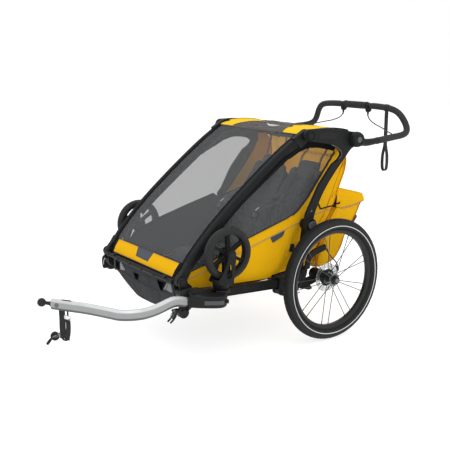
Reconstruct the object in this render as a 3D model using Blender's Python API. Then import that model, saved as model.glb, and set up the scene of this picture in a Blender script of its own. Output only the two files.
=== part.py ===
"""Two-seat child bike trailer with a folding frame, stowed front casters and a tow arm.

Metres, +Z up. The tow arm points to -Y, +X is the trailer's left side. The ground is z = 0 and the origin is on the ground under the
middle of the object. Measures along Y are first written from the wheel axle and then moved by AXLE_Y.
"""

import math

import bmesh
import bpy
from mathutils import Matrix, Vector

# ---------------------------------------------------------------- driving dimensions
AXLE_Y = 0.3177          # wheel axle, measured from the middle of the object
WHEEL_R = 0.250          # 20 inch wheel, 47-406 tyre
TYRE_R = 0.0235
RIM_OUT = 0.2024
RIM_IN = 0.1890
WHEEL_X = 0.365          # middle plane of the wheel
HUB_END_X = 0.3945
SPOKE_TURN = 19.7        # degrees, first pair of spokes from +Y
DISC_R = 0.060

P1 = (-0.673, 0.333)     # front pillar foot (y from the axle, z)
P2 = (-0.086, 0.831)     # front pillar head, front end of the top bracket
P4 = (-0.073, 0.473)     # middle latch, rear pillar to rear stay
P5 = (-0.102, 0.288)     # rear stay foot
SWING = (-0.155, 0.235)  # suspension pivot
TILT = (0.155, 0.803)    # handlebar pivot
GRIP = (0.460, 0.9135)   # handlebar crossbar

PILLAR_X = (0.2660, 0.2905)    # layer of the front pillars and the rear stays
BRACKET_X = (0.2930, 0.3090)   # layer of the top brackets and the rear pillars
TUBE_R = 0.0125

CASTER_Y, CASTER_Z, CASTER_X = -0.499, 0.424, 0.335
STEM_Y = -0.529
CASTER_R = 0.100

ARM_X, ARM_Z = 0.318, 0.2655
ARM_W, ARM_H = 0.025, 0.039

# ---------------------------------------------------------------- start from an empty scene
for old in list(bpy.data.objects):
    bpy.data.objects.remove(old, do_unlink=True)

scene = bpy.context.scene

# ---------------------------------------------------------------- materials


def material(name, colour, rough, metal=0.0, alpha=1.0):
    m = bpy.data.materials.new(name)
    m.use_nodes = True
    p = m.node_tree.nodes["Principled BSDF"]
    p.inputs["Base Color"].default_value = (*colour, 1.0)
    p.inputs["Roughness"].default_value = rough
    p.inputs["Metallic"].default_value = metal
    p.inputs["Alpha"].default_value = alpha
    return m


BLACK = (0.022, 0.023, 0.024)
YELLOW = (0.83, 0.45, 0.012)
MESH_GREY = (0.055, 0.058, 0.06)


# ---------------------------------------------------------------- bodies: one empty on each joint's axis
class Body:
    def __init__(self, name, pivot, parent=None):
        self.pivot = Vector((pivot[0], pivot[1] + AXLE_Y, pivot[2]))
        self.empty = bpy.data.objects.new("joint_" + name, None)
        self.empty.empty_display_size = 0.03
        scene.collection.objects.link(self.empty)
        if parent:
            self.empty.parent = parent.empty
            self.empty.location = self.pivot - parent.pivot
        else:
            self.empty.location = self.pivot


def finish(name, bm, body, mat, angle=35.0, smooth=True):
    """Turns a bmesh, built from the axle's frame, into a named object under its joint's empty."""
    bmesh.ops.remove_doubles(bm, verts=bm.verts, dist=1e-6)
    bmesh.ops.recalc_face_normals(bm, faces=bm.faces)
    move = Vector((0, AXLE_Y, 0)) - body.pivot
    for v in bm.verts:
        v.co += move
    me = bpy.data.meshes.new(name)
    bm.to_mesh(me)
    bm.free()
    if smooth:
        me.shade_smooth()
        me.set_sharp_from_angle(angle=math.radians(angle))
    me.materials.append(mat)
    ob = bpy.data.objects.new(name, me)
    scene.collection.objects.link(ob)
    ob.parent = body.empty
    return ob


# ---------------------------------------------------------------- shape helpers, all in the axle's frame


def prism(points, x0, x1, axis="X"):
    """An outline extruded along an axis. Points are (y, z) for X, (x, z) for Y and (x, y) for Z."""
    bm = bmesh.new()

    def at(p, h):
        if axis == "X":
            return (h, p[0], p[1])
        if axis == "Y":
            return (p[0], h, p[1])
        return (p[0], p[1], h)

    a = [bm.verts.new(at(p, x0)) for p in points]
    b = [bm.verts.new(at(p, x1)) for p in points]
    bm.faces.new(a)
    bm.faces.new(list(reversed(b)))
    n = len(points)
    for i in range(n):
        j = (i + 1) % n
        bm.faces.new((a[i], b[i], b[j], a[j]))
    bmesh.ops.recalc_face_normals(bm, faces=bm.faces)
    return bm


def box(lo, hi):
    return prism([(lo[1], lo[2]), (hi[1], lo[2]), (hi[1], hi[2]), (lo[1], hi[2])], lo[0], hi[0])


def hexa(bottom, top):
    """A solid between two four-cornered outlines with the same winding."""
    bm = bmesh.new()
    a = [bm.verts.new(p) for p in bottom]
    b = [bm.verts.new(p) for p in top]
    bm.faces.new(a)
    bm.faces.new(list(reversed(b)))
    for i in range(4):
        j = (i + 1) % 4
        bm.faces.new((a[i], b[i], b[j], a[j]))
    bmesh.ops.recalc_face_normals(bm, faces=bm.faces)
    return bm


def lathe(profile, origin, axis=(1, 0, 0), segs=16, ring=False, phase=0.0):
    """Turns (along, radius) points round an axis. ring=True closes the profile on itself, otherwise it starts and ends on the axis."""
    axis = Vector(axis).normalized()
    side = axis.cross(Vector((0, 0, 1)))
    if side.length < 1e-3:
        side = axis.cross(Vector((0, 1, 0)))
    side.normalize()
    up = side.cross(axis)
    origin = Vector(origin)
    bm = bmesh.new()
    rings = []
    for along, r in profile:
        if r < 1e-7:
            rings.append([bm.verts.new(origin + axis * along)])
            continue
        rings.append([
            bm.verts.new(origin + axis * along + (side * math.cos(t) + up * math.sin(t)) * r)
            for t in (phase + 2 * math.pi * k / segs for k in range(segs))
        ])
    count = len(rings)
    for i in range(count if ring else count - 1):
        a, b = rings[i], rings[(i + 1) % count]
        for k in range(segs):
            m = (k + 1) % segs
            if len(a) == 1:
                bm.faces.new((a[0], b[k], b[m]))
            elif len(b) == 1:
                bm.faces.new((a[k], b[0], a[m]))
            else:
                bm.faces.new((a[k], b[k], b[m], a[m]))
    bmesh.ops.recalc_face_normals(bm, faces=bm.faces)
    return bm


def rod(p, q, r, segs=12, phase=0.0):
    p, q = Vector(p), Vector(q)
    length = (q - p).length
    return lathe([(0, 0), (0, r), (length, r), (length, 0)], p, q - p, segs, phase=phase)


def sweep(path, section, up=(0, 0, 1)):
    """Carries a closed section, points (side, up), along a path."""
    path = [Vector(p) for p in path]
    bm = bmesh.new()
    rings = []
    for i, p in enumerate(path):
        t = (path[min(i + 1, len(path) - 1)] - path[max(i - 1, 0)]).normalized()
        side = t.cross(Vector(up)).normalized()
        high = side.cross(t).normalized()
        rings.append([bm.verts.new(p + side * a + high * b) for a, b in section])
    n = len(section)
    bm.faces.new(rings[0])
    bm.faces.new(list(reversed(rings[-1])))
    for a, b in zip(rings, rings[1:]):
        for k in range(n):
            m = (k + 1) % n
            bm.faces.new((a[k], b[k], b[m], a[m]))
    bmesh.ops.recalc_face_normals(bm, faces=bm.faces)
    return bm


def round_section(r, n=10):
    return [(r * math.cos(2 * math.pi * k / n), r * math.sin(2 * math.pi * k / n)) for k in range(n)]


def chamfered(w, h, c):
    w, h = w / 2, h / 2
    return [(w, -h + c), (w, h - c), (w - c, h), (-w + c, h), (-w, h - c), (-w, -h + c), (-w + c, -h), (w - c, -h)]


def smooth_path(points, steps):
    """A Catmull-Rom curve through the points, sampled steps times in each span."""
    pts = [Vector(p) for p in points]
    pts = [pts[0] * 2 - pts[1]] + pts + [pts[-1] * 2 - pts[-2]]
    out = []
    for i in range(1, len(pts) - 2):
        a, b, c, d = pts[i - 1:i + 3]
        for k in range(steps):
            t = k / steps
            out.append(0.5 * (2 * b + (c - a) * t + (2 * a - 5 * b + 4 * c - d) * t * t + (3 * b - a - 3 * c + d) * t ** 3))
    out.append(pts[-2])
    return out


def arc(centre, r, a0, a1, n):
    """Points (u, v) on an arc, angles in degrees."""
    return [
        (centre[0] + r * math.cos(math.radians(a0 + (a1 - a0) * k / n)), centre[1] + r * math.sin(math.radians(a0 + (a1 - a0) * k / n)))
        for k in range(n + 1)
    ]


def hull(points):
    """The convex outline of 2-D points, anticlockwise."""
    pts = sorted(set(points))

    def half(seq):
        out = []
        for p in seq:
            while len(out) > 1 and (out[-1][0] - out[-2][0]) * (p[1] - out[-2][1]) - (out[-1][1] - out[-2][1]) * (p[0] - out[-2][0]) <= 0:
                out.pop()
            out.append(p)
        return out

    lower, upper = half(pts), half(reversed(pts))
    return lower[:-1] + upper[:-1]


def combine(base, others, operation):
    """Boolean of a bmesh with further bmeshes, worked out by temporary objects. Returns a new bmesh."""

    def temp(bm):
        me = bpy.data.meshes.new("temp")
        bm.to_mesh(me)
        bm.free()
        ob = bpy.data.objects.new("temp", me)
        scene.collection.objects.link(ob)
        return ob

    a = temp(base)
    cutters = [temp(o) for o in others]
    for c in cutters:
        mod = a.modifiers.new("bool", "BOOLEAN")
        mod.operation = operation
        mod.solver = "EXACT"
        mod.object = c
    deps = bpy.context.evaluated_depsgraph_get()
    me = bpy.data.meshes.new_from_object(a.evaluated_get(deps))
    bm = bmesh.new()
    bm.from_mesh(me)
    bpy.data.meshes.remove(me)
    for ob in [a] + cutters:
        old = ob.data
        bpy.data.objects.remove(ob, do_unlink=True)
        bpy.data.meshes.remove(old)
    bmesh.ops.remove_doubles(bm, verts=bm.verts, dist=1e-6)
    bmesh.ops.dissolve_limit(bm, angle_limit=math.radians(0.5), verts=bm.verts, edges=bm.edges)
    return bm


def union(base, *others):
    return combine(base, others, "UNION")


def cut(base, *others):
    return combine(base, others, "DIFFERENCE")


def mirror(bm):
    bmesh.ops.scale(bm, vec=(-1, 1, 1), verts=bm.verts)
    bmesh.ops.reverse_faces(bm, faces=bm.faces)
    return bm


def both(name, build, bodies, mat, **kw):
    """Makes NAME_left from build() and NAME_right from its mirror image."""
    finish(name + "_left", build(), bodies[0], mat(name + "_left"), **kw)
    finish(name + "_right", mirror(build()), bodies[1], mat(name + "_right"), **kw)


def black(name, rough=0.5):
    return material(name, BLACK, rough)


# ---------------------------------------------------------------- the bodies
base = Body("base", (0, 0, 0))
front_frame = Body("front_frame", (0, *P1), base)
rear_frame = Body("rear_frame", (0, *P2), front_frame)
stays = Body("rear_stays", (0, *P5), base)
handlebar = Body("handlebar", (0, *TILT), rear_frame)
grip = Body("twist_grip", (0, *GRIP), handlebar)
tow = Body("tow_arm", (ARM_X, -0.62, ARM_Z), base)
LATCH = (-0.7205, 0.2400)
latch = Body("receiver_latch", (ARM_X, *LATCH), base)


def pair(name, x, y, z, parents):
    return (
        Body(name + "_left", (x, y, z), parents[0]),
        Body(name + "_right", (-x, y, z), parents[1]),
    )


knobs = pair("fold_knob", 0.322, *P4, (rear_frame, rear_frame))
tilt_buttons = pair("tilt_button", 0.340, *TILT, (handlebar, handlebar))
swings = pair("suspension", 0.277, *SWING, (base, base))
wheels = pair("wheel", WHEEL_X, 0, WHEEL_R, swings)
wheel_buttons = pair("wheel_button", 0.389, 0, WHEEL_R, wheels)
forks = pair("caster", CASTER_X, STEM_Y, 0.297, (base, base))
casters = pair("caster_wheel", CASTER_X, CASTER_Y, CASTER_Z, forks)
bases = (base, base)
fronts = (front_frame, front_frame)
rears = (rear_frame, rear_frame)


def along_pillar(u, n):
    """A point in the pillar's own frame: u along it from its foot, n square to it, upwards."""
    a = math.atan2(P2[1] - P1[1], P2[0] - P1[0])
    return (P1[0] + u * math.cos(a) - n * math.sin(a), P1[1] + u * math.sin(a) + n * math.cos(a))


PILLAR_L = math.hypot(P2[0] - P1[0], P2[1] - P1[1])

# edges of the bowed front pillar: (u, n) from its foot
LOWER = [(0.030, -0.0160), (0.060, -0.0010), (0.110, 0.0100), (0.180, 0.0170), (0.250, 0.0190), (0.330, 0.0160), (0.420, 0.0090), (0.520, 0.0000), (0.620, -0.0100), (0.690, -0.0190), (0.735, -0.0250)]
UPPER = [(0.024, 0.0200), (0.060, 0.0290), (0.110, 0.0390), (0.210, 0.0495), (0.315, 0.0525), (0.420, 0.0510), (0.520, 0.0470), (0.620, 0.0405), (0.690, 0.0325), (0.740, 0.0240)]


def height(line, u):
    """n of a polyline of (u, n) points at u."""
    for a, b in zip(line, line[1:]):
        if u <= b[0]:
            return a[1] + (b[1] - a[1]) * max(0.0, u - a[0]) / (b[0] - a[0])
    return line[-1][1]

# ---------------------------------------------------------------- lower frame


def side_rail():
    """Box tube of the side, with the clevis at its front end that holds the front pillar's foot, and the clevis pin."""
    tube = prism([(-0.640, 0.2500), (-0.640, 0.2860), (-0.6, 0.2840), (-0.185, 0.2650), (-0.185, 0.2280), (-0.6, 0.2480)], 0.2675, 0.2925)
    block = prism([(-0.694, 0.284), (-0.682, 0.268), (-0.612, 0.262), (-0.612, 0.300), (-0.650, 0.3105), (-0.694, 0.3105)], 0.2590, 0.2995)
    outline = hull(arc(P1, 0.0205, 0, 345, 23) + [(-0.694, 0.290), (-0.682, 0.272), (-0.622, 0.268), (-0.622, 0.296)])
    outer = prism(outline, 0.2930, 0.2995)
    inner = prism(outline, 0.2590, 0.2637)
    pin = rod((0.2610, *P1), (0.2980, *P1), 0.0070, 12)
    return union(block, tube, outer, inner, pin)


both("side_rail", side_rail, bases, lambda n: material(n, BLACK, 0.42, 0.3))

finish("front_crossbar", rod((-0.2585, -0.690, 0.3290), (0.2585, -0.690, 0.3290), 0.0080, 12), base, black("front_crossbar", 0.45))


def crossmember():
    return lathe(
        [(0, 0), (0, 0.0080), (0.0346, 0.0080), (0.0346, 0.0140), (0.5576, 0.0140), (0.5576, 0.0080), (0.5922, 0.0080), (0.5922, 0)],
        (-0.2961, *SWING), (1, 0, 0), 20)


finish("rear_crossmember", crossmember(), base, material("rear_crossmember", BLACK, 0.4, 0.3))


def rear_bracket():
    """Clamp on the rail's rear end, cheek that holds the stay's foot, and the arm that guides the brake cable behind it."""
    block = prism([(-0.224, 0.212), (-0.218, 0.204), (-0.196, 0.196), (-0.181, 0.202), (-0.181, 0.2740), (-0.218, 0.2770)], 0.2560, 0.3020)
    pocket = box((0.2672, -0.27, 0.2265), (0.2928, -0.1847, 0.2690))
    cheek = prism([
        (-0.190, 0.212), (-0.170, 0.208), (-0.128, 0.214), (-0.088, 0.262), (-0.081, 0.288), (-0.084, 0.306), (-0.116, 0.306), (-0.124, 0.296),
        (-0.150, 0.268), (-0.190, 0.262)], 0.2955, 0.3090)
    guide = prism([
        (-0.112, 0.298), (-0.086, 0.298), (-0.083, 0.326), (-0.075, 0.341), (-0.050, 0.352), (-0.005, 0.3635), (0.000, 0.3700), (-0.001, 0.3840),
        (-0.008, 0.3890), (-0.066, 0.3760), (-0.094, 0.3600), (-0.106, 0.336)], 0.3080, 0.3275)
    boss = lathe([(0.2935, 0), (0.2935, 0.0150), (0.3125, 0.0150), (0.3140, 0.0135), (0.3140, 0)], (0, *P5), (1, 0, 0), 20)
    pin = rod((0.2640, *P5), (0.3000, *P5), 0.0060, 12)
    bore = rod((0.290, *SWING), (0.2964, *SWING), 0.0095, 12)
    relief = box((0.2900, -0.15, 0.3080), (0.3172, 0.03, 0.40))
    return cut(union(block, cheek, boss, pin, cut(guide, relief)), pocket, bore)


both("rear_bracket", rear_bracket, bases, lambda n: black(n, 0.55))

WING = [(0.3010, -0.666), (0.336, -0.668), (0.372, -0.630), (0.402, -0.585), (0.4085, -0.556), (0.398, -0.534), (0.366, -0.516), (0.332, -0.498), (0.3010, -0.486)]


def wing(receiver):
    low = prism([(x, y) for x, y in WING], 0.2490, 0.2840, "Z")
    cx, cy = 0.352, -0.580
    slim = [(cx + (x - cx) * 0.93, cy + (y - cy) * 0.95) for x, y in WING]
    top = hexa_loft(WING, slim, 0.2840, 0.2905)
    under = hexa_loft(slim, WING, 0.2430, 0.2490)
    ring = lathe([(0, 0), (0, 0.0345), (0.012, 0.0325), (0.012, 0)], (CASTER_X, STEM_Y, 0.2840), (0, 0, 1), 16)
    solid = union(low, top, under, ring)
    bore = rod((CASTER_X, STEM_Y, 0.2520), (CASTER_X, STEM_Y, 0.300), 0.0105, 12)
    if not receiver:
        return mirror(cut(solid, bore))
    barrel = rod((0.3012, -0.684, 0.2270), (0.3270, -0.684, 0.2270), 0.0205, 16)
    neck = prism([(-0.700, 0.2350), (-0.664, 0.2350), (-0.650, 0.2450), (-0.650, 0.2475), (-0.700, 0.2400)], 0.3030, 0.3270)
    socket = box((ARM_X - 0.0130, -0.74, ARM_Z - 0.0200), (ARM_X + 0.0130, -0.6180, ARM_Z + 0.0200))
    ears = box((0.3030, -0.728, 0.2350), (0.3330, -0.700, 0.2440))
    gap = box((0.3065, -0.740, 0.2280), (0.3295, -0.7115, 0.2600))
    solid = union(solid, barrel, neck, ears)
    return cut(solid, socket, bore, gap)


def hexa_loft(low, high, z0, z1):
    bm = bmesh.new()
    a = [bm.verts.new((x, y, z0)) for x, y in low]
    b = [bm.verts.new((x, y, z1)) for x, y in high]
    bm.faces.new(a)
    bm.faces.new(list(reversed(b)))
    for i in range(len(low)):
        j = (i + 1) % len(low)
        bm.faces.new((a[i], b[i], b[j], a[j]))
    bmesh.ops.recalc_face_normals(bm, faces=bm.faces)
    return bm


finish("wing_left", wing(True), base, black("wing_left", 0.5))
finish("wing_right", wing(False), base, black("wing_right", 0.5))


def receiver_latch():
    lever = prism([
        (-0.7245, 0.2435), (-0.7175, 0.2435), (-0.7165, 0.2330), (-0.7200, 0.2200), (-0.7330, 0.2060), (-0.7440, 0.1990), (-0.7480, 0.2040), (-0.7370, 0.2130),
        (-0.7260, 0.2240)], 0.3070, 0.3290)
    return lever


finish("receiver_latch", receiver_latch(), latch, black("receiver_latch", 0.4))


def floor_pan():
    """Fabric tub: the footwell in front, and the shelf that carries the seat."""
    def tub(d, top):
        section = [(-0.2530, top), (-0.2530, 0.290), (-0.226, 0.250), (-0.178, 0.214), (-0.105, 0.188), (0.105, 0.188), (0.178, 0.214), (0.226, 0.250), (0.2530, 0.290), (0.2530, top)]
        cx, cz = 0.0, 0.30
        bm = bmesh.new()
        loops = []
        for y, k in ((-0.664 + d, 0), (-0.430 - d, 1)):
            loops.append([
                bm.verts.new((x - math.copysign(d, x), y - (0.008 if (k == 0 and z < 0.24) else 0.0) * -1, max(z, 0.188) + (d if z < 0.30 else 0.0)))
                for x, z in section])
        a, b = loops
        bm.faces.new(a)
        bm.faces.new(list(reversed(b)))
        n = len(section)
        for i in range(n):
            j = (i + 1) % n
            bm.faces.new((a[i], b[i], b[j], a[j]))
        bmesh.ops.triangulate(bm, faces=[f for f in bm.faces if len(f.verts) > 4])
        bmesh.ops.recalc_face_normals(bm, faces=bm.faces)
        return bm

    shelf = box((-0.2530, -0.432, 0.2620), (0.2530, -0.036, 0.2700))
    return union(cut(tub(0.0, 0.318), tub(0.004, 0.330)), shelf)


finish("floor_pan", floor_pan(), base, material("floor_pan", MESH_GREY, 0.85), smooth=False)


def cushion(lo, hi, r):
    """A pad with rounded long edges."""
    y0, y1, z0, z1 = lo[1], hi[1], lo[2], hi[2]
    outline = arc((y0 + r, z0 + r), r, 180, 270, 3) + arc((y1 - r, z0 + r), r, 270, 360, 3) + arc((y1 - r, z1 - r), r, 0, 90, 3) + arc((y0 + r, z1 - r), r, 90, 180, 3)
    return prism(outline, lo[0], hi[0])


finish("seat_cushion", cushion((-0.250, -0.428, 0.2705), (0.250, -0.150, 0.3270), 0.018), base, material("seat_cushion", (0.03, 0.031, 0.033), 0.9))


def seat_back():
    outline = [(-0.1480, 0.2740), (-0.1100, 0.2740), (-0.040, 0.400), (0.060, 0.600), (0.118, 0.735), (0.112, 0.752), (0.095, 0.752), (0.028, 0.600), (-0.072, 0.400), (-0.1480, 0.300)]
    return prism(outline, -0.2500, 0.2500)


finish("seat_back", seat_back(), base, material("seat_back", (0.035, 0.036, 0.038), 0.9))


def side_panel():
    """Fabric side with its mesh window, a thin closed sheet between rail, pillars and bracket."""
    outline = [
        (-0.628, 0.3130), (-0.606, 0.3030), (-0.602, 0.2880), (-0.228, 0.2800), (-0.120, 0.2800), (-0.106, 0.330), (-0.100, 0.470), (-0.090, 0.520), (-0.060, 0.580),
        (0.000, 0.660), (0.062, 0.735), (0.083, 0.772), (0.050, 0.790), (-0.020, 0.796), (-0.070, 0.800)]
    outline += [along_pillar(u, height(LOWER, u) + 0.012) for u in (0.690, 0.620, 0.520, 0.420, 0.330, 0.250, 0.180, 0.110, 0.060)]
    return prism(outline, 0.2570, 0.2630)


both("side_panel", side_panel, bases, lambda n: material(n, YELLOW, 0.7))


def rear_fabric():
    """Rear fabric panel from the top crossbar down, with the cargo bag sewn to it. The bag opens forward, behind the seat back."""
    panel = prism([(0.148, 0.786), (0.154, 0.788), (0.126, 0.600), (0.066, 0.400), (0.020, 0.300), (0.012, 0.300), (0.058, 0.400), (0.118, 0.600)], -0.2400, 0.2400)
    bag = prism([(0.108, 0.572), (0.118, 0.578), (0.262, 0.562), (0.276, 0.548), (0.262, 0.528), (0.238, 0.490), (0.205, 0.430), (0.160, 0.360), (0.112, 0.300), (0.060, 0.274), (0.005, 0.276), (0.006, 0.300), (0.050, 0.400)], -0.2360, 0.2360)
    room = prism([(0.080, 0.566), (0.118, 0.572), (0.258, 0.556), (0.266, 0.546), (0.256, 0.531), (0.232, 0.494), (0.199, 0.434), (0.154, 0.365), (0.107, 0.306), (0.058, 0.281), (-0.010, 0.283)], -0.2300, 0.2300)
    return cut(union(panel, bag), room)


finish("cargo_bag", rear_fabric(), base, material("cargo_bag", YELLOW, 0.7))

# ---------------------------------------------------------------- upper frame


def eyed_bar(a, b, ra, rb, w, shoulder=0.0):
    """The outline of a flat bar from pivot a to pivot b with a round end of its own radius on each."""
    ang = math.atan2(b[1] - a[1], b[0] - a[0])
    length = math.hypot(b[0] - a[0], b[1] - a[1])
    ta = math.degrees(math.asin(min(0.94, w / ra)))
    tb = math.degrees(math.asin(min(0.94, w / rb)))
    local = arc((0, 0), ra, ta + (20 if w > ra else 0), 360 - ta - (20 if w > ra else 0), 15)
    if shoulder:
        local.append((shoulder, -w))
    local += arc((length, 0), rb, -180 + tb, 180 - tb, 15)
    if shoulder:
        local.append((shoulder, w))
    return [(a[0] + u * math.cos(ang) - n * math.sin(ang), a[1] + u * math.sin(ang) + n * math.cos(ang)) for u, n in local]


def front_pillar():
    """Bowed flat side tube of the front frame with an eye at each end."""
    ends = [(0.0195 * math.cos(math.radians(t)), 0.0195 * math.sin(math.radians(t))) for t in range(60, 301, 20)]
    head = [(PILLAR_L + 0.0240 * math.cos(math.radians(t)), 0.0240 * math.sin(math.radians(t))) for t in range(-80, 91, 17)]
    bar = prism([along_pillar(*p) for p in ends + LOWER + head + UPPER[::-1]], *PILLAR_X)
    eye = rod((0.260, *P1), (0.300, *P1), 0.0076)
    eye2 = rod((0.260, *P2), (0.300, *P2), 0.0076)
    return cut(bar, eye, eye2)


both("front_pillar", front_pillar, fronts, lambda n: material(n, BLACK, 0.42, 0.3))


def front_cover():
    """Window fabric stretched between the pillars, slightly domed."""
    rows, cols, t = 10, 4, 0.0045
    bm = bmesh.new()
    grids = []
    for level in (0, 1):
        grid = []
        for i in range(rows + 1):
            u = 0.008 + (PILLAR_L - 0.034) * i / rows
            line = []
            half = 0.2550 + 0.0080 * min(1.0, max(0.0, (u - 0.03) / 0.06))
            for j in range(cols + 1):
                s = -1 + 2 * j / cols
                n = height([(0.0, 0.0085)] + UPPER, u) - 0.0060 + 0.003 * (1 - s * s) * math.sin(math.pi * min(1, 0.1 + 0.9 * i / rows)) + level * t
                y, z = along_pillar(u, n)
                line.append(bm.verts.new((s * half, y, z)))
            grid.append(line)
        grids.append(grid)
    low, high = grids
    for i in range(rows):
        for j in range(cols):
            bm.faces.new((low[i][j], low[i][j + 1], low[i + 1][j + 1], low[i + 1][j]))
            bm.faces.new((high[i][j], high[i + 1][j], high[i + 1][j + 1], high[i][j + 1]))
    edge = [(i, 0) for i in range(rows)] + [(rows, j) for j in range(cols)] + [(i, cols) for i in range(rows, 0, -1)] + [(0, j) for j in range(cols, 0, -1)]
    for a, b in zip(edge, edge[1:] + edge[:1]):
        bm.faces.new((low[a[0]][a[1]], low[b[0]][b[1]], high[b[0]][b[1]], high[a[0]][a[1]]))
    return bm


finish("front_cover", front_cover(), front_frame, material("front_cover", MESH_GREY, 0.8, 0, 0.85))


def top_bar():
    """Cross tube at the pillars' heads, turned down at its ends to sit between them."""
    return rod((-0.2657, *P2), (0.2657, *P2), 0.0100, 12)


finish("front_top_bar", top_bar(), front_frame, material("front_top_bar", BLACK, 0.42, 0.3))


def top_bracket():
    """Bracket plate, rear pillar and latch housing in one moulding."""
    outline = (
        arc(P2, 0.0255, 225, 95, 6)
        + [(-0.060, 0.8585), (-0.030, 0.8600), (0.040, 0.8550), (0.100, 0.8460), (0.136, 0.8365)]
        + arc(TILT, 0.0300, 78, -66, 7)
        + [(0.140, 0.7670), (0.095, 0.7200), (0.059, 0.6830), (0.003, 0.6170), (-0.035, 0.5550), (-0.055, 0.5050), (-0.056, 0.4800)]
        + arc(P4, 0.0150, -30, -150, 3)
        + [(-0.0965, 0.4850), (-0.0985, 0.5120), (-0.067, 0.5680), (-0.030, 0.6320), (0.037, 0.7160), (0.064, 0.7440), (0.073, 0.7590), (0.064, 0.7710), (0.017, 0.7890), (-0.066, 0.8040)]
    )
    plate = prism(outline, *BRACKET_X)
    housing = lathe([(0.2930, 0), (0.2930, 0.0240), (0.3090, 0.0250), (0.3160, 0.0235), (0.3160, 0)], (0, *P4), (1, 0, 0), 20)
    boss = lathe([(0.3080, 0), (0.3080, 0.0185), (0.3120, 0.0170), (0.3120, 0.0120), (0.3105, 0.0110), (0.3105, 0)], (0, *P2), (1, 0, 0), 16)
    pin = rod((0.2700, *P2), (0.2980, *P2), 0.0069, 12)
    socket = rod((0.3060, *P4), (0.3200, *P4), 0.0165, 24)
    return cut(union(plate, housing, boss, pin), socket)


both("top_bracket", top_bracket, rears, lambda n: black(n, 0.45))

finish("rear_crossbar", rod((-0.2926, *TILT), (0.2926, *TILT), 0.0110, 12), rear_frame, material("rear_crossbar", BLACK, 0.42, 0.3))


def roof():
    """Domed canopy sheet over both seats."""
    rows, cols, t = 7, 8, 0.005
    bm = bmesh.new()
    line = [(-0.079, 0.8450), (-0.060, 0.8535), (-0.025, 0.8600), (0.020, 0.8620), (0.065, 0.8590), (0.110, 0.8500), (0.148, 0.8370), (0.158, 0.8250)]
    grids = []
    for level in (0, 1):
        grid = []
        for i, (y, z) in enumerate(line):
            row = []
            for j in range(cols + 1):
                s = -1 + 2 * j / cols
                dome = 0.004 * (1 - s ** 4) * math.sin(math.pi * min(1.0, 0.25 + 0.75 * i / rows))
                row.append(bm.verts.new((s * 0.2630, y, z - 0.006 + dome + level * t)))
            grid.append(row)
        grids.append(grid)
    low, high = grids
    for i in range(rows):
        for j in range(cols):
            bm.faces.new((low[i][j], low[i][j + 1], low[i + 1][j + 1], low[i + 1][j]))
            bm.faces.new((high[i][j], high[i + 1][j], high[i + 1][j + 1], high[i][j + 1]))
    edge = [(i, 0) for i in range(rows)] + [(rows, j) for j in range(cols)] + [(i, cols) for i in range(rows, 0, -1)] + [(0, j) for j in range(cols, 0, -1)]
    for a, b in zip(edge, edge[1:] + edge[:1]):
        bm.faces.new((low[a[0]][a[1]], low[b[0]][b[1]], high[b[0]][b[1]], high[a[0]][a[1]]))
    return bm


finish("roof_canopy", roof(), rear_frame, material("roof_canopy", MESH_GREY, 0.8))


def fold_knob():
    return lathe([(0.3070, 0), (0.3070, 0.0158), (0.3200, 0.0158), (0.3200, 0.0190), (0.3270, 0.0190), (0.3285, 0.0170), (0.3285, 0)], (0, *P4), (1, 0, 0), 16)


both("fold_knob", fold_knob, knobs, lambda n: material(n, (0.05, 0.052, 0.055), 0.4))


def rear_stay():
    bar = prism(eyed_bar(P5, P4, 0.0180, 0.0155, 0.0110), *PILLAR_X)
    return cut(bar, rod((0.260, *P5), (0.300, *P5), 0.0066, 12))


both("rear_stay", rear_stay, (stays, stays), lambda n: material(n, BLACK, 0.42, 0.3))

# ---------------------------------------------------------------- handlebar


def bar_route():
    half = [
        (0.3255, 0.155, 0.7950), (0.3260, 0.205, 0.7880), (0.3240, 0.290, 0.7950), (0.3170, 0.370, 0.8025), (0.3060, 0.428, 0.8095),
        (0.2950, 0.464, 0.8220), (0.2860, 0.480, 0.8400), (0.2720, 0.485, 0.8620), (0.2480, 0.482, 0.8850), (0.2160, 0.4755, 0.8995), (0.1700, 0.4690, 0.9070), (0.0950, 0.4600, 0.9135)]
    full = half + [(-x, y, z) for x, y, z in reversed(half)]
    return smooth_path(full, 1)


def handlebar_tube():
    """Bent tube with its two end hubs, a clamp at each side of the grip and the collar of the wrist strap."""
    tube = sweep(bar_route(), round_section(TUBE_R, 8), up=(0, 0.3, 0.95))
    parts = []
    for s in (1, -1):
        hub = lathe([(0, 0), (0, 0.0270), (0.024, 0.0280), (0.0298, 0.0255), (0.0298, 0)], (s * 0.3095, *TILT), (s, 0, 0), 20)
        parts.append(hub)
        low = hull([(GRIP[0] - 0.0155, 0.9010), (GRIP[0] + 0.0155, 0.9010), (GRIP[0] + 0.0155, 0.9200), (GRIP[0], 0.9290), (GRIP[0] - 0.0155, 0.9200), (GRIP[0] - 0.012, 0.8830), (GRIP[0] + 0.008, 0.8830)])
        x = 0.0790
        parts.append(prism(low, s * x - 0.008, s * x + 0.008))
    parts.append(lathe([(0, 0), (0, 0.0150), (0.020, 0.0150), (0.020, 0)], (0.1800, 0.4690, 0.9060), (1, -0.12, -0.14), 16))
    solid = union(tube, *parts)
    bores = [rod((s * 0.3260, *TILT), (s * 0.3500, *TILT), 0.0102, 20) for s in (1, -1)]
    return cut(solid, *bores)


finish("handlebar_tube", handlebar_tube(), handlebar, black("handlebar_tube", 0.5))


def tilt_button():
    return lathe([(0.3310, 0), (0.3310, 0.0097), (0.3397, 0.0097), (0.3412, 0.0082), (0.3412, 0)], (0, *TILT), (1, 0, 0), 20)


both("tilt_button", tilt_button, tilt_buttons, lambda n: material(n, (0.12, 0.125, 0.13), 0.5))


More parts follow.
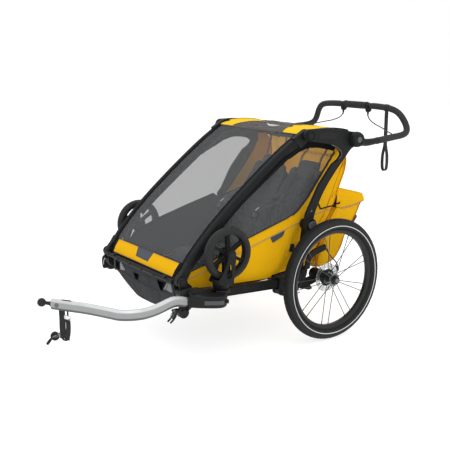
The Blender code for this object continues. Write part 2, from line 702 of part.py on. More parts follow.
def twist_grip():
    """Sleeve that turns on the crossbar to set the parking brake."""
    return lathe(
        [(-0.0705, 0.0129), (-0.0705, 0.0165), (-0.0640, 0.0150), (0.0640, 0.0150), (0.0705, 0.0165), (0.0705, 0.0129)],
        (0, *GRIP), (1, 0, 0), 16, ring=True)


finish("twist_grip", twist_grip(), grip, material("twist_grip", (0.018, 0.018, 0.019), 0.6))


def tube_object(name, points, r, body, mat, res=2):
    """A round cord: a poly curve with a bevel and filled caps."""
    cu = bpy.data.curves.new(name, "CURVE")
    cu.dimensions = "3D"
    cu.bevel_depth = r
    cu.bevel_resolution = res
    cu.use_fill_caps = True
    sp = cu.splines.new("POLY")
    sp.points.add(len(points) - 1)
    move = Vector((0, AXLE_Y, 0)) - body.pivot
    for p, q in zip(sp.points, points):
        p.co = (*(Vector(q) + move), 1)
    cu.materials.append(mat)
    ob = bpy.data.objects.new(name, cu)
    scene.collection.objects.link(ob)
    ob.parent = body.empty
    return ob


def hand_cable_points():
    return smooth_path([
        (0.0795, 0.4570, 0.8795), (0.0815, 0.4555, 0.8690), (0.0980, 0.4520, 0.8520), (0.1350, 0.4450, 0.8370), (0.1850, 0.4340, 0.8260),
        (0.2400, 0.4200, 0.8160), (0.2800, 0.4110, 0.8110), (0.2930, 0.4080, 0.8100)], 3)


for s, side in ((1, "left"), (-1, "right")):
    pts = [Vector((p.x * s, p.y, p.z)) for p in hand_cable_points()]
    tube_object("brake_cable_" + side, pts, 0.0022, handlebar, black("brake_cable_" + side, 0.4))


def wrist_strap():
    """Webbing loop that hangs from the collar: a doubled upper part that opens into the hand loop."""
    y = 0.4690
    top, split, low = 0.8868, 0.7550, 0.6320
    x = 0.1900
    w, t = 0.0180, 0.0022
    outer = [(x - 0.0034, top), (x - 0.0034, split), (x - 0.0130, split - 0.045), (x - 0.0150, low + 0.030), (x - 0.0100, low + 0.006), (x, low),
             (x + 0.0100, low + 0.006), (x + 0.0150, low + 0.030), (x + 0.0130, split - 0.045), (x + 0.0034, split), (x + 0.0034, top)]
    body = prism(outer, y - w / 2, y + w / 2, "Y")
    hole = [(x, split - 0.008), (x - 0.0105, split - 0.048), (x - 0.0122, low + 0.030), (x - 0.0080, low + 0.010), (x, low + 0.0045),
            (x + 0.0080, low + 0.010), (x + 0.0122, low + 0.030), (x + 0.0105, split - 0.048)]
    return cut(body, prism(hole, y - w, y + w, "Y"))


finish("wrist_strap", wrist_strap(), handlebar, black("wrist_strap", 0.8))

# ---------------------------------------------------------------- suspension, brakes and wheels


def swing_arm():
    """Arm from the crossmember to the wheel, with the axle housing and the stub axle."""
    outline = [(-0.1745, 0.2350), (-0.168, 0.2210), (-0.153, 0.2150), (-0.100, 0.2120), (-0.040, 0.2160), (0.0, 0.2280), (0.0, 0.2620), (-0.030, 0.2480), (-0.060, 0.2440), (-0.120, 0.2470), (-0.153, 0.2550), (-0.168, 0.2490)]
    bar = prism(outline, 0.2640, 0.2920)
    shoe = prism([(-0.112, 0.2135), (-0.050, 0.2160), (-0.040, 0.1990), (-0.058, 0.1960)], 0.2680, 0.2940)
    housing = lathe([(0.2450, 0), (0.2450, 0.0230), (0.2500, 0.0250), (0.3130, 0.0250), (0.3190, 0.0200), (0.3190, 0)], (0, 0, WHEEL_R), (1, 0, 0), 20)
    axle = rod((0.3100, 0, WHEEL_R), (0.3720, 0, WHEEL_R), 0.0060, 12)
    carrier = prism([(0.006, 0.262), (0.020, 0.240), (0.060, 0.262), (0.072, 0.284), (0.050, 0.296)], 0.3090, 0.3182)
    solid = union(bar, shoe, housing, axle, carrier)
    eye = rod((0.2600, *SWING), (0.3000, *SWING), 0.0088, 12)
    return cut(solid, eye)


both("swing_arm", swing_arm, swings, lambda n: material(n, BLACK, 0.45, 0.3))


def caliper():
    """Brake caliper that straddles the disc's rim behind the axle."""
    block = prism([(0.034, 0.274), (0.050, 0.262), (0.074, 0.270), (0.080, 0.288), (0.066, 0.306), (0.044, 0.300)], 0.3186, 0.3398)
    slot = box((0.3305, 0.0, 0.20), (0.3345, 0.0640, 0.34))
    return cut(block, slot)


both("brake_caliper", caliper, swings, lambda n: black(n, 0.4))


def caliper_cable():
    return smooth_path([(0.3225, 0.0040, 0.3700), (0.3225, 0.0120, 0.3690), (0.3230, 0.0330, 0.3610), (0.3240, 0.0520, 0.3460), (0.3250, 0.0630, 0.3280), (0.3255, 0.0640, 0.3100), (0.3255, 0.0630, 0.3085)], 2)


for s, side in ((1, "left"), (-1, "right")):
    pts = [Vector((p.x * s, p.y, p.z)) for p in caliper_cable()]
    tube_object("caliper_cable_" + side, pts, 0.0022, swings[0 if s > 0 else 1], black("caliper_cable_" + side, 0.4))

SEGS = 36


def tyre():
    prof = []
    for k in range(8):
        t = math.radians(45 * k)
        prof.append((TYRE_R * math.sin(t), max(0.2030, WHEEL_R - TYRE_R + TYRE_R * math.cos(t))))
    return lathe(prof, (WHEEL_X, 0, WHEEL_R), (1, 0, 0), SEGS, ring=True)


both("tyre", tyre, wheels, lambda n: material(n, (0.02, 0.02, 0.021), 0.85))


def rim():
    return lathe(
        [(-0.0125, RIM_OUT), (0.0125, RIM_OUT), (0.0110, 0.1960), (0.0070, RIM_IN), (-0.0070, RIM_IN), (-0.0110, 0.1960)],
        (WHEEL_X, 0, WHEEL_R), (1, 0, 0), SEGS, ring=True)


both("rim", rim, wheels, lambda n: material(n, (0.03, 0.03, 0.032), 0.35, 0.6))


def hub():
    """Hub shell with two flanges and eighteen spokes in nine near-parallel pairs."""
    profile = [
        (0.3230, 0.0068), (0.3230, 0.0160), (0.3370, 0.0165), (0.3390, 0.0250), (0.3420, 0.0250), (0.3440, 0.0170), (0.3740, 0.0170), (0.3760, 0.0275),
        (0.3795, 0.0275), (0.3825, 0.0180), (0.3925, 0.0150), (HUB_END_X, 0.0130), (HUB_END_X, 0.0095), (0.3745, 0.0095), (0.3745, 0.0068)]
    shell = lathe(profile, (0, 0, WHEEL_R), (1, 0, 0), 14, ring=True)
    spokes = []
    for k in range(9):
        for sgn in (-1, 1):
            a = math.radians(SPOKE_TURN + 40 * k + sgn * 4.9)
            x = 0.3777 if sgn > 0 else 0.3405
            p = (x, 0.0200 * math.cos(a), WHEEL_R + 0.0200 * math.sin(a))
            q = (WHEEL_X + (0.002 if x > WHEEL_X else -0.002), 0.1877 * math.cos(a), WHEEL_R + 0.1877 * math.sin(a))
            spokes.append(rod(p, q, 0.0012, 4))
    return union(shell, *spokes)


both("hub", hub, wheels, lambda n: material(n, (0.06, 0.06, 0.065), 0.35, 0.7))


def brake_disc():
    return lathe([(-0.0010, 0.0175), (0.0010, 0.0175), (0.0010, DISC_R), (-0.0010, DISC_R)], (0.3325, 0, WHEEL_R), (1, 0, 0), 24, ring=True)


both("brake_disc", brake_disc, wheels, lambda n: material(n, (0.6, 0.6, 0.62), 0.3, 1.0))


def wheel_button():
    return lathe([(0.3790, 0), (0.3790, 0.0090), (0.3960, 0.0090), (0.3975, 0.0075), (0.3975, 0)], (0, 0, WHEEL_R), (1, 0, 0), 20)


both("wheel_button", wheel_button, wheel_buttons, lambda n: material(n, (0.10, 0.10, 0.105), 0.5))

# ---------------------------------------------------------------- stowed front casters


def caster_fork():
    """Swivel body with two blades. It stands upside down in the wing's socket, with its stem in the bore."""
    body = lathe([(0, 0), (0, 0.0270), (0.010, 0.0320), (0.030, 0.0335), (0.044, 0.0240), (0.044, 0)], (CASTER_X, STEM_Y, 0.2965), (0, 0, 1), 16)
    stem = rod((CASTER_X, STEM_Y, 0.2560), (CASTER_X, STEM_Y, 0.3000), 0.0095, 12)
    outer = [(-0.559, 0.3130), (-0.498, 0.3130), (-0.487, 0.3420), (-0.4830, 0.4120), (-0.4850, 0.4360), (-0.499, 0.4440), (-0.513, 0.4370), (-0.520, 0.4120), (-0.545, 0.3520), (-0.561, 0.3300)]
    blades = prism(outer, CASTER_X - 0.0330, CASTER_X + 0.0330)
    gap = box((CASTER_X - 0.0235, -0.62, 0.3160), (CASTER_X + 0.0235, -0.45, 0.46))
    window = prism([(-0.529, 0.3500), (-0.513, 0.3400), (-0.501, 0.3480), (-0.499, 0.3800), (-0.507, 0.3900), (-0.517, 0.3820)], CASTER_X - 0.05, CASTER_X + 0.05)
    core = cut(blades, gap, window)
    well = lathe([(-0.0235, 0), (-0.0235, CASTER_R + 0.0040), (0.0235, CASTER_R + 0.0040), (0.0235, 0)], (CASTER_X, CASTER_Y, CASTER_Z), (1, 0, 0), 40)
    solid = cut(union(body, stem, core), well)
    pin = rod((CASTER_X - 0.0340, CASTER_Y, CASTER_Z), (CASTER_X + 0.0340, CASTER_Y, CASTER_Z), 0.0050, 12)
    cap = rod((CASTER_X + 0.0325, CASTER_Y, CASTER_Z), (CASTER_X + 0.0355, CASTER_Y, CASTER_Z), 0.0110, 12)
    return union(solid, pin, cap)


both("caster_fork", caster_fork, forks, lambda n: black(n, 0.5))


def caster_wheel():
    """Moulded wheel: tyre, rim, six spokes and a bored hub."""
    tyre_part = lathe(
        [(0.0080, CASTER_R), (0.0180, CASTER_R - 0.0080), (0.0185, CASTER_R - 0.0200), (0.0130, CASTER_R - 0.0260),
         (-0.0130, CASTER_R - 0.0260), (-0.0185, CASTER_R - 0.0200), (-0.0180, CASTER_R - 0.0080), (-0.0080, CASTER_R)],
        (CASTER_X, CASTER_Y, CASTER_Z), (1, 0, 0), 28, ring=True)
    hub_part = lathe([(-0.0200, 0.0056), (-0.0200, 0.0150), (0.0200, 0.0150), (0.0200, 0.0056)], (CASTER_X, CASTER_Y, CASTER_Z), (1, 0, 0), 16, ring=True)
    parts = []
    for k in range(6):
        a = math.radians(31 + 60 * k)
        d = Vector((0, math.cos(a), math.sin(a)))
        c = Vector((CASTER_X, CASTER_Y, CASTER_Z))
        parts.append(sweep([c + d * 0.0120, c + d * 0.0770], [(0.0055, -0.0080), (0.0055, 0.0080), (-0.0055, 0.0080), (-0.0055, -0.0080)], up=(1, 0, 0)))
    return union(tyre_part, hub_part, *parts)


both("caster_wheel", caster_wheel, casters, lambda n: material(n, (0.03, 0.03, 0.032), 0.7))

# ---------------------------------------------------------------- tow arm
BEND = math.radians(50)
BEND_R = 0.110
BEND_Y = -0.845
ARM_RUN = 0.2500


def arm_centre():
    pts = [(ARM_X, -0.6200, ARM_Z), (ARM_X, -0.6850, ARM_Z), (ARM_X, -0.7700, ARM_Z), (ARM_X, BEND_Y, ARM_Z)]
    for k in range(1, 7):
        t = BEND * k / 6
        pts.append((ARM_X - BEND_R * (1 - math.cos(t)), BEND_Y - BEND_R * math.sin(t), ARM_Z))
    x, y, z = pts[-1]
    for k in (1, 2, 3):
        d = ARM_RUN * k / 3
        pts.append((x - math.sin(BEND) * d, y - math.cos(BEND) * d, z + 0.0105 * (k / 3) ** 1.5))
    return pts


def tow_arm():
    return sweep(arm_centre(), chamfered(ARM_W, ARM_H, 0.0070))


finish("tow_arm", tow_arm(), tow, material("tow_arm", (0.72, 0.73, 0.72), 0.35, 1.0))

END = Vector(arm_centre()[-1])
AHEAD = Vector((-math.sin(BEND), -math.cos(BEND), 0.04)).normalized()


def hitch_ball():
    r = 0.0158
    reach = 0.0410
    prof = [(0.0006, 0), (0.0006, 0.0105), (0.0060, 0.0105), (0.0080, 0.0072), (reach - 0.0150, 0.0066)]
    for k in range(2, 8):
        t = math.pi * k / 7
        prof.append((reach - r * math.cos(t) if k < 7 else reach + r, r * math.sin(t) if k < 7 else 0.0))
    return lathe(prof, END, AHEAD, 16)


finish("hitch_ball", hitch_ball(), tow, material("hitch_ball", (0.02, 0.02, 0.021), 0.45))

HANG = END - AHEAD * 0.0300


def strap_frame(u, d, z):
    """u along the arm, d across it, z downwards from the arm's underside."""
    side = Vector((0, 0, 1)).cross(AHEAD).normalized()
    flat = Vector((AHEAD.x, AHEAD.y, 0)).normalized()
    return Vector((HANG.x, HANG.y, HANG.z - ARM_H / 2 - 0.0024 - z)) + flat * u + side * d


def slab(u0, u1, d0, d1, z0, z1):
    a = [strap_frame(u0, d0, z0), strap_frame(u1, d0, z0), strap_frame(u1, d1, z0), strap_frame(u0, d1, z0)]
    b = [strap_frame(u0, d0, z1), strap_frame(u1, d0, z1), strap_frame(u1, d1, z1), strap_frame(u0, d1, z1)]
    return hexa(a, b)


def safety_strap():
    """Webbing that hangs straight down from the arm's front end."""
    return slab(-0.0125, 0.0125, -0.0015, 0.0015, 0.0, 0.0800)


finish("safety_strap", safety_strap(), tow, material("safety_strap", (0.02, 0.02, 0.021), 0.85))


def coupling_pin():
    """Cup, cross pin and paddle that hang on the strap's lower end."""
    ring = slab(-0.0140, 0.0140, -0.0035, 0.0035, 0.0803, 0.0920)
    flat = Vector((AHEAD.x, AHEAD.y, 0)).normalized()
    side = Vector((0, 0, 1)).cross(AHEAD).normalized()
    c = strap_frame(0.0100, 0, 0.0900)
    pin = rod(c, c + flat * 0.0300 - Vector((0, 0, 0.0160)), 0.0040, 8)
    disc = rod(c + flat * 0.0200 - Vector((0, 0, 0.0110)) - side * 0.0060, c + flat * 0.0200 - Vector((0, 0, 0.0110)) + side * 0.0060, 0.0170, 16)
    tip = c + flat * 0.0290 - Vector((0, 0, 0.0150))
    paddle = rod(tip, tip + flat * 0.0220 - Vector((0, 0, 0.0280)), 0.0055, 8)
    return union(ring, pin, disc, paddle)


finish("coupling_pin", coupling_pin(), tow, material("coupling_pin", (0.03, 0.03, 0.032), 0.5, 0.5))
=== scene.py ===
import math

import bmesh
import bpy
import numpy as np
from mathutils import Matrix, Vector, noise
from mathutils.geometry import delaunay_2d_cdt


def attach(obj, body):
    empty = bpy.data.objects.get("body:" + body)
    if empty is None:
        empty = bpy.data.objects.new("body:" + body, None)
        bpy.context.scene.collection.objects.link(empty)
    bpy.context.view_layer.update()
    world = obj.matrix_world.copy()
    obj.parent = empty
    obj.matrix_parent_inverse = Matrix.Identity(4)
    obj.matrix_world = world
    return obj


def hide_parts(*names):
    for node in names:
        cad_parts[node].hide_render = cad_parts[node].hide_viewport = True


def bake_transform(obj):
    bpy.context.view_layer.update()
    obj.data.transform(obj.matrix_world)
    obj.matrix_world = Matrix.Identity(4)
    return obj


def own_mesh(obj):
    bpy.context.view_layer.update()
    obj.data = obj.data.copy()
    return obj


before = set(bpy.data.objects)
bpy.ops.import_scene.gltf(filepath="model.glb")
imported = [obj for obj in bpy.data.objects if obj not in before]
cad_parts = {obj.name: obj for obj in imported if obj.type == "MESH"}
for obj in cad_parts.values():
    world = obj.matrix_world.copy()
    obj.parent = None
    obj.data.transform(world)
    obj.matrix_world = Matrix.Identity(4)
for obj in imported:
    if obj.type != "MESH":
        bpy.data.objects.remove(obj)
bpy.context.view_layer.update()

# Two-seat child bike trailer. Metres, +Z up, the tow arm points to -Y and +X is the trailer's left.
# Measures along Y are written from the wheel axle and moved by AXLE_Y when a piece is made.

AXLE_Y = 0.3177
scene = bpy.context.scene

P1 = (-0.673, 0.333)     # front pillar foot
P2 = (-0.086, 0.831)     # front pillar head
P4 = (-0.073, 0.473)     # rear pillar to rear stay
P5 = (-0.102, 0.288)     # rear stay foot
SWING = (-0.155, 0.235)
TILT = (0.155, 0.803)
GRIP = (0.460, 0.9135)
WHEEL_R, TYRE_R, WHEEL_X = 0.250, 0.0235, 0.365
CASTER_Y, CASTER_Z, CASTER_X = -0.499, 0.424, 0.335
STEM_Y, CASTER_R = -0.529, 0.100
ARM_X, ARM_Z, ARM_W, ARM_H = 0.318, 0.2655, 0.025, 0.039

PILLAR_A = math.atan2(P2[1] - P1[1], P2[0] - P1[0])
PILLAR_L = math.hypot(P2[0] - P1[0], P2[1] - P1[1])
LOWER = [(0.030, -0.0160), (0.060, -0.0010), (0.110, 0.0100), (0.180, 0.0170), (0.250, 0.0190), (0.330, 0.0160), (0.420, 0.0090), (0.520, 0.0000), (0.620, -0.0100), (0.690, -0.0190), (0.735, -0.0250)]
UPPER = [(0.024, 0.0200), (0.060, 0.0290), (0.110, 0.0390), (0.210, 0.0495), (0.315, 0.0525), (0.420, 0.0510), (0.520, 0.0470), (0.620, 0.0405), (0.690, 0.0325), (0.740, 0.0240)]


# ---------------------------------------------------------------- camera
AZ, EL, AWAY = math.radians(54.75), math.radians(12.388), 3.2968
AIM = Vector((0.0364, -0.300 + AXLE_Y, 0.4536))
back = Vector((math.sin(AZ) * math.cos(EL), -math.cos(AZ) * math.cos(EL), math.sin(EL)))
cam = bpy.data.cameras.new("camera")
cam.sensor_width = 36.0
cam.sensor_fit = "HORIZONTAL"
cam.lens = 64.0
cam.clip_start = 0.05
camera = bpy.data.objects.new("camera", cam)
scene.collection.objects.link(camera)
camera.location = AIM + back * AWAY
camera.rotation_euler = back.to_track_quat("Z", "Y").to_euler()
scene.camera = camera

# ---------------------------------------------------------------- shape helpers, all from the wheel axle


class Part:
    """Vertices and faces with a material number for each face."""

    def __init__(self):
        self.v, self.f, self.m, self.flat = [], [], [], []

    def add(self, shape, mat=0, flat=False, mirror=False):
        verts, faces = shape
        o = len(self.v)
        if mirror:
            self.v += [Vector((-p[0], p[1], p[2])) for p in verts]
            self.f += [tuple(i + o for i in reversed(f)) for f in faces]
        else:
            self.v += [Vector(p) for p in verts]
            self.f += [tuple(i + o for i in f) for f in faces]
        self.m += [mat] * len(faces) if isinstance(mat, int) else list(mat)
        self.flat += [flat] * len(faces)
        return self

    def mirrored(self):
        out = Part()
        out.v = [Vector((-p.x, p.y, p.z)) for p in self.v]
        out.f = [tuple(reversed(f)) for f in self.f]
        out.m, out.flat = list(self.m), list(self.flat)
        return out


def mesh_of(name, part, mats, merge=2e-6, angle=38.0, outward=True):
    me = bpy.data.meshes.new(name)
    bm = bmesh.new()
    vs = [bm.verts.new((p.x, p.y + AXLE_Y, p.z)) for p in part.v]
    for f, m, flat in zip(part.f, part.m, part.flat):
        try:
            face = bm.faces.new([vs[i] for i in f])
        except ValueError:
            continue
        face.material_index = m
        face.smooth = not flat
    if merge:
        bmesh.ops.remove_doubles(bm, verts=bm.verts, dist=merge)
    loose = [v for v in bm.verts if not v.link_faces]
    bmesh.ops.delete(bm, geom=loose, context="VERTS")
    if outward:
        bmesh.ops.recalc_face_normals(bm, faces=bm.faces)
    bm.to_mesh(me)
    bm.free()
    me.set_sharp_from_angle(angle=math.radians(angle))
    for m in mats:
        me.materials.append(m)
    return me


def piece(name, part, mats, body, slot, replaces=(), weighted=True, angle=38.0, outward=True, squash=None, merge=2e-6):
    """Makes the object, lets it ride on its body and hides the CAD nodes that it stands for."""
    me = mesh_of(name, part, mats if isinstance(mats, (list, tuple)) else [mats], merge, angle, outward)
    ob = bpy.data.objects.new(name, me)
    scene.collection.objects.link(ob)
    if weighted:
        mod = ob.modifiers.new("normals", "WEIGHTED_NORMAL")
        mod.keep_sharp = True
        mod.weight = 60
    if body:
        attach(ob, body)
    if replaces:
        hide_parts(*replaces)
    if squash:
        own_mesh(ob)
    return ob


def pair(name, build, mats, bodies, slot, replaces=(), **kw):
    """A left piece from build() and its mirror image on the right."""
    part = build()
    a = piece(name + "_left", part, mats, bodies[0], slot, [r + "_left" for r in replaces], **kw)
    b = piece(name + "_right", part.mirrored(), mats, bodies[1], slot, [r + "_right" for r in replaces], **kw)
    return a, b


def frame_of(axis):
    axis = Vector(axis).normalized()
    side = axis.cross(Vector((0, 0, 1)))
    if side.length < 1e-3:
        side = axis.cross(Vector((0, 1, 0)))
    side.normalize()
    return axis, side, side.cross(axis)


def lathe(profile, origin, axis=(1, 0, 0), segs=48, ring=False, phase=0.0, mod=None):
    """Turns (along, radius) points round an axis. mod(i, angle, radius) may change a radius."""
    axis, side, up = frame_of(axis)
    origin = Vector(origin)
    verts, rings = [], []
    for i, (along, r) in enumerate(profile):
        if r < 1e-7:
            rings.append([len(verts)])
            verts.append(origin + axis * along)
            continue
        ids = []
        for k in range(segs):
            t = phase + 2 * math.pi * k / segs
            rr = mod(i, t, r) if mod else r
            ids.append(len(verts))
            verts.append(origin + axis * along + (side * math.cos(t) + up * math.sin(t)) * rr)
        rings.append(ids)
    faces = []
    n = len(rings)
    for i in range(n if ring else n - 1):
        a, b = rings[i], rings[(i + 1) % n]
        for k in range(segs):
            m = (k + 1) % segs
            if len(a) == 1 and len(b) == 1:
                continue
            if len(a) == 1:
                faces.append((a[0], b[k], b[m]))
            elif len(b) == 1:
                faces.append((a[k], b[0], a[m]))
            else:
                faces.append((a[k], b[k], b[m], a[m]))
    return verts, faces


def turned(points, origin, axis=(1, 0, 0), segs=40, soft=0.0008, mod=None, phase=0.0):
    """A lathe whose profile corners are eased by a small radius."""
    out = [points[0]]
    for a, p, b in zip(points, points[1:], points[2:]):
        pa = Vector((a[0] - p[0], a[1] - p[1]))
        pb = Vector((b[0] - p[0], b[1] - p[1]))
        d = min(soft, pa.length * 0.45, pb.length * 0.45)
        if pa.length < 1e-6 or pb.length < 1e-6 or p[1] < 1e-6:
            out.append(p)
            continue
        s, e = Vector(p) + pa.normalized() * d, Vector(p) + pb.normalized() * d
        m = (s + e) * 0.25 + Vector(p) * 0.5
        out += [tuple(s), tuple(m), tuple(e)]
    out.append(points[-1])
    return lathe(out, origin, axis, segs, mod=mod, phase=phase)


def arc(centre, r, a0, a1, n):
    return [(centre[0] + r * math.cos(math.radians(a0 + (a1 - a0) * k / n)), centre[1] + r * math.sin(math.radians(a0 + (a1 - a0) * k / n))) for k in range(n + 1)]


def circle(centre, r, n=32):
    return arc(centre, r, 0, 360 * (n - 1) / n, n - 1)


def rounded(points, r, n=4):
    """A closed outline with its corners filleted."""
    out = []
    m = len(points)
    for i in range(m):
        p, a, b = (Vector(points[j % m]) for j in (i, i - 1, i + 1))
        ea, eb = a - p, b - p
        rr = r[i] if isinstance(r, (list, tuple)) else r
        d = min(rr, ea.length * 0.46, eb.length * 0.46)
        if d < 1e-5:
            out.append(tuple(p))
            continue
        s, e = p + ea.normalized() * d, p + eb.normalized() * d
        for k in range(n + 1):
            t = k / n
            q = s * (1 - t) ** 2 + p * 2 * t * (1 - t) + e * t * t
            out.append(tuple(q))
    return out


def hull(points):
    pts = sorted(set(points))

    def half(seq):
        out = []
        for p in seq:
            while len(out) > 1 and (out[-1][0] - out[-2][0]) * (p[1] - out[-2][1]) - (out[-1][1] - out[-2][1]) * (p[0] - out[-2][0]) <= 0:
                out.pop()
            out.append(p)
        return out

    lower, upper = half(pts), half(reversed(pts))
    return lower[:-1] + upper[:-1]


def curve_through(points, steps, closed=False):
    """Catmull-Rom through points of any size."""
    pts = [Vector(p) for p in points]
    if closed:
        pts = [pts[-1]] + pts + pts[:2]
    else:
        pts = [pts[0] * 2 - pts[1]] + pts + [pts[-1] * 2 - pts[-2]]
    out = []
    for i in range(1, len(pts) - 2):
        a, b, c, d = pts[i - 1:i + 3]
        for k in range(steps):
            t = k / steps
            out.append(0.5 * (2 * b + (c - a) * t + (2 * a - 5 * b + 4 * c - d) * t * t + (3 * b - a - 3 * c + d) * t ** 3))
    if not closed:
        out.append(pts[-2])
    return out


def resample(path, step):
    """Evenly spaced points on a polyline."""
    path = [Vector(p) for p in path]
    lens = [0.0]
    for a, b in zip(path, path[1:]):
        lens.append(lens[-1] + (b - a).length)
    n = max(2, int(round(lens[-1] / step)) + 1)
    out, j = [], 0
    for k in range(n):
        s = lens[-1] * k / (n - 1)
        while j < len(path) - 2 and lens[j + 1] < s:
            j += 1
        w = (s - lens[j]) / max(1e-9, lens[j + 1] - lens[j])
        out.append(path[j].lerp(path[j + 1], min(1.0, max(0.0, w))))
    return out


def tube(path, r, segs=14, caps=True, closed=False, round_caps=False, squash=1.0, up=None):
    """A tube along a path by parallel transport. r is a number or a function of the place along it, 0 to 1."""
    path = [Vector(p) for p in path]
    n = len(path)
    verts, rings = [], []
    tangents = []
    for i in range(n):
        if closed:
            t = path[(i + 1) % n] - path[i - 1]
        else:
            t = path[min(i + 1, n - 1)] - path[max(i - 1, 0)]
        tangents.append(t.normalized())
    if up is None:
        side = frame_of(tangents[0])[1]
    else:
        side = tangents[0].cross(Vector(up)).normalized()
    for i in range(n):
        t = tangents[i]
        if up is None:
            side = (side - t * side.dot(t)).normalized()
        else:
            side = t.cross(Vector(up)).normalized()
        high = side.cross(t)
        rr = r(i / (n - 1)) if callable(r) else r
        ids = []
        for k in range(segs):
            a = 2 * math.pi * k / segs
            ids.append(len(verts))
            verts.append(path[i] + side * (math.cos(a) * rr) + high * (math.sin(a) * rr * squash))
        rings.append(ids)
    faces = []
    for i in range(n if closed else n - 1):
        a, b = rings[i], rings[(i + 1) % n]
        for k in range(segs):
            m = (k + 1) % segs
            faces.append((a[k], b[k], b[m], a[m]))
    if caps and not closed:
        for ids, t, i in ((rings[0], -tangents[0], 0), (rings[-1], tangents[-1], n - 1)):
            rr = r(i / (n - 1)) if callable(r) else r
            last = ids
            if round_caps:
                for q in (0.35, 0.7):
                    new = []
                    for v in last if False else ids:
                        d = verts[v] - path[i]
                        new.append(len(verts))
                        verts.append(path[i] + d * math.cos(q * math.pi / 2) + t * rr * math.sin(q * math.pi / 2))
                    for k in range(segs):
                        m = (k + 1) % segs
                        faces.append((last[k], new[k], new[m], last[m]))
                    last = new
                tip = path[i] + t * rr
            else:
                tip = path[i]
            c = len(verts)
            verts.append(tip)
            for k in range(segs):
                faces.append((last[k], c, last[(k + 1) % segs]))
    return verts, faces


def sweep(path, section, up=(0, 0, 1), caps=True, scale=None, ups=None):
    """Carries a closed section, points (side, up), along a path. ups gives each point its own up."""
    path = [Vector(p) for p in path]
    n, k = len(path), len(section)
    verts, faces = [], []
    for i, p in enumerate(path):
        t = (path[min(i + 1, n - 1)] - path[max(i - 1, 0)]).normalized()
        u = Vector(ups[i]) if ups else Vector(up)
        side = t.cross(u).normalized()
        high = side.cross(t).normalized()
        sc = scale(i / (n - 1)) if scale else (1.0, 1.0)
        for a, b in section:
            verts.append(p + side * (a * sc[0]) + high * (b * sc[1]))
    for i in range(n - 1):
        for j in range(k):
            m = (j + 1) % k
            faces.append((i * k + j, (i + 1) * k + j, (i + 1) * k + m, i * k + m))
    if caps:
        faces.append(tuple(range(k)))
        faces.append(tuple(reversed(range((n - 1) * k, n * k))))
    return verts, faces


def strap_section(w, t):
    """The section of flat webbing with rounded selvedges, (side, up)."""
    w, t = w / 2, t / 2
    return [(-w, 0), (-w + t * 0.6, t), (-w * 0.33, t), (w * 0.33, t), (w - t * 0.6, t), (w, 0), (w - t * 0.6, -t), (w * 0.33, -t), (-w * 0.33, -t), (-w + t * 0.6, -t)]


def ribbon(path, w, t, up=(0, 0, 1), ups=None):
    return sweep(path, strap_section(w, t), up=up, ups=ups)


def plate(outline, x0, x1, holes=(), bevel=0.0015, res=2, axis="X"):
    """A flat moulding or pressed plate with eased edges. The outline is (y, z) for X, (x, y) for Z."""
    cu = bpy.data.curves.new("temp", "CURVE")
    cu.dimensions = "2D"
    cu.fill_mode = "BOTH"
    bevel = min(bevel, abs(x1 - x0) / 2 * 0.98)
    cu.extrude = abs(x1 - x0) / 2 - bevel
    cu.bevel_depth = bevel
    cu.bevel_resolution = res
    cu.offset = -bevel
    for loop in [outline] + list(holes):
        sp = cu.splines.new("POLY")
        sp.points.add(len(loop) - 1)
        sp.use_cyclic_u = True
        for p, q in zip(sp.points, loop):
            p.co = (q[0], q[1], 0, 1)
    ob = bpy.data.objects.new("temp", cu)
    scene.collection.objects.link(ob)
    deps = bpy.context.evaluated_depsgraph_get()
    me = bpy.data.meshes.new_from_object(ob.evaluated_get(deps))
    mid = (x0 + x1) / 2
    if axis == "X":
        verts = [(v.co.z + mid, v.co.x, v.co.y) for v in me.vertices]
    elif axis == "Z":
        verts = [(v.co.x, v.co.y, v.co.z + mid) for v in me.vertices]
    else:
        verts = [(v.co.x, mid - v.co.z, v.co.y) for v in me.vertices]
    faces = [tuple(p.vertices) for p in me.polygons]
    bpy.data.objects.remove(ob, do_unlink=True)
    bpy.data.curves.remove(cu)
    bpy.data.meshes.remove(me)
    return verts, faces


def stack(outline, layers, axis="Z", close=True):
    """A moulding built of rings: layers are (height, grow) where grow moves the outline in or out along its own normal."""
    n = len(outline)
    pts = [Vector(p) for p in outline]
    area = sum(pts[i].x * pts[(i + 1) % n].y - pts[(i + 1) % n].x * pts[i].y for i in range(n))
    sign = 1 if area > 0 else -1
    normals = []
    for i in range(n):
        e = (pts[(i + 1) % n] - pts[i - 1]).normalized()
        normals.append(Vector((e.y, -e.x)) * sign)
    verts, faces = [], []
    for h, g in layers:
        for p, q in zip(pts, normals):
            a = p + q * g
            verts.append({"Z": (a.x, a.y, h), "X": (h, a.x, a.y), "Y": (a.x, h, a.y)}[axis])
    for i in range(len(layers) - 1):
        for k in range(n):
            m = (k + 1) % n
            faces.append((i * n + k, i * n + m, (i + 1) * n + m, (i + 1) * n + k))
    if close:
        faces.append(tuple(reversed(range(n))))
        faces.append(tuple(range((len(layers) - 1) * n, len(layers) * n)))
    return verts, faces


def moved(shape, by):
    by = Vector(by)
    return [Vector(p) + by for p in shape[0]], shape[1]


def spun(shape, origin, axis, angle):
    m = Matrix.Translation(Vector(origin)) @ Matrix.Rotation(angle, 4, Vector(axis)) @ Matrix.Translation(-Vector(origin))
    return [m @ Vector(p) for p in shape[0]], shape[1]


def inside(p, poly):
    x, y = p
    hit = False
    j = len(poly) - 1
    for i in range(len(poly)):
        a, b = poly[i], poly[j]
        if (a[1] > y) != (b[1] > y) and x < (b[0] - a[0]) * (y - a[1]) / (b[1] - a[1]) + a[0]:
            hit = not hit
        j = i
    return hit


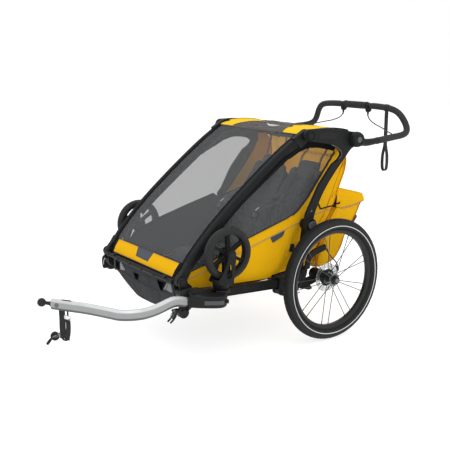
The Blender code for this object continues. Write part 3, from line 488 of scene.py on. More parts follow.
def fabric_cut(outline, regions, step, to3d, default=0):
    """Cuts flat cloth: an outline in its own plane, regions [(polygon, material number)], later ones on top, mapped to space by to3d."""
    loops = [list(map(tuple, outline))] + [list(map(tuple, r[0])) for r in regions]
    coords, edges = [], []
    for loop in loops:
        pts = []
        m = len(loop)
        for i in range(m):
            a, b = Vector(loop[i]), Vector(loop[(i + 1) % m])
            k = max(1, int((b - a).length / step))
            for j in range(k):
                pts.append(a.lerp(b, j / k))
        o = len(coords)
        coords += pts
        edges += [(o + i, o + (i + 1) % len(pts)) for i in range(len(pts))]
    xs, ys = [p[0] for p in outline], [p[1] for p in outline]
    nx, ny = int((max(xs) - min(xs)) / step) + 1, int((max(ys) - min(ys)) / (step * 0.866)) + 1
    for j in range(ny):
        for i in range(nx):
            p = (min(xs) + (i + (0.5 if j % 2 else 0.0)) * step, min(ys) + j * step * 0.866)
            if inside(p, outline):
                coords.append(Vector(p))
    vs, _, fs, *_ = delaunay_2d_cdt([Vector(c[:2]) for c in coords], edges, [], 0, step * 0.12)
    verts = [Vector(to3d(v.x, v.y)) for v in vs]
    faces, mats = [], []
    for f in fs:
        c = sum((vs[i] for i in f), Vector((0, 0))) / len(f)
        if not inside(c, outline):
            continue
        m = default
        for poly, mm in regions:
            if inside(c, poly):
                m = mm
        if m is None:
            continue
        faces.append(tuple(f))
        mats.append(m)
    return (verts, faces), mats


def along_pillar(u, n):
    return (P1[0] + u * math.cos(PILLAR_A) - n * math.sin(PILLAR_A), P1[1] + u * math.sin(PILLAR_A) + n * math.cos(PILLAR_A))


UP_FINE = [tuple(p) for p in curve_through(UPPER, 6)]
LO_FINE = [tuple(p) for p in curve_through(LOWER, 6)]


def height(line, u):
    if u <= line[0][0]:
        return line[0][1]
    for a, b in zip(line, line[1:]):
        if u <= b[0]:
            return a[1] + (b[1] - a[1]) * max(0.0, u - a[0]) / (b[0] - a[0])
    return line[-1][1]


def wave(x, *terms):
    """A sum of sines: (size, wavelength, phase)."""
    return sum(a * math.sin(2 * math.pi * x / l + p) for a, l, p in terms)


def lump(p, scale, seed=0.0):
    return noise.noise(Vector((p[0] / scale + seed, p[1] / scale, p[2] / scale)))


# ---------------------------------------------------------------- materials


class Shade:
    """A Principled material with node helpers. Uniform values go on the shader's own sockets."""

    def __init__(self, name, rough=0.5, metal=0.0, spec=0.5, alpha=1.0, sheen=0.0, sheen_tint=(1, 1, 1), coat=0.0, coat_rough=0.2, aniso=0.0):
        self.m = bpy.data.materials.new(name)
        self.m.use_nodes = True
        self.nt = self.m.node_tree
        self.p = self.nt.nodes["Principled BSDF"]
        i = self.p.inputs
        i["Roughness"].default_value = rough
        i["Metallic"].default_value = metal
        i["Specular IOR Level"].default_value = spec
        i["Alpha"].default_value = alpha
        i["Sheen Weight"].default_value = sheen
        i["Sheen Tint"].default_value = (*sheen_tint, 1)
        i["Coat Weight"].default_value = coat
        i["Coat Roughness"].default_value = coat_rough
        i["Anisotropic"].default_value = aniso
        self.rough = rough
        self.tc = self.nt.nodes.new("ShaderNodeTexCoord").outputs["Object"]

    def node(self, kind, **props):
        n = self.nt.nodes.new(kind)
        for k, v in props.items():
            setattr(n, k, v)
        return n

    def link(self, a, b):
        self.nt.links.new(a, b)

    def noise(self, scale, detail=3.0, rough=0.55, stretch=None, distort=0.0):
        n = self.node("ShaderNodeTexNoise")
        n.inputs["Scale"].default_value = scale
        n.inputs["Detail"].default_value = detail
        n.inputs["Roughness"].default_value = rough
        n.inputs["Distortion"].default_value = distort
        if stretch:
            mp = self.node("ShaderNodeMapping")
            mp.inputs["Scale"].default_value = stretch
            self.link(self.tc, mp.inputs["Vector"])
            self.link(mp.outputs["Vector"], n.inputs["Vector"])
        else:
            self.link(self.tc, n.inputs["Vector"])
        return n.outputs["Fac"]

    def math(self, op, a, b=None):
        n = self.node("ShaderNodeMath", operation=op)
        for k, v in ((0, a), (1, b)):
            if v is None:
                continue
            if isinstance(v, (int, float)):
                n.inputs[k].default_value = v
            else:
                self.link(v, n.inputs[k])
        return n.outputs[0]

    def ramp(self, fac, lo, hi, a, b):
        n = self.node("ShaderNodeMapRange")
        n.inputs["From Min"].default_value = lo
        n.inputs["From Max"].default_value = hi
        n.inputs["To Min"].default_value = a
        n.inputs["To Max"].default_value = b
        self.link(fac, n.inputs["Value"])
        return n.outputs["Result"]

    def mix(self, fac, a, b):
        n = self.node("ShaderNodeMix", data_type="RGBA")
        self.link(fac, n.inputs[0])
        for k, v in ((6, a), (7, b)):
            if isinstance(v, tuple):
                n.inputs[k].default_value = (*v, 1)
            else:
                self.link(v, n.inputs[k])
        return n.outputs[2]

    def line(self, direction, period, sharp=False):
        """A sine across direction with that period in metres."""
        d = self.node("ShaderNodeVectorMath", operation="DOT_PRODUCT")
        d.inputs[1].default_value = Vector(direction).normalized()
        self.link(self.tc, d.inputs[0])
        s = self.math("SINE", self.math("MULTIPLY", d.outputs["Value"], 2 * math.pi / period))
        return s

    def bump(self, height, strength, distance, after=None):
        n = self.node("ShaderNodeBump")
        n.inputs["Strength"].default_value = strength
        n.inputs["Distance"].default_value = distance
        self.link(height, n.inputs["Height"])
        if after:
            self.link(after, n.inputs["Normal"])
        return n.outputs["Normal"]

    def edge(self, lo=0.52, hi=0.62):
        g = self.node("ShaderNodeNewGeometry")
        return self.ramp(g.outputs["Pointiness"], lo, hi, 0.0, 1.0)

    def set(self, colour=None, rough=None, normal=None, alpha=None):
        for name, v in (("Base Color", colour), ("Roughness", rough), ("Normal", normal), ("Alpha", alpha)):
            if v is None:
                continue
            if isinstance(v, tuple):
                self.p.inputs[name].default_value = (*v, 1)
            elif isinstance(v, (int, float)):
                self.p.inputs[name].default_value = v
            else:
                self.link(v, self.p.inputs[name])
        return self.m


def tone(c, k):
    return tuple(min(1.0, x * k) for x in c)


def moulded(name, colour, rough=0.5, spec=0.35, grain=900.0, depth=0.00025, wear=1.9, metal=0.0, var=0.16, coat=0.0):
    """Grained moulding or satin paint: mottled colour, uneven gloss, fine grain, worn edges."""
    s = Shade(name, rough, metal, spec, coat=coat)
    body = s.mix(s.noise(22, 4), tone(colour, 1 - var), tone(colour, 1 + var))
    worn = s.math("MULTIPLY", s.edge(), s.ramp(s.noise(65, 3), 0.4, 0.65, 0.15, 1.0))
    col = s.mix(worn, body, tone(colour, wear))
    rg = s.ramp(s.noise(38, 5), 0.3, 0.7, rough - 0.07, rough + 0.08)
    n = s.bump(s.noise(grain, 2), 0.22, depth)
    return s.set(col, rg, n)


def woven(name, colour, d1, d2, pitch=0.0011, rough=0.82, sheen=0.12, var=0.10, wrinkle=0.25, dark=0.82, spec=0.25, wscale=9.0, alpha=1.0):
    """Plain-weave cloth along two directions, with slow creases under it."""
    s = Shade(name, rough, 0.0, spec, alpha=alpha, sheen=sheen)
    a, b = s.line(d1, pitch), s.line(d2, pitch)
    yarn = s.math("MULTIPLY", a, b)
    slow = s.noise(wscale, 3, 0.5, distort=0.6)
    body = s.mix(s.noise(5.5, 4), tone(colour, 1 - var), tone(colour, 1 + var))
    col = s.mix(s.ramp(yarn, -1, 1, 0.0, 1.0), body, tone(colour, dark))
    rg = s.ramp(s.noise(30, 4), 0.3, 0.7, rough - 0.06, rough + 0.07)
    n1 = s.bump(slow, wrinkle, 0.010)
    n2 = s.bump(yarn, 0.28, 0.00022, n1)
    return s.set(col, rg, n2)


def netting(name, colour, d1, d2, pitch=0.0016, alpha=0.47, rough=0.75):
    s = Shade(name, rough, 0.0, 0.2, alpha=alpha)
    a, b = s.line(d1, pitch), s.line(d2, pitch)
    holes = s.math("MAXIMUM", a, b)
    col = s.mix(s.ramp(holes, -0.6, 1, 0.0, 1.0), tone(colour, 0.72), tone(colour, 1.16))
    n1 = s.bump(s.noise(6.0, 2), 0.12, 0.008)
    n2 = s.bump(holes, 0.35, 0.0003, n1)
    return s.set(col, s.ramp(s.noise(24, 3), 0.3, 0.7, rough - 0.05, rough + 0.06), n2)


def webbing(name, colour, along, rough=0.75, pitch=0.0018):
    """Strap weave: ribs across, lines along."""
    s = Shade(name, rough, 0.0, 0.25, sheen=0.1)
    a = Vector(along).normalized()
    other = frame_of(a)[1]
    ribs = s.line(a, pitch)
    cols = s.line(other, pitch * 1.4)
    h = s.math("ADD", ribs, s.math("MULTIPLY", cols, 0.6))
    col = s.mix(s.ramp(h, -1.6, 1.6, 0, 1), tone(colour, 0.7), tone(colour, 1.35))
    return s.set(col, s.ramp(s.noise(60, 3), 0.3, 0.7, rough - 0.06, rough + 0.08), s.bump(h, 0.5, 0.0003))


def alloy(name, colour, rough, stretch=(8, 300, 300), metal=1.0, spec=0.5, coat=0.0):
    """Brushed or anodised metal with fine drawn lines and small scuffs."""
    s = Shade(name, rough, metal, spec, coat=coat, aniso=0.3)
    lines = s.noise(3.0, 4, 0.6, stretch=stretch)
    scuff = s.noise(26, 5, 0.7)
    col = s.mix(s.ramp(scuff, 0.35, 0.75, 0, 1), tone(colour, 1.03), tone(colour, 0.86))
    rg = s.math("ADD", s.ramp(lines, 0.3, 0.7, rough - 0.06, rough + 0.06), s.ramp(scuff, 0.5, 0.8, 0.0, 0.06))
    return s.set(col, rg, s.bump(lines, 0.10, 0.0002))


def lit_through(mat, colour, share):
    """Lets part of the light that falls on the far face of a thin cloth show on this one."""
    nt = mat.node_tree
    out = next(n for n in nt.nodes if n.type == "OUTPUT_MATERIAL")
    face = next(n for n in nt.nodes if n.type == "BSDF_PRINCIPLED")
    glow = nt.nodes.new("ShaderNodeBsdfTranslucent")
    glow.inputs["Color"].default_value = (*colour, 1)
    both = nt.nodes.new("ShaderNodeMixShader")
    both.inputs[0].default_value = share
    nt.links.new(face.outputs[0], both.inputs[1])
    nt.links.new(glow.outputs[0], both.inputs[2])
    nt.links.new(both.outputs[0], out.inputs["Surface"])
    return mat


def cured_rubber(name, side, tread, rough):
    """Tyre rubber: lighter on the sidewalls and darker across the tread."""
    s = Shade(name, rough, 0.0, 0.16)
    g = s.node("ShaderNodeNewGeometry")
    sep = s.node("ShaderNodeSeparateXYZ")
    s.link(g.outputs["Normal"], sep.inputs[0])
    flank = s.ramp(s.math("MULTIPLY", sep.outputs["X"], sep.outputs["X"]), 0.20, 0.72, 0.0, 1.0)
    col = s.mix(flank, tread, side)
    rg = s.ramp(s.noise(38, 5), 0.3, 0.7, rough - 0.07, rough + 0.08)
    return s.set(col, rg, s.bump(s.noise(700, 2), 0.22, 0.0004))


def extruded(name, colour, rough):
    """Satin anodised extrusion: fine drawn lines, and painted shade that darkens a face as it turns down."""
    s = Shade(name, rough, 0.85, 0.5, aniso=0.2)
    g = s.node("ShaderNodeNewGeometry")
    sep = s.node("ShaderNodeSeparateXYZ")
    s.link(g.outputs["Normal"], sep.inputs[0])
    # painted shade: the colour darkens towards down-facing faces, in place of the shade and dim floor seen under the
    # arm
    down = s.ramp(sep.outputs["Z"], -0.55, 0.80, 0.0, 1.0)
    lines = s.noise(3.0, 4, 0.6, stretch=(14, 14, 320))
    scuff = s.noise(26, 5, 0.7)
    face = s.mix(s.ramp(scuff, 0.35, 0.75, 0, 1), tone(colour, 1.12), tone(colour, 1.02))
    col = s.mix(down, tone(colour, 0.20), face)
    rg = s.math("ADD", s.ramp(lines, 0.3, 0.7, rough - 0.05, rough + 0.05), s.ramp(scuff, 0.5, 0.8, 0.0, 0.05))
    return s.set(col, rg, s.bump(lines, 0.08, 0.0002))


def prismatic(name, colour, rough=0.18, pitch=0.004):
    """Reflector: a lattice of small prisms under a clear face."""
    s = Shade(name, rough, 0.0, 0.5, coat=1.0, coat_rough=0.06)
    v = s.node("ShaderNodeTexVoronoi")
    v.inputs["Scale"].default_value = 1 / pitch
    v.inputs["Randomness"].default_value = 0.0
    s.link(s.tc, v.inputs["Vector"])
    col = s.mix(s.ramp(v.outputs["Distance"], 0.0, 0.7, 0, 1), tone(colour, 1.5), tone(colour, 0.6))
    return s.set(col, s.ramp(s.noise(50, 2), 0.3, 0.7, rough - 0.04, rough + 0.08), s.bump(v.outputs["Distance"], 0.6, 0.001))


X, Y, Z = Vector((1, 0, 0)), Vector((0, 1, 0)), Vector((0, 0, 1))
SLOPE = Vector((0, math.cos(PILLAR_A), math.sin(PILLAR_A)))
YELLOW = (0.85, 0.455, 0.003)
CHARCOAL = (0.060, 0.063, 0.066)

M_FRAME = moulded("satin_black_paint", (0.0085, 0.009, 0.0095), 0.44, 0.12, 1400, 0.00012, 2.2)
M_PLASTIC = moulded("black_moulding", (0.0095, 0.010, 0.0105), 0.50, 0.16, 950, 0.00025, 2.2)
M_PLASTIC_S = moulded("black_moulding_smooth", (0.0105, 0.011, 0.0115), 0.34, 0.18, 1600, 0.0001, 2.0)
M_PLASTIC_G = moulded("grey_moulding", (0.075, 0.078, 0.082), 0.42, 0.4, 1000, 0.0002, 1.5)
M_FOAM = moulded("grip_foam", (0.032, 0.0328, 0.0332), 0.82, 0.2, 420, 0.0006, 1.2, var=0.2)
M_RUBBER = cured_rubber("tyre_rubber", (0.0195, 0.0202, 0.0206), (0.0085, 0.0088, 0.0090), 0.66)
M_RUBBER_S = moulded("caster_rubber", (0.016, 0.0165, 0.017), 0.62, 0.25, 800, 0.0003, 1.6, var=0.2)
M_RING = moulded("reflective_ring", (0.62, 0.63, 0.63), 0.38, 0.5, 1200, 0.0002, 1.05, var=0.05)
M_RIM = alloy("black_anodised", (0.020, 0.0205, 0.022), 0.36, (300, 8, 8), 0.55)
M_SPOKE = alloy("spoke_steel", (0.20, 0.205, 0.21), 0.32, (6, 6, 6))
M_WIRE = alloy("spoke_wire", (0.075, 0.078, 0.081), 0.36, (6, 6, 6))
M_STEEL = alloy("bright_steel", (0.66, 0.67, 0.68), 0.25, (60, 60, 60))
M_DARK_STEEL = alloy("dark_steel", (0.16, 0.165, 0.17), 0.34, (60, 60, 60))
# the arm's alloy carries painted shade on its down-facing faces
M_ALU = extruded("anodised_aluminium", (0.58, 0.592, 0.597), 0.44)
M_CAP = moulded("light_grey_moulding", (0.17, 0.175, 0.18), 0.42, 0.4, 1000, 0.0002, 1.3)
# painted highlight: pale grey moulding that stands for light caught on the rim of the bracket's opening
M_RIM_HIGHLIGHT = moulded("painted_rim_highlight", (0.20, 0.205, 0.21), 0.4, 0.4, 1400, 0.0001, 1.2)
M_CABLE = moulded("cable_jacket", (0.010, 0.0105, 0.011), 0.4, 0.35, 1500, 0.0001, 1.4)
M_WEB = webbing("black_webbing", (0.016, 0.0165, 0.018), Z)
M_WEB_X = webbing("harness_webbing", (0.030, 0.031, 0.033), Z)
M_REFLECT = moulded("slate_reflector", (0.048, 0.052, 0.057), 0.26, 0.4, 1400, 0.0001, 1.1, var=0.08, coat=0.2)
M_RED = prismatic("red_reflector", (0.42, 0.01, 0.012), 0.2)

SIDE = woven("yellow_side_cloth", YELLOW, Y, Z, wrinkle=0.22, spec=0.10, sheen=0.0)
FRONT = woven("yellow_front_cloth", YELLOW, X, SLOPE, wrinkle=0.16, spec=0.10, sheen=0.0)
ROOF = woven("yellow_roof_cloth", (0.90, 0.56, 0.008), X, Y, wrinkle=0.18, spec=0.10, sheen=0.0)
BAG = woven("yellow_bag_cloth", YELLOW, X, Z, wrinkle=0.3, spec=0.10, sheen=0.0)
NAVY = woven("navy_binding", (0.012, 0.016, 0.030), SLOPE, X, pitch=0.0009, wrinkle=0.05, rough=0.7)
DARK_CLOTH = woven("charcoal_cloth", (0.042, 0.0435, 0.0455), X, Z, wrinkle=0.2, spec=0.1, sheen=0.02)
BLACK_CLOTH = woven("black_cloth", (0.0085, 0.0088, 0.0098), X, Z, wrinkle=0.12, spec=0.08, sheen=0.0)
PATCH = woven("bare_patch", (0.050, 0.060, 0.078), X, SLOPE, pitch=0.0008, wrinkle=0.03, rough=0.6)
GREY_PIPE = woven("grey_reflective_piping", (0.30, 0.30, 0.285), Y, Z, pitch=0.0008, wrinkle=0.0, rough=0.45, sheen=0.0)
THREAD = woven("yellow_thread", (0.80, 0.36, 0.02), Y, Z, pitch=0.0006, wrinkle=0.0)
THREAD_DARK = woven("brown_thread", (0.13, 0.065, 0.012), X, Y, pitch=0.0006, wrinkle=0.0)
NET_FRONT = netting("front_netting", (0.135, 0.139, 0.142), X, SLOPE)
NET_SIDE = netting("side_netting", (0.135, 0.139, 0.142), Y, Z)
NET_ROOF = netting("roof_netting", (0.185, 0.182, 0.184), X, Y, alpha=0.50)
SEAT = woven("seat_cloth", (0.090, 0.093, 0.096), X, Z, pitch=0.0014, wrinkle=0.08, rough=0.92, spec=0.1, sheen=0.05, wscale=9)
SEAT_EDGE = woven("seat_binding", (0.030, 0.031, 0.033), X, Z, pitch=0.001, wrinkle=0.0)
TAB = woven("reflective_tab", (0.62, 0.62, 0.62), X, Z, pitch=0.0008, wrinkle=0.0, rough=0.4, sheen=0.0)
CORD_M = moulded("elastic_cord", (0.012, 0.013, 0.018), 0.7, 0.2, 1800, 0.0003, 1.3)

# ---------------------------------------------------------------- cords


def cord(name, points, r, body, mat, stands_for, exit_at):
    """A round cord: a curve along its route. The tapered sleeves at its ends are built beside it as their own pieces.
    """
    cu = bpy.data.curves.new(name, "CURVE")
    cu.dimensions = "3D"
    cu.bevel_depth = r
    cu.bevel_resolution = 4
    cu.use_fill_caps = True
    sp = cu.splines.new("POLY")
    sp.points.add(len(points) - 1)
    for p, q in zip(sp.points, points):
        p.co = (q[0], q[1] + AXLE_Y, q[2], 1)
    cu.materials.append(mat)
    ob = bpy.data.objects.new(name, cu)
    scene.collection.objects.link(ob)
    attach(ob, body)
    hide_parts(stands_for)
    return ob


HAND_CABLE = [
    (0.0795, 0.4570, 0.8795), (0.0815, 0.4555, 0.8690), (0.0980, 0.4520, 0.8520), (0.1350, 0.4450, 0.8370), (0.1850, 0.4340, 0.8260),
    (0.2400, 0.4180, 0.8130), (0.2820, 0.4080, 0.8040), (0.2980, 0.4040, 0.8020)]
CALIPER_CABLE = [(0.3225, -0.0010, 0.3700), (0.3225, 0.0040, 0.3640), (0.3232, 0.0157, 0.3480), (0.3240, 0.0330, 0.3270), (0.3248, 0.0500, 0.3110), (0.3255, 0.0600, 0.2990), (0.3255, 0.0640, 0.2900)]
for s, side in ((1, "left"), (-1, "right")):
    pts = [Vector((p.x * s, p.y, p.z)) for p in curve_through(HAND_CABLE, 4)]
    d0 = (pts[1] - pts[0]).normalized()
    end = Part().add(tube([pts[0] - d0 * 0.002, pts[0] + d0 * 0.006, pts[0] + d0 * 0.013], lambda t: 0.0042 - 0.0014 * t, 12))
    d1 = (pts[-1] - pts[-2]).normalized()
    end.add(tube([pts[-1] - d1 * 0.012, pts[-1] - d1 * 0.004, pts[-1] + d1 * 0.001], lambda t: 0.0028 + 0.0016 * t, 12))
    ends = piece("hand_cable_ends_" + side, end, M_CABLE, "handlebar", "cable_rubber")
    cord("hand_cable_" + side, pts, 0.0025, "handlebar", M_CABLE, "brake_cable_" + side, pts[0])
    pts = [Vector((p.x * s, p.y, p.z)) for p in curve_through(CALIPER_CABLE, 3)]
    d0 = (pts[1] - pts[0]).normalized()
    end = Part().add(tube([pts[0] - d0 * 0.004, pts[0] + d0 * 0.004, pts[0] + d0 * 0.014], lambda t: 0.0042 - 0.0015 * t, 12))
    ends = piece("wheel_cable_ends_" + side, end, M_CABLE, "suspension_" + side, "cable_rubber")
    cord("wheel_cable_" + side, pts, 0.0025, "suspension_" + side, M_CABLE, "caliper_cable_" + side, pts[0])


def wrist_strap():
    """Webbing doubled at the top, sewn together, and opening into the hand loop."""
    y, x, top, split, low = 0.4590, 0.1900, 0.8900, 0.7550, 0.6320
    out = Part()
    loop = [(x - 0.0021, y, top), (x - 0.0021, y, 0.84), (x - 0.0021, y, 0.80), (x - 0.0022, y, split), (x - 0.0050, y, split - 0.018), (x - 0.0118, y, split - 0.045), (x - 0.0140, y, split - 0.070),
            (x - 0.0138, y, low + 0.028), (x - 0.0100, y, low + 0.008), (x, y, low + 0.0012), (x + 0.0100, y, low + 0.008), (x + 0.0138, y, low + 0.028), (x + 0.0140, y, split - 0.070),
            (x + 0.0118, y, split - 0.045), (x + 0.0050, y, split - 0.018), (x + 0.0022, y, split), (x + 0.0021, y, 0.80), (x + 0.0021, y, 0.84), (x + 0.0021, y, top)]
    path = curve_through(loop, 5)
    out.add(sweep(path, [(b, a) for a, b in strap_section(0.0180, 0.0020)], up=(0, 1, 0)), 0)
    # bar tacks where the two layers are sewn together
    for z in (split + 0.003, split + 0.012, 0.872):
        for k in range(7):
            yy = y - 0.0070 + 0.0140 * k / 6
            out.add(tube([(x - 0.0036, yy, z - 0.0014), (x - 0.0036, yy + 0.001, z + 0.0014)], 0.00035, 6), 1)
            out.add(tube([(x + 0.0036, yy, z - 0.0014), (x + 0.0036, yy + 0.001, z + 0.0014)], 0.00035, 6), 1)
    ob = piece("wrist_loop", out, [M_WEB, CORD_M], "handlebar", "webbing", ["wrist_strap"], weighted=False)
    mid = [Vector((x, y, z)) for z in (top, 0.86, 0.83, 0.80, split)]
    inner = [Vector(p) for p in loop[4:15]]
    line = mid + [p for p in curve_through([Vector((x - 0.0022, y, split - 0.004))] + inner + [Vector((x + 0.0022, y, split - 0.006))], 3)]
    line = [Vector((p.x, p.y + AXLE_Y, p.z)) for p in line]
    return ob


wrist_strap()

# ---------------------------------------------------------------- floor, world and light
world = bpy.data.worlds.new("studio")
scene.world = world
world.use_nodes = True
world.node_tree.nodes["Background"].inputs["Color"].default_value = (1, 1, 1, 1)
world.node_tree.nodes["Background"].inputs["Strength"].default_value = 1.0


def floor():
    """A large pale studio floor that ends in a faint rounded lip."""
    s = Shade("studio_floor", 0.9, 0.0, 0.0)
    s.p.inputs["Emission Color"].default_value = (1, 1, 1, 1)
    s.p.inputs["Emission Strength"].default_value = 0.75
    col = s.mix(s.noise(1.4, 3), (0.43, 0.43, 0.43), (0.45, 0.45, 0.45))
    m = s.set(col, s.ramp(s.noise(9, 2), 0.3, 0.7, 0.86, 0.94), s.bump(s.noise(60, 2), 0.02, 0.0005))
    part = Part().add(stack([(-14 * math.cos(t), 14 * math.sin(t)) for t in (2 * math.pi * k / 64 for k in range(64))], [(-0.02, 0.0), (-0.004, 0.0), (-0.0004, -0.02)]))
    me = mesh_of("studio_floor", part, [m])
    ob = bpy.data.objects.new("studio_floor", me)
    scene.collection.objects.link(ob)
    return ob


floor()


def area_light(name, at, aim, size, watts, colour=(1, 1, 1)):
    d = bpy.data.lights.new(name, "AREA")
    d.shape = "RECTANGLE"
    d.size, d.size_y = size
    d.energy = watts
    d.color = colour
    o = bpy.data.objects.new(name, d)
    scene.collection.objects.link(o)
    o.location = Vector(at)
    o.rotation_euler = (Vector(at) - Vector(aim)).to_track_quat("Z", "Y").to_euler()
    return o


area_light("key_softbox", (1.9, -1.3, 3.1), (0, 0, 0.4), (3.4, 2.8), 26)
area_light("top_softbox", (-0.4, 0.6, 3.4), (0, 0, 0.4), (3.6, 3.6), 16)
scene.view_settings.view_transform = "Standard"
scene.view_settings.look = "None"

# ---------------------------------------------------------------- wheels
SIDES = ("left", "right")


def bodies(stem):
    return (stem + "_left", stem + "_right")


def tyre():
    c = (WHEEL_X, 0, WHEEL_R)
    segs = 216
    prof, kinds = [], []
    for t in (-152, -140, -125, -110, -96, -84, -72, -62, -52, -44, -37, -30, -23, -19, -17, -13, -9, -7, -3, 0, 3, 7, 9, 13, 17, 19, 23, 30, 37, 44, 52, 62, 72, 84, 96, 110, 125, 140, 152):
        a = math.radians(t)
        r = TYRE_R * (1.0 - (0.035 if abs(t) in (8, 9, 7) else 0.0))
        if abs(t) in (17, 18, 19):
            r = TYRE_R * 0.975
        prof.append((r * math.sin(a), max(0.2036, WHEEL_R - TYRE_R + r * math.cos(a))))
        kinds.append(abs(t))

    def cut(i, t, r):
        k = int(round(t / (2 * math.pi) * segs))
        if kinds[i] in (37, 44, 52) and k % 6 == 0:
            return r - 0.0009
        if kinds[i] in (23, 30) and k % 6 == 3:
            return r - 0.0006
        return r

    out = Part().add(lathe(prof, c, (1, 0, 0), segs, ring=True, mod=cut), 0)
    for s in (1, -1):
        band = []
        for r in (0.2208, 0.2212, 0.2222, 0.2232, 0.2238, 0.2242):
            x = math.sqrt(TYRE_R ** 2 - (r - (WHEEL_R - TYRE_R)) ** 2)
            lift = 0.00035 if 0.2210 < r < 0.2240 else -0.0003
            band.append((s * (x + lift), r))
        out.add(lathe(band, c, (1, 0, 0), 144), 1)
        lip = [(s * 0.0136, 0.2036), (s * 0.0150, 0.2052), (s * 0.0158, 0.2075), (s * 0.0172, 0.2080)]
        out.add(lathe(lip, c, (1, 0, 0), 120), 0)
    return out


pair("tyre", tyre, [M_RUBBER, M_RING], bodies("wheel"), "tyre_rubber", ["tyre"])


def rim():
    c = (WHEEL_X, 0, WHEEL_R)
    prof = [(-0.0128, 0.2030), (-0.0118, 0.2036), (-0.0104, 0.2028), (-0.0100, 0.1990), (0.0100, 0.1990), (0.0104, 0.2028), (0.0118, 0.2036), (0.0128, 0.2030), (0.0130, 0.2000), (0.0126, 0.1968),
            (0.0118, 0.1958), (0.0098, 0.1920), (0.0076, 0.1898), (0.0040, 0.1890), (-0.0040, 0.1890), (-0.0076, 0.1898), (-0.0098, 0.1920), (-0.0118, 0.1958), (-0.0126, 0.1968), (-0.0130, 0.2000)]
    out = Part().add(lathe(prof, c, (1, 0, 0), 144, ring=True), 0)
    for k in range(9):
        for sgn in (-1, 1):
            a = math.radians(19.7 + 40 * k + sgn * 4.9)
            d = Vector((0.0, math.cos(a), math.sin(a)))
            lean = Vector((0.06 * (1 if sgn > 0 else -1), 0, 0))
            p = Vector(c) + Vector((0.002 * sgn, 0, 0)) + d * 0.1896
            q = p - d * 0.0115 + lean * 0.0115
            out.add(tube([p, p - d * 0.002, q + d * 0.001, q], lambda t: 0.0021 if t < 0.8 else 0.0017, 8), 1)
            out.add(tube([p + d * 0.0006, p - d * 0.0012], 0.0030, 10), 0)
    return out


pair("rim", rim, [M_RIM, M_SPOKE], bodies("wheel"), "rim_alloy", ["rim"], angle=30)


def hub():
    out = Part()
    shell = [(0.3230, 0.0068), (0.3230, 0.0155), (0.3245, 0.0165), (0.3366, 0.0165), (0.3390, 0.0200), (0.3425, 0.0200), (0.3445, 0.0150), (0.3480, 0.0138), (0.3700, 0.0138), (0.3735, 0.0150), (0.3755, 0.0200), (0.3800, 0.0200),
             (0.3815, 0.0175), (0.3925, 0.0150), (0.3940, 0.0144), (0.3945, 0.0130), (0.3945, 0.0098), (0.3745, 0.0096), (0.3745, 0.0068)]
    out.add(lathe(shell, (0, 0, WHEEL_R), (1, 0, 0), 56, ring=True), 0)
    cup = [(0.3341, 0.0168), (0.3341, 0.0352), (0.3352, 0.0358), (0.3364, 0.0350), (0.3376, 0.0305), (0.3386, 0.0262), (0.3386, 0.0168)]
    out.add(lathe(cup, (0, 0, WHEEL_R), (1, 0, 0), 64, ring=True), 2)
    for x, r, ph in ((0.3405, 0.0248, -4.9), (0.3777, 0.0272, 4.9)):
        def lobe(i, t, rr, ph=ph):
            return rr * (1.0 + (0.075 * math.cos(9 * (t - math.radians(19.7 + ph))) if i in (1, 2) else 0.0))
        # the lathe's angle starts at +Y and goes to +Z
        out.add(lathe([(x - 0.0019, 0.0130), (x - 0.0014, r - 0.0006), (x + 0.0014, r - 0.0006), (x + 0.0019, 0.0130)], (0, 0, WHEEL_R), (1, 0, 0), 108, ring=True, mod=lobe), 1)
    for k in range(9):
        for sgn in (-1, 1):
            a = math.radians(19.7 + 40 * k + sgn * 4.9)
            x = 0.3777 if sgn > 0 else 0.3405
            d = Vector((0, math.cos(a), math.sin(a)))
            c = Vector((0, 0, WHEEL_R))
            p = c + Vector((x, 0, 0)) + d * 0.0215
            q = c + Vector((WHEEL_X + 0.002 * sgn, 0, 0)) + d * 0.1860
            out.add(tube([p, p.lerp(q, 0.08), p.lerp(q, 0.5), q], 0.00155, 8), 3)
            out.add(turned([(-0.0024, 0), (-0.0024, 0.0024), (0.0024, 0.0024), (0.0024, 0)], p, (1, 0, 0), 10, 0.0004), 1)
    return out


pair("hub", hub, [M_RIM, M_SPOKE, M_PLASTIC_S, M_WIRE], bodies("wheel"), "hub_alloy", ["hub"], angle=32)


def disc():
    n = 120
    outer = [((0.0600 - 0.0006 - 0.0006 * math.cos(12 * t)) * math.cos(t), WHEEL_R + (0.0594 - 0.0006 * math.cos(12 * t)) * math.sin(t)) for t in (2 * math.pi * k / n for k in range(n))]
    holes = [circle((0, WHEEL_R), 0.0180, 36)]
    for k in range(6):
        a0, a1 = 60 * k + 9, 60 * k + 51
        inner, outr = arc((0, WHEEL_R), 0.0260, a0 + 8, a1 - 2, 6), arc((0, WHEEL_R), 0.0400, a1, a0 + 4, 8)
        holes.append(rounded(inner + outr, 0.0025, 2))
    for k in range(24):
        a = math.radians(15 * k + 4)
        r = (0.0455, 0.0500, 0.0545)[k % 3]
        for rr in ((0.0460, 0.0548) if k % 2 else (0.0503,)):
            holes.append(circle((rr * math.cos(a), WHEEL_R + rr * math.sin(a)), 0.0021, 10))
    out = Part().add(plate(outer, 0.3316, 0.3334, holes, 0.0002, 1), 0)
    out.add(turned([(0.3290, 0.0168), (0.3290, 0.0225), (0.3316, 0.0225), (0.3338, 0.0225), (0.3338, 0.0168)], (0, 0, WHEEL_R), segs=40), 1)
    for k in range(6):
        a = math.radians(60 * k)
        c = (0, 0.0200 * math.cos(a), WHEEL_R + 0.0200 * math.sin(a))
        out.add(turned([(0.3334, 0), (0.3334, 0.0024), (0.3352, 0.0024), (0.3352, 0.0012), (0.3344, 0.0012), (0.3344, 0)], c, segs=12, soft=0.0003), 1)
    return out


pair("brake_disc", disc, [M_STEEL, M_DARK_STEEL], bodies("wheel"), "disc_steel", ["brake_disc"], angle=30)


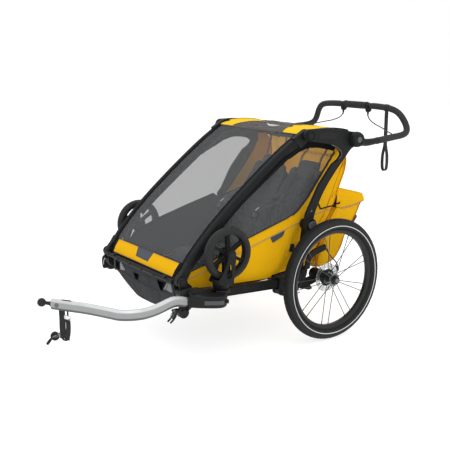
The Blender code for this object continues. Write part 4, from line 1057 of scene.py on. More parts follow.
def wheel_button():
    """Quick-release cap with finger notches round its face."""
    def notch(i, t, r):
        return r * (1.0 - (0.16 * max(0.0, math.cos(8 * t)) ** 3 if i in (3, 4, 5) else 0.0))
    prof = [(0.3790, 0.0), (0.3790, 0.0088), (0.3930, 0.0090), (0.3946, 0.0090), (0.3962, 0.0088), (0.3970, 0.0078), (0.3975, 0.0058), (0.3966, 0.0052), (0.3964, 0.0030), (0.3967, 0.0)]
    return Part().add(lathe(prof, (0, 0, WHEEL_R), (1, 0, 0), 96, mod=notch), 0)


pair("wheel_button", wheel_button, M_CAP, bodies("wheel_button"), "button_plastic", ["wheel_button"])

# ---------------------------------------------------------------- suspension and brake


def swing_arm():
    out = Part()
    outline = [(-0.1745, 0.2350), (-0.168, 0.2210), (-0.153, 0.2150), (-0.100, 0.2120), (-0.040, 0.2160), (0.0, 0.2280), (0.0, 0.2620), (-0.030, 0.2480), (-0.060, 0.2440), (-0.120, 0.2470), (-0.153, 0.2550), (-0.168, 0.2490)]
    body = [tuple(p) for p in curve_through(outline[:5], 4)] + [(0.0, 0.2280), (0.0, 0.2620)] + [tuple(p) for p in curve_through(outline[7:], 4)]
    out.add(plate(body, 0.2645, 0.2915, [circle(SWING, 0.0089, 24)], 0.0045, 3), 0)
    out.add(plate(rounded([(-0.140, 0.2370), (-0.062, 0.2345), (-0.052, 0.2270), (-0.062, 0.2205), (-0.130, 0.2225)], 0.006), 0.2905, 0.2922, bevel=0.0008), 0)
    out.add(turned([(0.2640, 0.0089), (0.2640, 0.0190), (0.2922, 0.0190), (0.2922, 0.0089)], (0, *SWING), segs=40, soft=0.002), 0)
    out.add(turned([(0.2450, 0), (0.2450, 0.0180), (0.2460, 0.0225), (0.2500, 0.0250), (0.3130, 0.0250), (0.3190, 0.0200), (0.3190, 0)], (0, 0, WHEEL_R), segs=48, soft=0.0018), 0)
    out.add(turned([(0.2436, 0), (0.2436, 0.0095), (0.2452, 0.0110), (0.2452, 0)], (0, 0, WHEEL_R), segs=32, soft=0.0006), 2)
    out.add(turned([(0.3100, 0), (0.3100, 0.0060), (0.3720, 0.0060), (0.3720, 0)], (0, 0, WHEEL_R), segs=24), 1)
    # rubber spring block under the arm, with its ribs
    shoe = rounded([(-0.112, 0.2135), (-0.050, 0.2160), (-0.040, 0.1990), (-0.058, 0.1960)], 0.004)
    out.add(plate(shoe, 0.2685, 0.2935, bevel=0.003, res=3), 3)
    for k in range(4):
        x = 0.2725 + 0.0058 * k
        out.add(plate(rounded([(-0.100, 0.2125), (-0.052, 0.2145), (-0.0415, 0.2005), (-0.057, 0.1975)], 0.004), x - 0.0008, x + 0.0008, bevel=0.0004, res=1), 3)
    carrier = rounded([(0.006, 0.262), (0.020, 0.240), (0.058, 0.254), (0.068, 0.272), (0.050, 0.284)], 0.006)
    out.add(plate(carrier, 0.3095, 0.3180, bevel=0.0015), 0)
    for c in ((0.030, 0.260), (0.054, 0.270)):
        out.add(turned([(0.3175, 0), (0.3175, 0.0042), (0.3192, 0.0042), (0.3192, 0)], (0, *c), segs=6, soft=0.0003), 1)
    # hook and eye where the parking rod passes below the arm
    out.add(tube(curve_through([(0.296, -0.118, 0.214), (0.297, -0.128, 0.204), (0.297, -0.124, 0.196), (0.296, -0.112, 0.197)], 5), 0.0022, 10, round_caps=True), 1)
    out.add(tube(curve_through([(0.294, -0.130, 0.228), (0.297, -0.150, 0.222), (0.297, -0.152, 0.212), (0.295, -0.140, 0.208)], 5), 0.0018, 10, round_caps=True), 1)
    return out


pair("swing_arm", swing_arm, [M_FRAME, M_SPOKE, M_DARK_STEEL, M_RUBBER_S], bodies("suspension"), "axle_steel", ["swing_arm"])


def caliper():
    out = Part()
    outline = rounded([(0.036, 0.268), (0.050, 0.2565), (0.068, 0.262), (0.0735, 0.276), (0.063, 0.289), (0.044, 0.286)], 0.006)
    out.add(plate(outline, 0.3188, 0.3300, bevel=0.0025, res=3), 0)
    out.add(turned([(0, 0), (0, 0.0040), (0.007, 0.0034), (0.007, 0)], (0.3255, 0.0636, 0.2850), (0, 0, 1), segs=16), 1)
    return out


pair("brake_caliper", caliper, [M_PLASTIC_S, M_DARK_STEEL], bodies("suspension"), "frame_plastic", ["brake_caliper"])

# ---------------------------------------------------------------- stowed front casters


def caster_wheel():
    c = (CASTER_X, CASTER_Y, CASTER_Z)
    segs = 168
    prof = [(0.0, 0.1000), (0.0040, 0.1000), (0.0070, 0.0994), (0.0085, 0.0982), (0.0110, 0.0978), (0.0150, 0.0958), (0.0172, 0.0925), (0.0182, 0.0885), (0.0184, 0.0845), (0.0176, 0.0812), (0.0168, 0.0806), (0.0162, 0.0790), (0.0140, 0.0780), (0.0130, 0.0755),
            (0.0118, 0.0742), (0.0060, 0.0736), (0.0, 0.0736)]
    full = prof[:-1] + [(-a, r) for a, r in reversed(prof[1:])]
    n = len(full)

    def sipe(i, t, r):
        k = int(round(t / (2 * math.pi) * segs))
        j = min(i, n - i)
        if j in (3, 4, 5) and (k + (2 if i > n / 2 else 0) + j) % 7 == 0:
            return r - 0.0009
        if j in (0, 1) and k % 7 == 3:
            return r - 0.0006
        return r

    out = Part().add(lathe(full, c, (1, 0, 0), segs, ring=True, mod=sipe), 0)
    ring = [(-0.0128, 0.0762), (-0.0122, 0.0738), (-0.0100, 0.0730), (0.0100, 0.0730), (0.0122, 0.0738), (0.0128, 0.0762), (0.0100, 0.0775), (-0.0100, 0.0775)]
    out.add(lathe(ring, c, (1, 0, 0), 96, ring=True), 1)
    out.add(turned([(-0.0200, 0.0056), (-0.0200, 0.0120), (-0.0180, 0.0150), (0.0180, 0.0150), (0.0200, 0.0120), (0.0200, 0.0056)], c, segs=40, soft=0.001), 1)
    for k in range(6):
        a = math.radians(31 + 60 * k)
        d = Vector((0, math.cos(a), math.sin(a)))
        t = Vector((0, -math.sin(a), math.cos(a)))
        cc = Vector(c)
        # a web with a ridge along each edge
        path = [cc + d * r for r in (0.0125, 0.020, 0.035, 0.055, 0.068, 0.0755)]
        w = lambda q: (1.0 + 0.35 * abs(q * 2 - 1) ** 3, 1.0)
        out.add(sweep(path, [(0.0036, -0.0030), (0.0036, 0.0030), (-0.0036, 0.0030), (-0.0036, -0.0030)], up=(1, 0, 0), scale=w), 1)
        for sg in (1, -1):
            ridge = [p + t * sg * 0.0040 * w(i / 5)[0] for i, p in enumerate(path)]
            out.add(sweep(ridge, [(0.0015, -0.0092), (0.0019, -0.0080), (0.0019, 0.0080), (0.0015, 0.0092), (-0.0015, 0.0092), (-0.0019, 0.0080), (-0.0019, -0.0080), (-0.0015, -0.0092)], up=(1, 0, 0)), 1)
    return out


pair("caster_wheel", caster_wheel, [M_RUBBER_S, M_PLASTIC], bodies("caster_wheel"), "tyre_rubber", ["caster_wheel"], angle=32)


def caster_fork():
    """Cup-shaped swivel body with two curved blades, stowed wheel-up."""
    out = Part()
    c = (CASTER_X, STEM_Y)
    cup = []
    rows = [(0.2966, 0.0240), (0.2970, 0.0262), (0.2990, 0.0275), (0.3060, 0.0305), (0.3140, 0.0325), (0.3220, 0.0334), (0.3290, 0.0335), (0.3340, 0.0322), (0.3350, 0.0300), (0.3300, 0.0285), (0.3180, 0.0270), (0.3150, 0.0)]
    out.add(lathe([(z - 0.2966, r) for z, r in rows], (c[0], c[1], 0.2966), (0, 0, 1), 64), 0)
    out.add(turned([(0.0, 0), (0.0, 0.0095), (0.0420, 0.0095), (0.0420, 0)], (c[0], c[1], 0.2560), (0, 0, 1), 28), 1)
    out.add(turned([(0.0, 0.0094), (0.0, 0.0130), (0.0024, 0.0130), (0.0024, 0.0094)], (c[0], c[1], 0.2936), (0, 0, 1), 28, soft=0.0006), 1)
    edge = [(-0.5580, 0.3200), (-0.4990, 0.3100), (-0.4915, 0.3300), (-0.4880, 0.3500), (-0.4835, 0.3900), (-0.4825, 0.4150), (-0.4836, 0.4330), (-0.4895, 0.4400), (-0.4990, 0.4425), (-0.5085, 0.4400), (-0.5150, 0.4320),
            (-0.5185, 0.4160), (-0.5260, 0.3900), (-0.5380, 0.3650), (-0.5520, 0.3450), (-0.5600, 0.3330)]
    outline = [tuple(p) for p in curve_through(edge, 4, closed=True)]
    slot = [(-0.5270, 0.3440), (-0.5180, 0.3370), (-0.5070, 0.3380), (-0.5020, 0.3460), (-0.5010, 0.3660), (-0.5020, 0.3860), (-0.5080, 0.3920), (-0.5150, 0.3880), (-0.5200, 0.3740), (-0.5260, 0.3600)]
    hole = [tuple(p) for p in curve_through(slot, 3, closed=True)]
    for sgn in (1, -1):
        xa, xb = CASTER_X + sgn * 0.0240, CASTER_X + sgn * 0.0330
        out.add(plate(outline, min(xa, xb), max(xa, xb), [hole], 0.0028, 3), 0)
        # rib round the slot and boss at the axle
        out.add(tube([(xb + sgn * -0.0004, y, z) for y, z in hole], 0.0017, 8, closed=True), 0)
        out.add(turned([(0.0, 0), (0.0, 0.0135), (sgn * 0.0012, 0.0130), (sgn * 0.0012, 0)] if sgn > 0 else [(0.0, 0), (0.0, 0.0135), (-0.0012, 0.0130), (-0.0012, 0)], (xb, CASTER_Y, CASTER_Z), (1, 0, 0), 36), 0)
    out.add(turned([(-0.0330, 0), (-0.0330, 0.0050), (0.0330, 0.0050), (0.0330, 0)], (CASTER_X, CASTER_Y, CASTER_Z), (1, 0, 0), 20), 1)
    out.add(turned([(0.0335, 0), (0.0335, 0.0105), (0.0350, 0.0100), (0.0355, 0.0080), (0.0348, 0.0066), (0.0346, 0.0032), (0.0355, 0.0026), (0.0355, 0)], (CASTER_X, CASTER_Y, CASTER_Z), (1, 0, 0), 36, 0.0004), 2)
    return out


pair("caster_fork", caster_fork, [M_PLASTIC, M_DARK_STEEL, M_PLASTIC_S], bodies("caster"), "frame_plastic", ["caster_fork"])

# ---------------------------------------------------------------- lower frame


def side_rail():
    out = Part()
    out.add(plate(rounded([(-0.640, 0.2500), (-0.640, 0.2860), (-0.6, 0.2840), (-0.185, 0.2650), (-0.185, 0.2280), (-0.6, 0.2480)], 0.002), 0.2675, 0.2925, bevel=0.0060, res=4), 0)
    block = rounded([(-0.686, 0.286), (-0.674, 0.270), (-0.612, 0.262), (-0.612, 0.296), (-0.650, 0.3040), (-0.686, 0.3040)], 0.007)
    out.add(plate(block, 0.2595, 0.2940, bevel=0.0045, res=3), 1)
    outline = hull([tuple(round(q, 6) for q in p) for p in arc(P1, 0.0172, 0, 350, 35)] + [(-0.684, 0.292), (-0.640, 0.284)])
    out.add(plate(outline, 0.2930, 0.2975, bevel=0.0018, res=3), 1)
    outline = hull([tuple(round(q, 6) for q in p) for p in arc(P1, 0.0180, 0, 350, 35)] + [(-0.686, 0.290), (-0.674, 0.274), (-0.622, 0.268), (-0.622, 0.292)])
    out.add(plate(outline, 0.2590, 0.2637, bevel=0.0015, res=2), 1)
    out.add(turned([(0.2610, 0), (0.2610, 0.0070), (0.2980, 0.0070), (0.2980, 0)], (0, *P1), segs=24), 2)
    out.add(turned([(0.2968, 0), (0.2968, 0.0184), (0.3000, 0.0184), (0.3022, 0.0172), (0.3026, 0.0152), (0.3002, 0.0142), (0.3002, 0.0118), (0.3028, 0.0108), (0.3034, 0.0)], (0, *P1), segs=56, soft=0.0006), 3)
    # strap loop and a screw on the rail
    out.add(turned([(0.2922, 0), (0.2922, 0.0045), (0.2940, 0.0040), (0.2940, 0.0016), (0.2934, 0.0016), (0.2934, 0)], (0, -0.300, 0.2520), segs=20, soft=0.0004), 1)
    out.add(turned([(0.2922, 0), (0.2922, 0.0045), (0.2940, 0.0040), (0.2940, 0.0016), (0.2934, 0.0016), (0.2934, 0)], (0, -0.400, 0.2566), segs=20, soft=0.0004), 1)
    return out


pair("side_rail", side_rail, [M_FRAME, M_PLASTIC, M_DARK_STEEL, M_PLASTIC_S], ("base", "base"), "frame_tube", ["side_rail"])


def crossbar():
    out = Part()
    xs = [-0.2585 + 0.517 * k / 24 for k in range(25)]
    out.add(tube([(x, -0.690, 0.3290) for x in xs], 0.0080, 24, caps=False), 0)
    for s in (1, -1):
        out.add(turned([(s * 0.2420, 0.0078), (s * 0.2420, 0.0094), (s * 0.2585, 0.0094), (s * 0.2590, 0.0)], (0, -0.690, 0.3290), segs=28, soft=0.0008), 1)
        for x in (0.20,):
            out.add(plate(rounded([(s * x - 0.011, -0.699), (s * x + 0.011, -0.699), (s * x + 0.011, -0.684), (s * x - 0.011, -0.684)], 0.003), 0.3355, 0.3415, bevel=0.0015, axis="Z"), 1)
    for x in (-0.155, -0.060, 0.035, 0.130):
        d = Vector((0, -1, 0.0))
        out.add(turned([(0.0070, 0), (0.0070, 0.0042), (0.0086, 0.0042), (0.0096, 0.0030), (0.0098, 0.0016), (0.0088, 0.0014), (0.0088, 0)], (x, -0.690, 0.3290), d, 20, 0.0003), 1)
        out.add(turned([(0.0060, 0.0085), (0.0060, 0.0090), (0.0078, 0.0072), (0.0078, 0.0)], (x, -0.690, 0.3290), d, 20, 0.0003), 1)
    return out


piece("front_crossbar_tube", crossbar(), [M_FRAME, M_PLASTIC, M_DARK_STEEL], "base", "frame_tube", ["front_crossbar"])


def crossmember():
    prof = [(0, 0), (0, 0.0080), (0.0346, 0.0080), (0.0346, 0.0140), (0.5576, 0.0140), (0.5576, 0.0080), (0.5922, 0.0080), (0.5922, 0)]
    out = Part().add(turned(prof, (-0.2961, *SWING), segs=40, soft=0.0012), 0)
    for x in (-0.20, 0.20, -0.06, 0.06):
        out.add(turned([(x - 0.011, 0.0138), (x - 0.011, 0.0158), (x + 0.011, 0.0158), (x + 0.011, 0.0138)], (0, *SWING), segs=36, soft=0.001), 1)
        out.add(plate(rounded([(SWING[0] - 0.016, 0.2440), (SWING[0] + 0.016, 0.2440), (SWING[0] + 0.016, 0.2610), (SWING[0] - 0.016, 0.2610)], 0.004), x - 0.011, x + 0.011, bevel=0.0015), 1)
    return out


piece("rear_cross_tube", crossmember(), [M_FRAME, M_PLASTIC], "base", "frame_tube", ["rear_crossmember"])


def rear_bracket():
    out = Part()
    block = rounded([(-0.224, 0.212), (-0.218, 0.204), (-0.196, 0.196), (-0.181, 0.202), (-0.181, 0.2740), (-0.218, 0.2770)], 0.006)
    out.add(plate(block, 0.2560, 0.2670, bevel=0.0025), 0)
    out.add(plate(block, 0.2930, 0.3020, bevel=0.0025, res=3), 0)
    out.add(plate(rounded([(-0.222, 0.2690), (-0.222, 0.2768), (-0.183, 0.2738), (-0.183, 0.2690)], 0.002), 0.2580, 0.3000, bevel=0.001), 0)
    out.add(plate(rounded([(-0.222, 0.2262), (-0.183, 0.2262), (-0.183, 0.2020), (-0.196, 0.1970), (-0.217, 0.2050)], 0.004), 0.2580, 0.3000, bevel=0.002), 0)
    out.add(plate(rounded([(-0.1846, 0.206), (-0.182, 0.206), (-0.182, 0.272), (-0.1846, 0.272)], 0.001), 0.2580, 0.3000, bevel=0.001), 0)
    for z in (0.262, 0.214):
        out.add(turned([(0.3015, 0), (0.3015, 0.0048), (0.3040, 0.0044), (0.3046, 0.0022), (0.3036, 0.0020), (0.3036, 0)], (0, -0.202, z), segs=20, soft=0.0004), 1)
    cheek = [(-0.190, 0.212), (-0.170, 0.208), (-0.128, 0.214), (-0.088, 0.262), (-0.081, 0.288), (-0.084, 0.306), (-0.116, 0.306), (-0.124, 0.296), (-0.150, 0.268), (-0.190, 0.262)]
    out.add(plate(rounded(cheek, 0.010), 0.2958, 0.3088, bevel=0.0032, res=3), 0)
    # cast ribs on the cheek
    out.add(tube(curve_through([(0.3088, -0.183, 0.219), (0.3090, -0.150, 0.221), (0.3090, -0.120, 0.240), (0.3088, -0.102, 0.268)], 4), 0.0018, 8, round_caps=True), 0)
    guide = [(-0.112, 0.298), (-0.086, 0.298), (-0.083, 0.326), (-0.075, 0.341), (-0.050, 0.352), (-0.005, 0.3635), (0.000, 0.3700), (-0.001, 0.3840), (-0.008, 0.3890), (-0.066, 0.3760), (-0.094, 0.3600), (-0.106, 0.336)]
    out.add(plate(rounded(guide, 0.006), 0.3178, 0.3272, bevel=0.0028, res=3), 0)
    out.add(plate(rounded([(-0.112, 0.2985), (-0.086, 0.2985), (-0.088, 0.3070), (-0.110, 0.3070)], 0.002), 0.3090, 0.3265, bevel=0.0015), 0)
    out.add(turned([(0.2935, 0), (0.2935, 0.0150), (0.3125, 0.0150), (0.3140, 0.0130), (0.3134, 0.0118), (0.3134, 0.0090), (0.3142, 0.0084), (0.3142, 0)], (0, *P5), segs=44, soft=0.0006), 0)
    out.add(turned([(0.2640, 0), (0.2640, 0.0060), (0.3000, 0.0060), (0.3000, 0)], (0, *P5), segs=20), 1)
    out.add(turned([(0.3085, 0), (0.3085, 0.0112), (0.3104, 0.0106), (0.3110, 0.0060), (0.3102, 0.0054), (0.3102, 0)], (0, -0.150, 0.2400), segs=36, soft=0.0006), 0)
    return out


pair("rear_bracket", rear_bracket, [M_PLASTIC, M_DARK_STEEL], ("base", "base"), "frame_plastic", ["rear_bracket"])

WING = [(0.3010, -0.666), (0.336, -0.668), (0.372, -0.630), (0.402, -0.585), (0.4085, -0.556), (0.398, -0.534), (0.366, -0.516), (0.332, -0.498), (0.3010, -0.486)]


def wing(receiver):
    """Smooth outrigger that carries the stowed caster, with the tow arm's receiver on the left one."""
    out = Part()
    ring = [(0.3016, -0.664)] + [tuple(p) for p in curve_through([(0.3180, -0.6665), (0.336, -0.663), (0.360, -0.640), (0.384, -0.609), (0.4010, -0.583), (0.4040, -0.563), (0.3950, -0.545), (0.371, -0.526), (0.345, -0.508), (0.318, -0.493)], 4)] + [(0.3016, -0.489)]
    layers = [(0.2432, -0.0110), (0.2436, -0.0080), (0.2452, -0.0040), (0.2480, -0.0012), (0.2520, 0.0), (0.2560, 0.0002), (0.2790, 0.0002), (0.2826, -0.0004), (0.2856, -0.0022), (0.2880, -0.0056), (0.2896, -0.0105), (0.2908, -0.0170), (0.2918, -0.0250), (0.2924, -0.0340), (0.2926, -0.0440)]
    ring = rounded(ring, 0.003, 2)
    shoulder = [(-0.6900, 0.2520), (-0.6935, 0.2900), (-0.6900, 0.3060), (-0.6780, 0.3125), (-0.6560, 0.3125), (-0.6300, 0.3050), (-0.6080, 0.2965), (-0.5900, 0.2915), (-0.5900, 0.2520)]
    out.add(plate(rounded(shoulder, 0.008, 4), 0.3012, 0.3170, bevel=0.0070, res=4), 0)
    verts, faces = stack(ring, layers)
    rise = lambda t: min(1.0, max(0.0, t)) ** 2 * (3 - 2 * min(1.0, max(0.0, t)))
    verts = [Vector((v[0], v[1], v[2] + 0.0200 * rise((v[2] - 0.2600) / 0.026) * rise((0.3760 - v[0]) / 0.070) * rise((-0.5640 - v[1]) / 0.032))) for v in verts]
    out.add((verts, faces), 0)
    out.add(turned([(0, 0), (0, 0.0355), (0.0095, 0.0345), (0.0118, 0.0322), (0.0118, 0.0296), (0.0100, 0.0285), (0.0100, 0.0)], (CASTER_X, STEM_Y, 0.2840), (0, 0, 1), 64, 0.0012), 0)
    # parting line and grey reflector let into the outer edge
    edge = [(p[0], p[1]) for p in ring if p[0] > 0.33]
    line = resample([(x, y, 0.2660) for x, y in edge], 0.004)
    out.add(tube([p + Vector((0.0001, 0, 0)) for p in line], 0.0007, 6), 0)
    mid = [p for p in line if -0.6270 < p.y < -0.5640 and p.x > 0.36]
    nrm = []
    for i, p in enumerate(mid):
        t = (mid[min(i + 1, len(mid) - 1)] - mid[max(i - 1, 0)]).normalized()
        nrm.append(Vector((t.y, -t.x, 0)) if t.cross(Vector((0, 0, 1))).dot(Vector((1, -0.5, 0))) > 0 else Vector((-t.y, t.x, 0)))
    strip = [p + n * 0.0012 + Vector((0, 0, 0.0005)) for p, n in zip(mid, nrm)]
    out.add(sweep(strip, [(-0.0014, -0.0080), (0.0010, -0.0076), (0.0014, -0.0070), (0.0014, 0.0070), (0.0010, 0.0076), (-0.0014, 0.0080)] if receiver or True else [], up=(0, 0, 1)), 2)
    for z in (-0.0086, 0.0086):
        out.add(tube([p + n * 0.0006 + Vector((0, 0, z + 0.0005)) for p, n in zip(mid, nrm)], 0.0009, 6), 0)
    # end knob at the tip
    out.add(turned([(0, 0), (0, 0.0078), (0.0070, 0.0078), (0.0088, 0.0062), (0.0088, 0)], (0.3990, -0.5490, 0.2660), (0.66, 0.75, 0), 28, 0.0012), 0)
    for y in (-0.640, -0.512):
        out.add(turned([(0, 0), (0, 0.0040), (0.0016, 0.0036), (0.0016, 0.0014), (0.0010, 0.0014), (0.0010, 0)], (0.3120, y, 0.2902), (0, 0, 1), 18, 0.0003), 1)
    if receiver:
        out.add(turned([(0.3014, 0), (0.3014, 0.0195), (0.3030, 0.0205), (0.3250, 0.0205), (0.3268, 0.0192), (0.3268, 0.0120), (0.3256, 0.0110), (0.3256, 0)], (0, -0.684, 0.2270), segs=48, soft=0.001), 0)
        out.add(plate(rounded([(-0.700, 0.2330), (-0.664, 0.2330), (-0.648, 0.2440), (-0.650, 0.2480), (-0.700, 0.2420)], 0.003), 0.3032, 0.3268, bevel=0.0018), 0)
        for x in (0.3042, 0.3314):
            out.add(plate(rounded([(-0.726, 0.2355), (-0.700, 0.2355), (-0.700, 0.2440), (-0.726, 0.2440)], 0.0035), x - 0.0012, x + 0.0014, bevel=0.0009), 0)
        # collar round the mouth of the socket
        mouth = rounded([(ARM_X - 0.0178, ARM_Z - 0.0215), (ARM_X + 0.0178, ARM_Z - 0.0215), (ARM_X + 0.0178, ARM_Z + 0.0225), (ARM_X - 0.0150, ARM_Z + 0.0225)], 0.005)
        inner = rounded([(ARM_X - 0.0131, ARM_Z - 0.0201), (ARM_X + 0.0131, ARM_Z - 0.0201), (ARM_X + 0.0131, ARM_Z + 0.0201), (ARM_X - 0.0131, ARM_Z + 0.0201)], 0.004)
        out.add(plate([(x, z) for x, z in mouth], -0.672, -0.658, [inner], 0.0008, axis="Y"), 0)
    return out


piece("wing_shell_left", wing(True), [M_PLASTIC_S, M_DARK_STEEL, M_REFLECT], "base", "frame_plastic", ["wing_left"])
piece("wing_shell_right", wing(False).mirrored(), [M_PLASTIC_S, M_DARK_STEEL, M_REFLECT], "base", "frame_plastic", ["wing_right"])


def receiver_latch():
    out = Part()
    outline = [(-0.7240, 0.2440), (-0.7180, 0.2440), (-0.7165, 0.2330), (-0.7200, 0.2200), (-0.7330, 0.2060), (-0.7440, 0.1990), (-0.7480, 0.2040), (-0.7370, 0.2130), (-0.7260, 0.2240)]
    for x in (0.3085, 0.3275):
        out.add(plate(rounded(outline, 0.002), x - 0.0014, x + 0.0014, bevel=0.0008), 0)
    out.add(plate(rounded([(-0.7235, 0.2430), (-0.7190, 0.2430), (-0.7175, 0.2330), (-0.7205, 0.2210), (-0.7300, 0.2110), (-0.7330, 0.2130), (-0.7255, 0.2235)], 0.0015), 0.3095, 0.3265, bevel=0.0012), 0)
    out.add(turned([(0.3072, 0), (0.3072, 0.0032), (0.3290, 0.0032), (0.3290, 0)], (0, -0.7205, 0.2400), segs=18), 1)
    # wire bail that hooks over the arm's lug
    out.add(tube(curve_through([(0.3105, -0.7200, 0.2385), (0.3110, -0.7300, 0.2300), (0.3115, -0.7340, 0.2200), (0.3180, -0.7350, 0.2165), (0.3245, -0.7340, 0.2200), (0.3250, -0.7300, 0.2300), (0.3255, -0.7200, 0.2385)], 5), 0.0013, 8), 1)
    coil = [(0.3120 + 0.0125 * k / 60, -0.7205 + 0.0046 * math.cos(k * 0.9), 0.2400 + 0.0046 * math.sin(k * 0.9)) for k in range(61)]
    out.add(tube(coil, 0.0006, 6), 1)
    return out


piece("receiver_lever", receiver_latch(), [M_PLASTIC_S, M_SPOKE], "receiver_latch", "frame_plastic", ["receiver_latch"])

# ---------------------------------------------------------------- front frame


def front_pillar():
    """Bowed pillar: a rounded tube above, a zipped groove, and a second padded roll below it, with a moulded eye at each end."""
    out = Part()
    us = [0.034 + (PILLAR_L - 0.070) * k / 56 for k in range(57)]

    def at(x, u, n):
        y, z = along_pillar(u, n)
        return Vector((x, y, z))

    top, low, mid = [], [], []
    for u in us:
        hi, lo = height(UP_FINE, u), height(LO_FINE, u)
        top.append((u, hi, lo))
    # upper tube: D-shaped section that follows the bow
    sec = [(0.0118 * math.copysign(abs(math.cos(t)) ** 0.8, math.cos(t)), 0.0128 * math.copysign(abs(math.sin(t)) ** 0.9, math.sin(t))) for t in (2 * math.pi * k / 22 for k in range(22))]
    path = [at(0.2785, u, hi - 0.0128) for u, hi, lo in top]
    out.add(sweep(path, sec, up=(1, 0, 0)) if False else sweep(path, [(b, a) for a, b in sec], up=(1, 0, 0)), 0)
    # bead that stands proud along the foot of the tube, above the groove
    out.add(tube([at(0.2785 + 0.0098, u, hi - 0.0232) for u, hi, lo in top[2:-2]], 0.0016, 8, round_caps=True), 0)
    # lower roll, smaller, tapering towards both ends
    path2, scales = [], []
    for u, hi, lo in top:
        q = (u - us[0]) / (us[-1] - us[0])
        r = 0.0105 * min(1.0, 0.35 + 4.5 * q) * min(1.0, 0.45 + 4.0 * (1 - q))
        n = lo + r + 0.0005
        path2.append(at(0.2775, u, min(n, hi - 0.0128 - 0.0165)))
        scales.append(r / 0.0105)
    sec2 = [(0.0100 * math.cos(t), 0.0118 * math.sin(t)) for t in (2 * math.pi * k / 20 for k in range(20))]
    out.add(sweep(path2, sec2, up=(1, 0, 0), scale=lambda q: (scales[int(round(q * (len(scales) - 1)))],) * 2), 1)
    # groove between them with the zip's teeth and slider
    a = [p.lerp(q, 0.5) for p, q in zip(path, path2)]
    out.add(sweep([p + Vector((-0.001, 0, 0)) for p in a], [(-0.0125, -0.0042), (0.0125, -0.0042), (0.0125, 0.0042), (-0.0125, 0.0042)], up=(1, 0, 0)), 2)
    teeth = resample([p + Vector((0.0042, 0, 0)) for p in a[3:-3]], 0.0032)
    for i, p in enumerate(teeth[1:-1]):
        t = (teeth[i + 2] - teeth[i]).normalized()
        s = t.cross(X)
        w = 0.0016
        out.add(([p + s * w + t * 0.0007, p + s * w - t * 0.0007, p - s * w - t * 0.0007, p - s * w + t * 0.0007,
                  p + s * w * 0.7 + t * 0.0005 + X * 0.0008, p + s * w * 0.7 - t * 0.0005 + X * 0.0008, p - s * w * 0.7 - t * 0.0005 + X * 0.0008, p - s * w * 0.7 + t * 0.0005 + X * 0.0008],
                 [(0, 1, 5, 4), (1, 2, 6, 5), (2, 3, 7, 6), (3, 0, 4, 7), (4, 5, 6, 7)]), 4)
    # thin piping along the upper edge
    out.add(tube([at(0.2660, u, hi - 0.0030) for u, hi, lo in top], 0.0024, 10), 3)
    # eyes and moulded end sockets
    foot = hull([tuple(round(q, 6) for q in p) for p in arc(P1, 0.0195, 0, 350, 35)] + [along_pillar(0.052, 0.0265), along_pillar(0.052, -0.0050)])
    out.add(plate(foot, 0.2668, 0.2900, [circle(P1, 0.0077, 24)], 0.0030, 3), 5)
    collar = [along_pillar(0.030, 0.0235), along_pillar(0.064, 0.0325), along_pillar(0.070, 0.0060), along_pillar(0.040, -0.0090)]
    out.add(plate(rounded(collar, 0.006), 0.2662, 0.2908, bevel=0.0045, res=3), 5)
    head = hull([tuple(round(q, 6) for q in p) for p in arc(P2, 0.0240, 0, 350, 35)] + [along_pillar(PILLAR_L - 0.055, 0.0345), along_pillar(PILLAR_L - 0.055, -0.0190)])
    out.add(plate(head, 0.2668, 0.2900, [circle(P2, 0.0077, 24)], 0.0040, 3), 5)
    for k in range(3):
        q = along_pillar(0.046 + 0.0055 * k, 0.0)
    return out


pair("front_pillar", front_pillar, [M_FRAME, BLACK_CLOTH, M_PLASTIC, NAVY, M_DARK_STEEL, M_PLASTIC], ("front_frame", "front_frame"), "frame_tube", ["front_pillar"], angle=45)


def top_bar():
    out = Part()
    xs = [-0.2655 + 0.531 * k / 20 for k in range(21)]
    out.add(tube([(x, *P2) for x in xs], 0.0100, 22), 0)
    for s in (1, -1):
        out.add(turned([(s * 0.2440, 0.0098), (s * 0.2440, 0.0118), (s * 0.2655, 0.0118), (s * 0.2657, 0.0)], (0, *P2), segs=28, soft=0.001), 1)
    for x in (-0.12, 0.0, 0.12):
        out.add(plate(rounded([(P2[0] - 0.013, P2[1] - 0.012), (P2[0] + 0.013, P2[1] - 0.012), (P2[0] + 0.012, P2[1] + 0.0118), (P2[0] - 0.012, P2[1] + 0.0118)], 0.008), x - 0.012, x + 0.012, bevel=0.002), 2)
    return out


piece("front_top_tube", top_bar(), [M_FRAME, M_PLASTIC, BLACK_CLOTH], "front_frame", "frame_tube", ["front_top_bar"])

# ---------------------------------------------------------------- rear frame


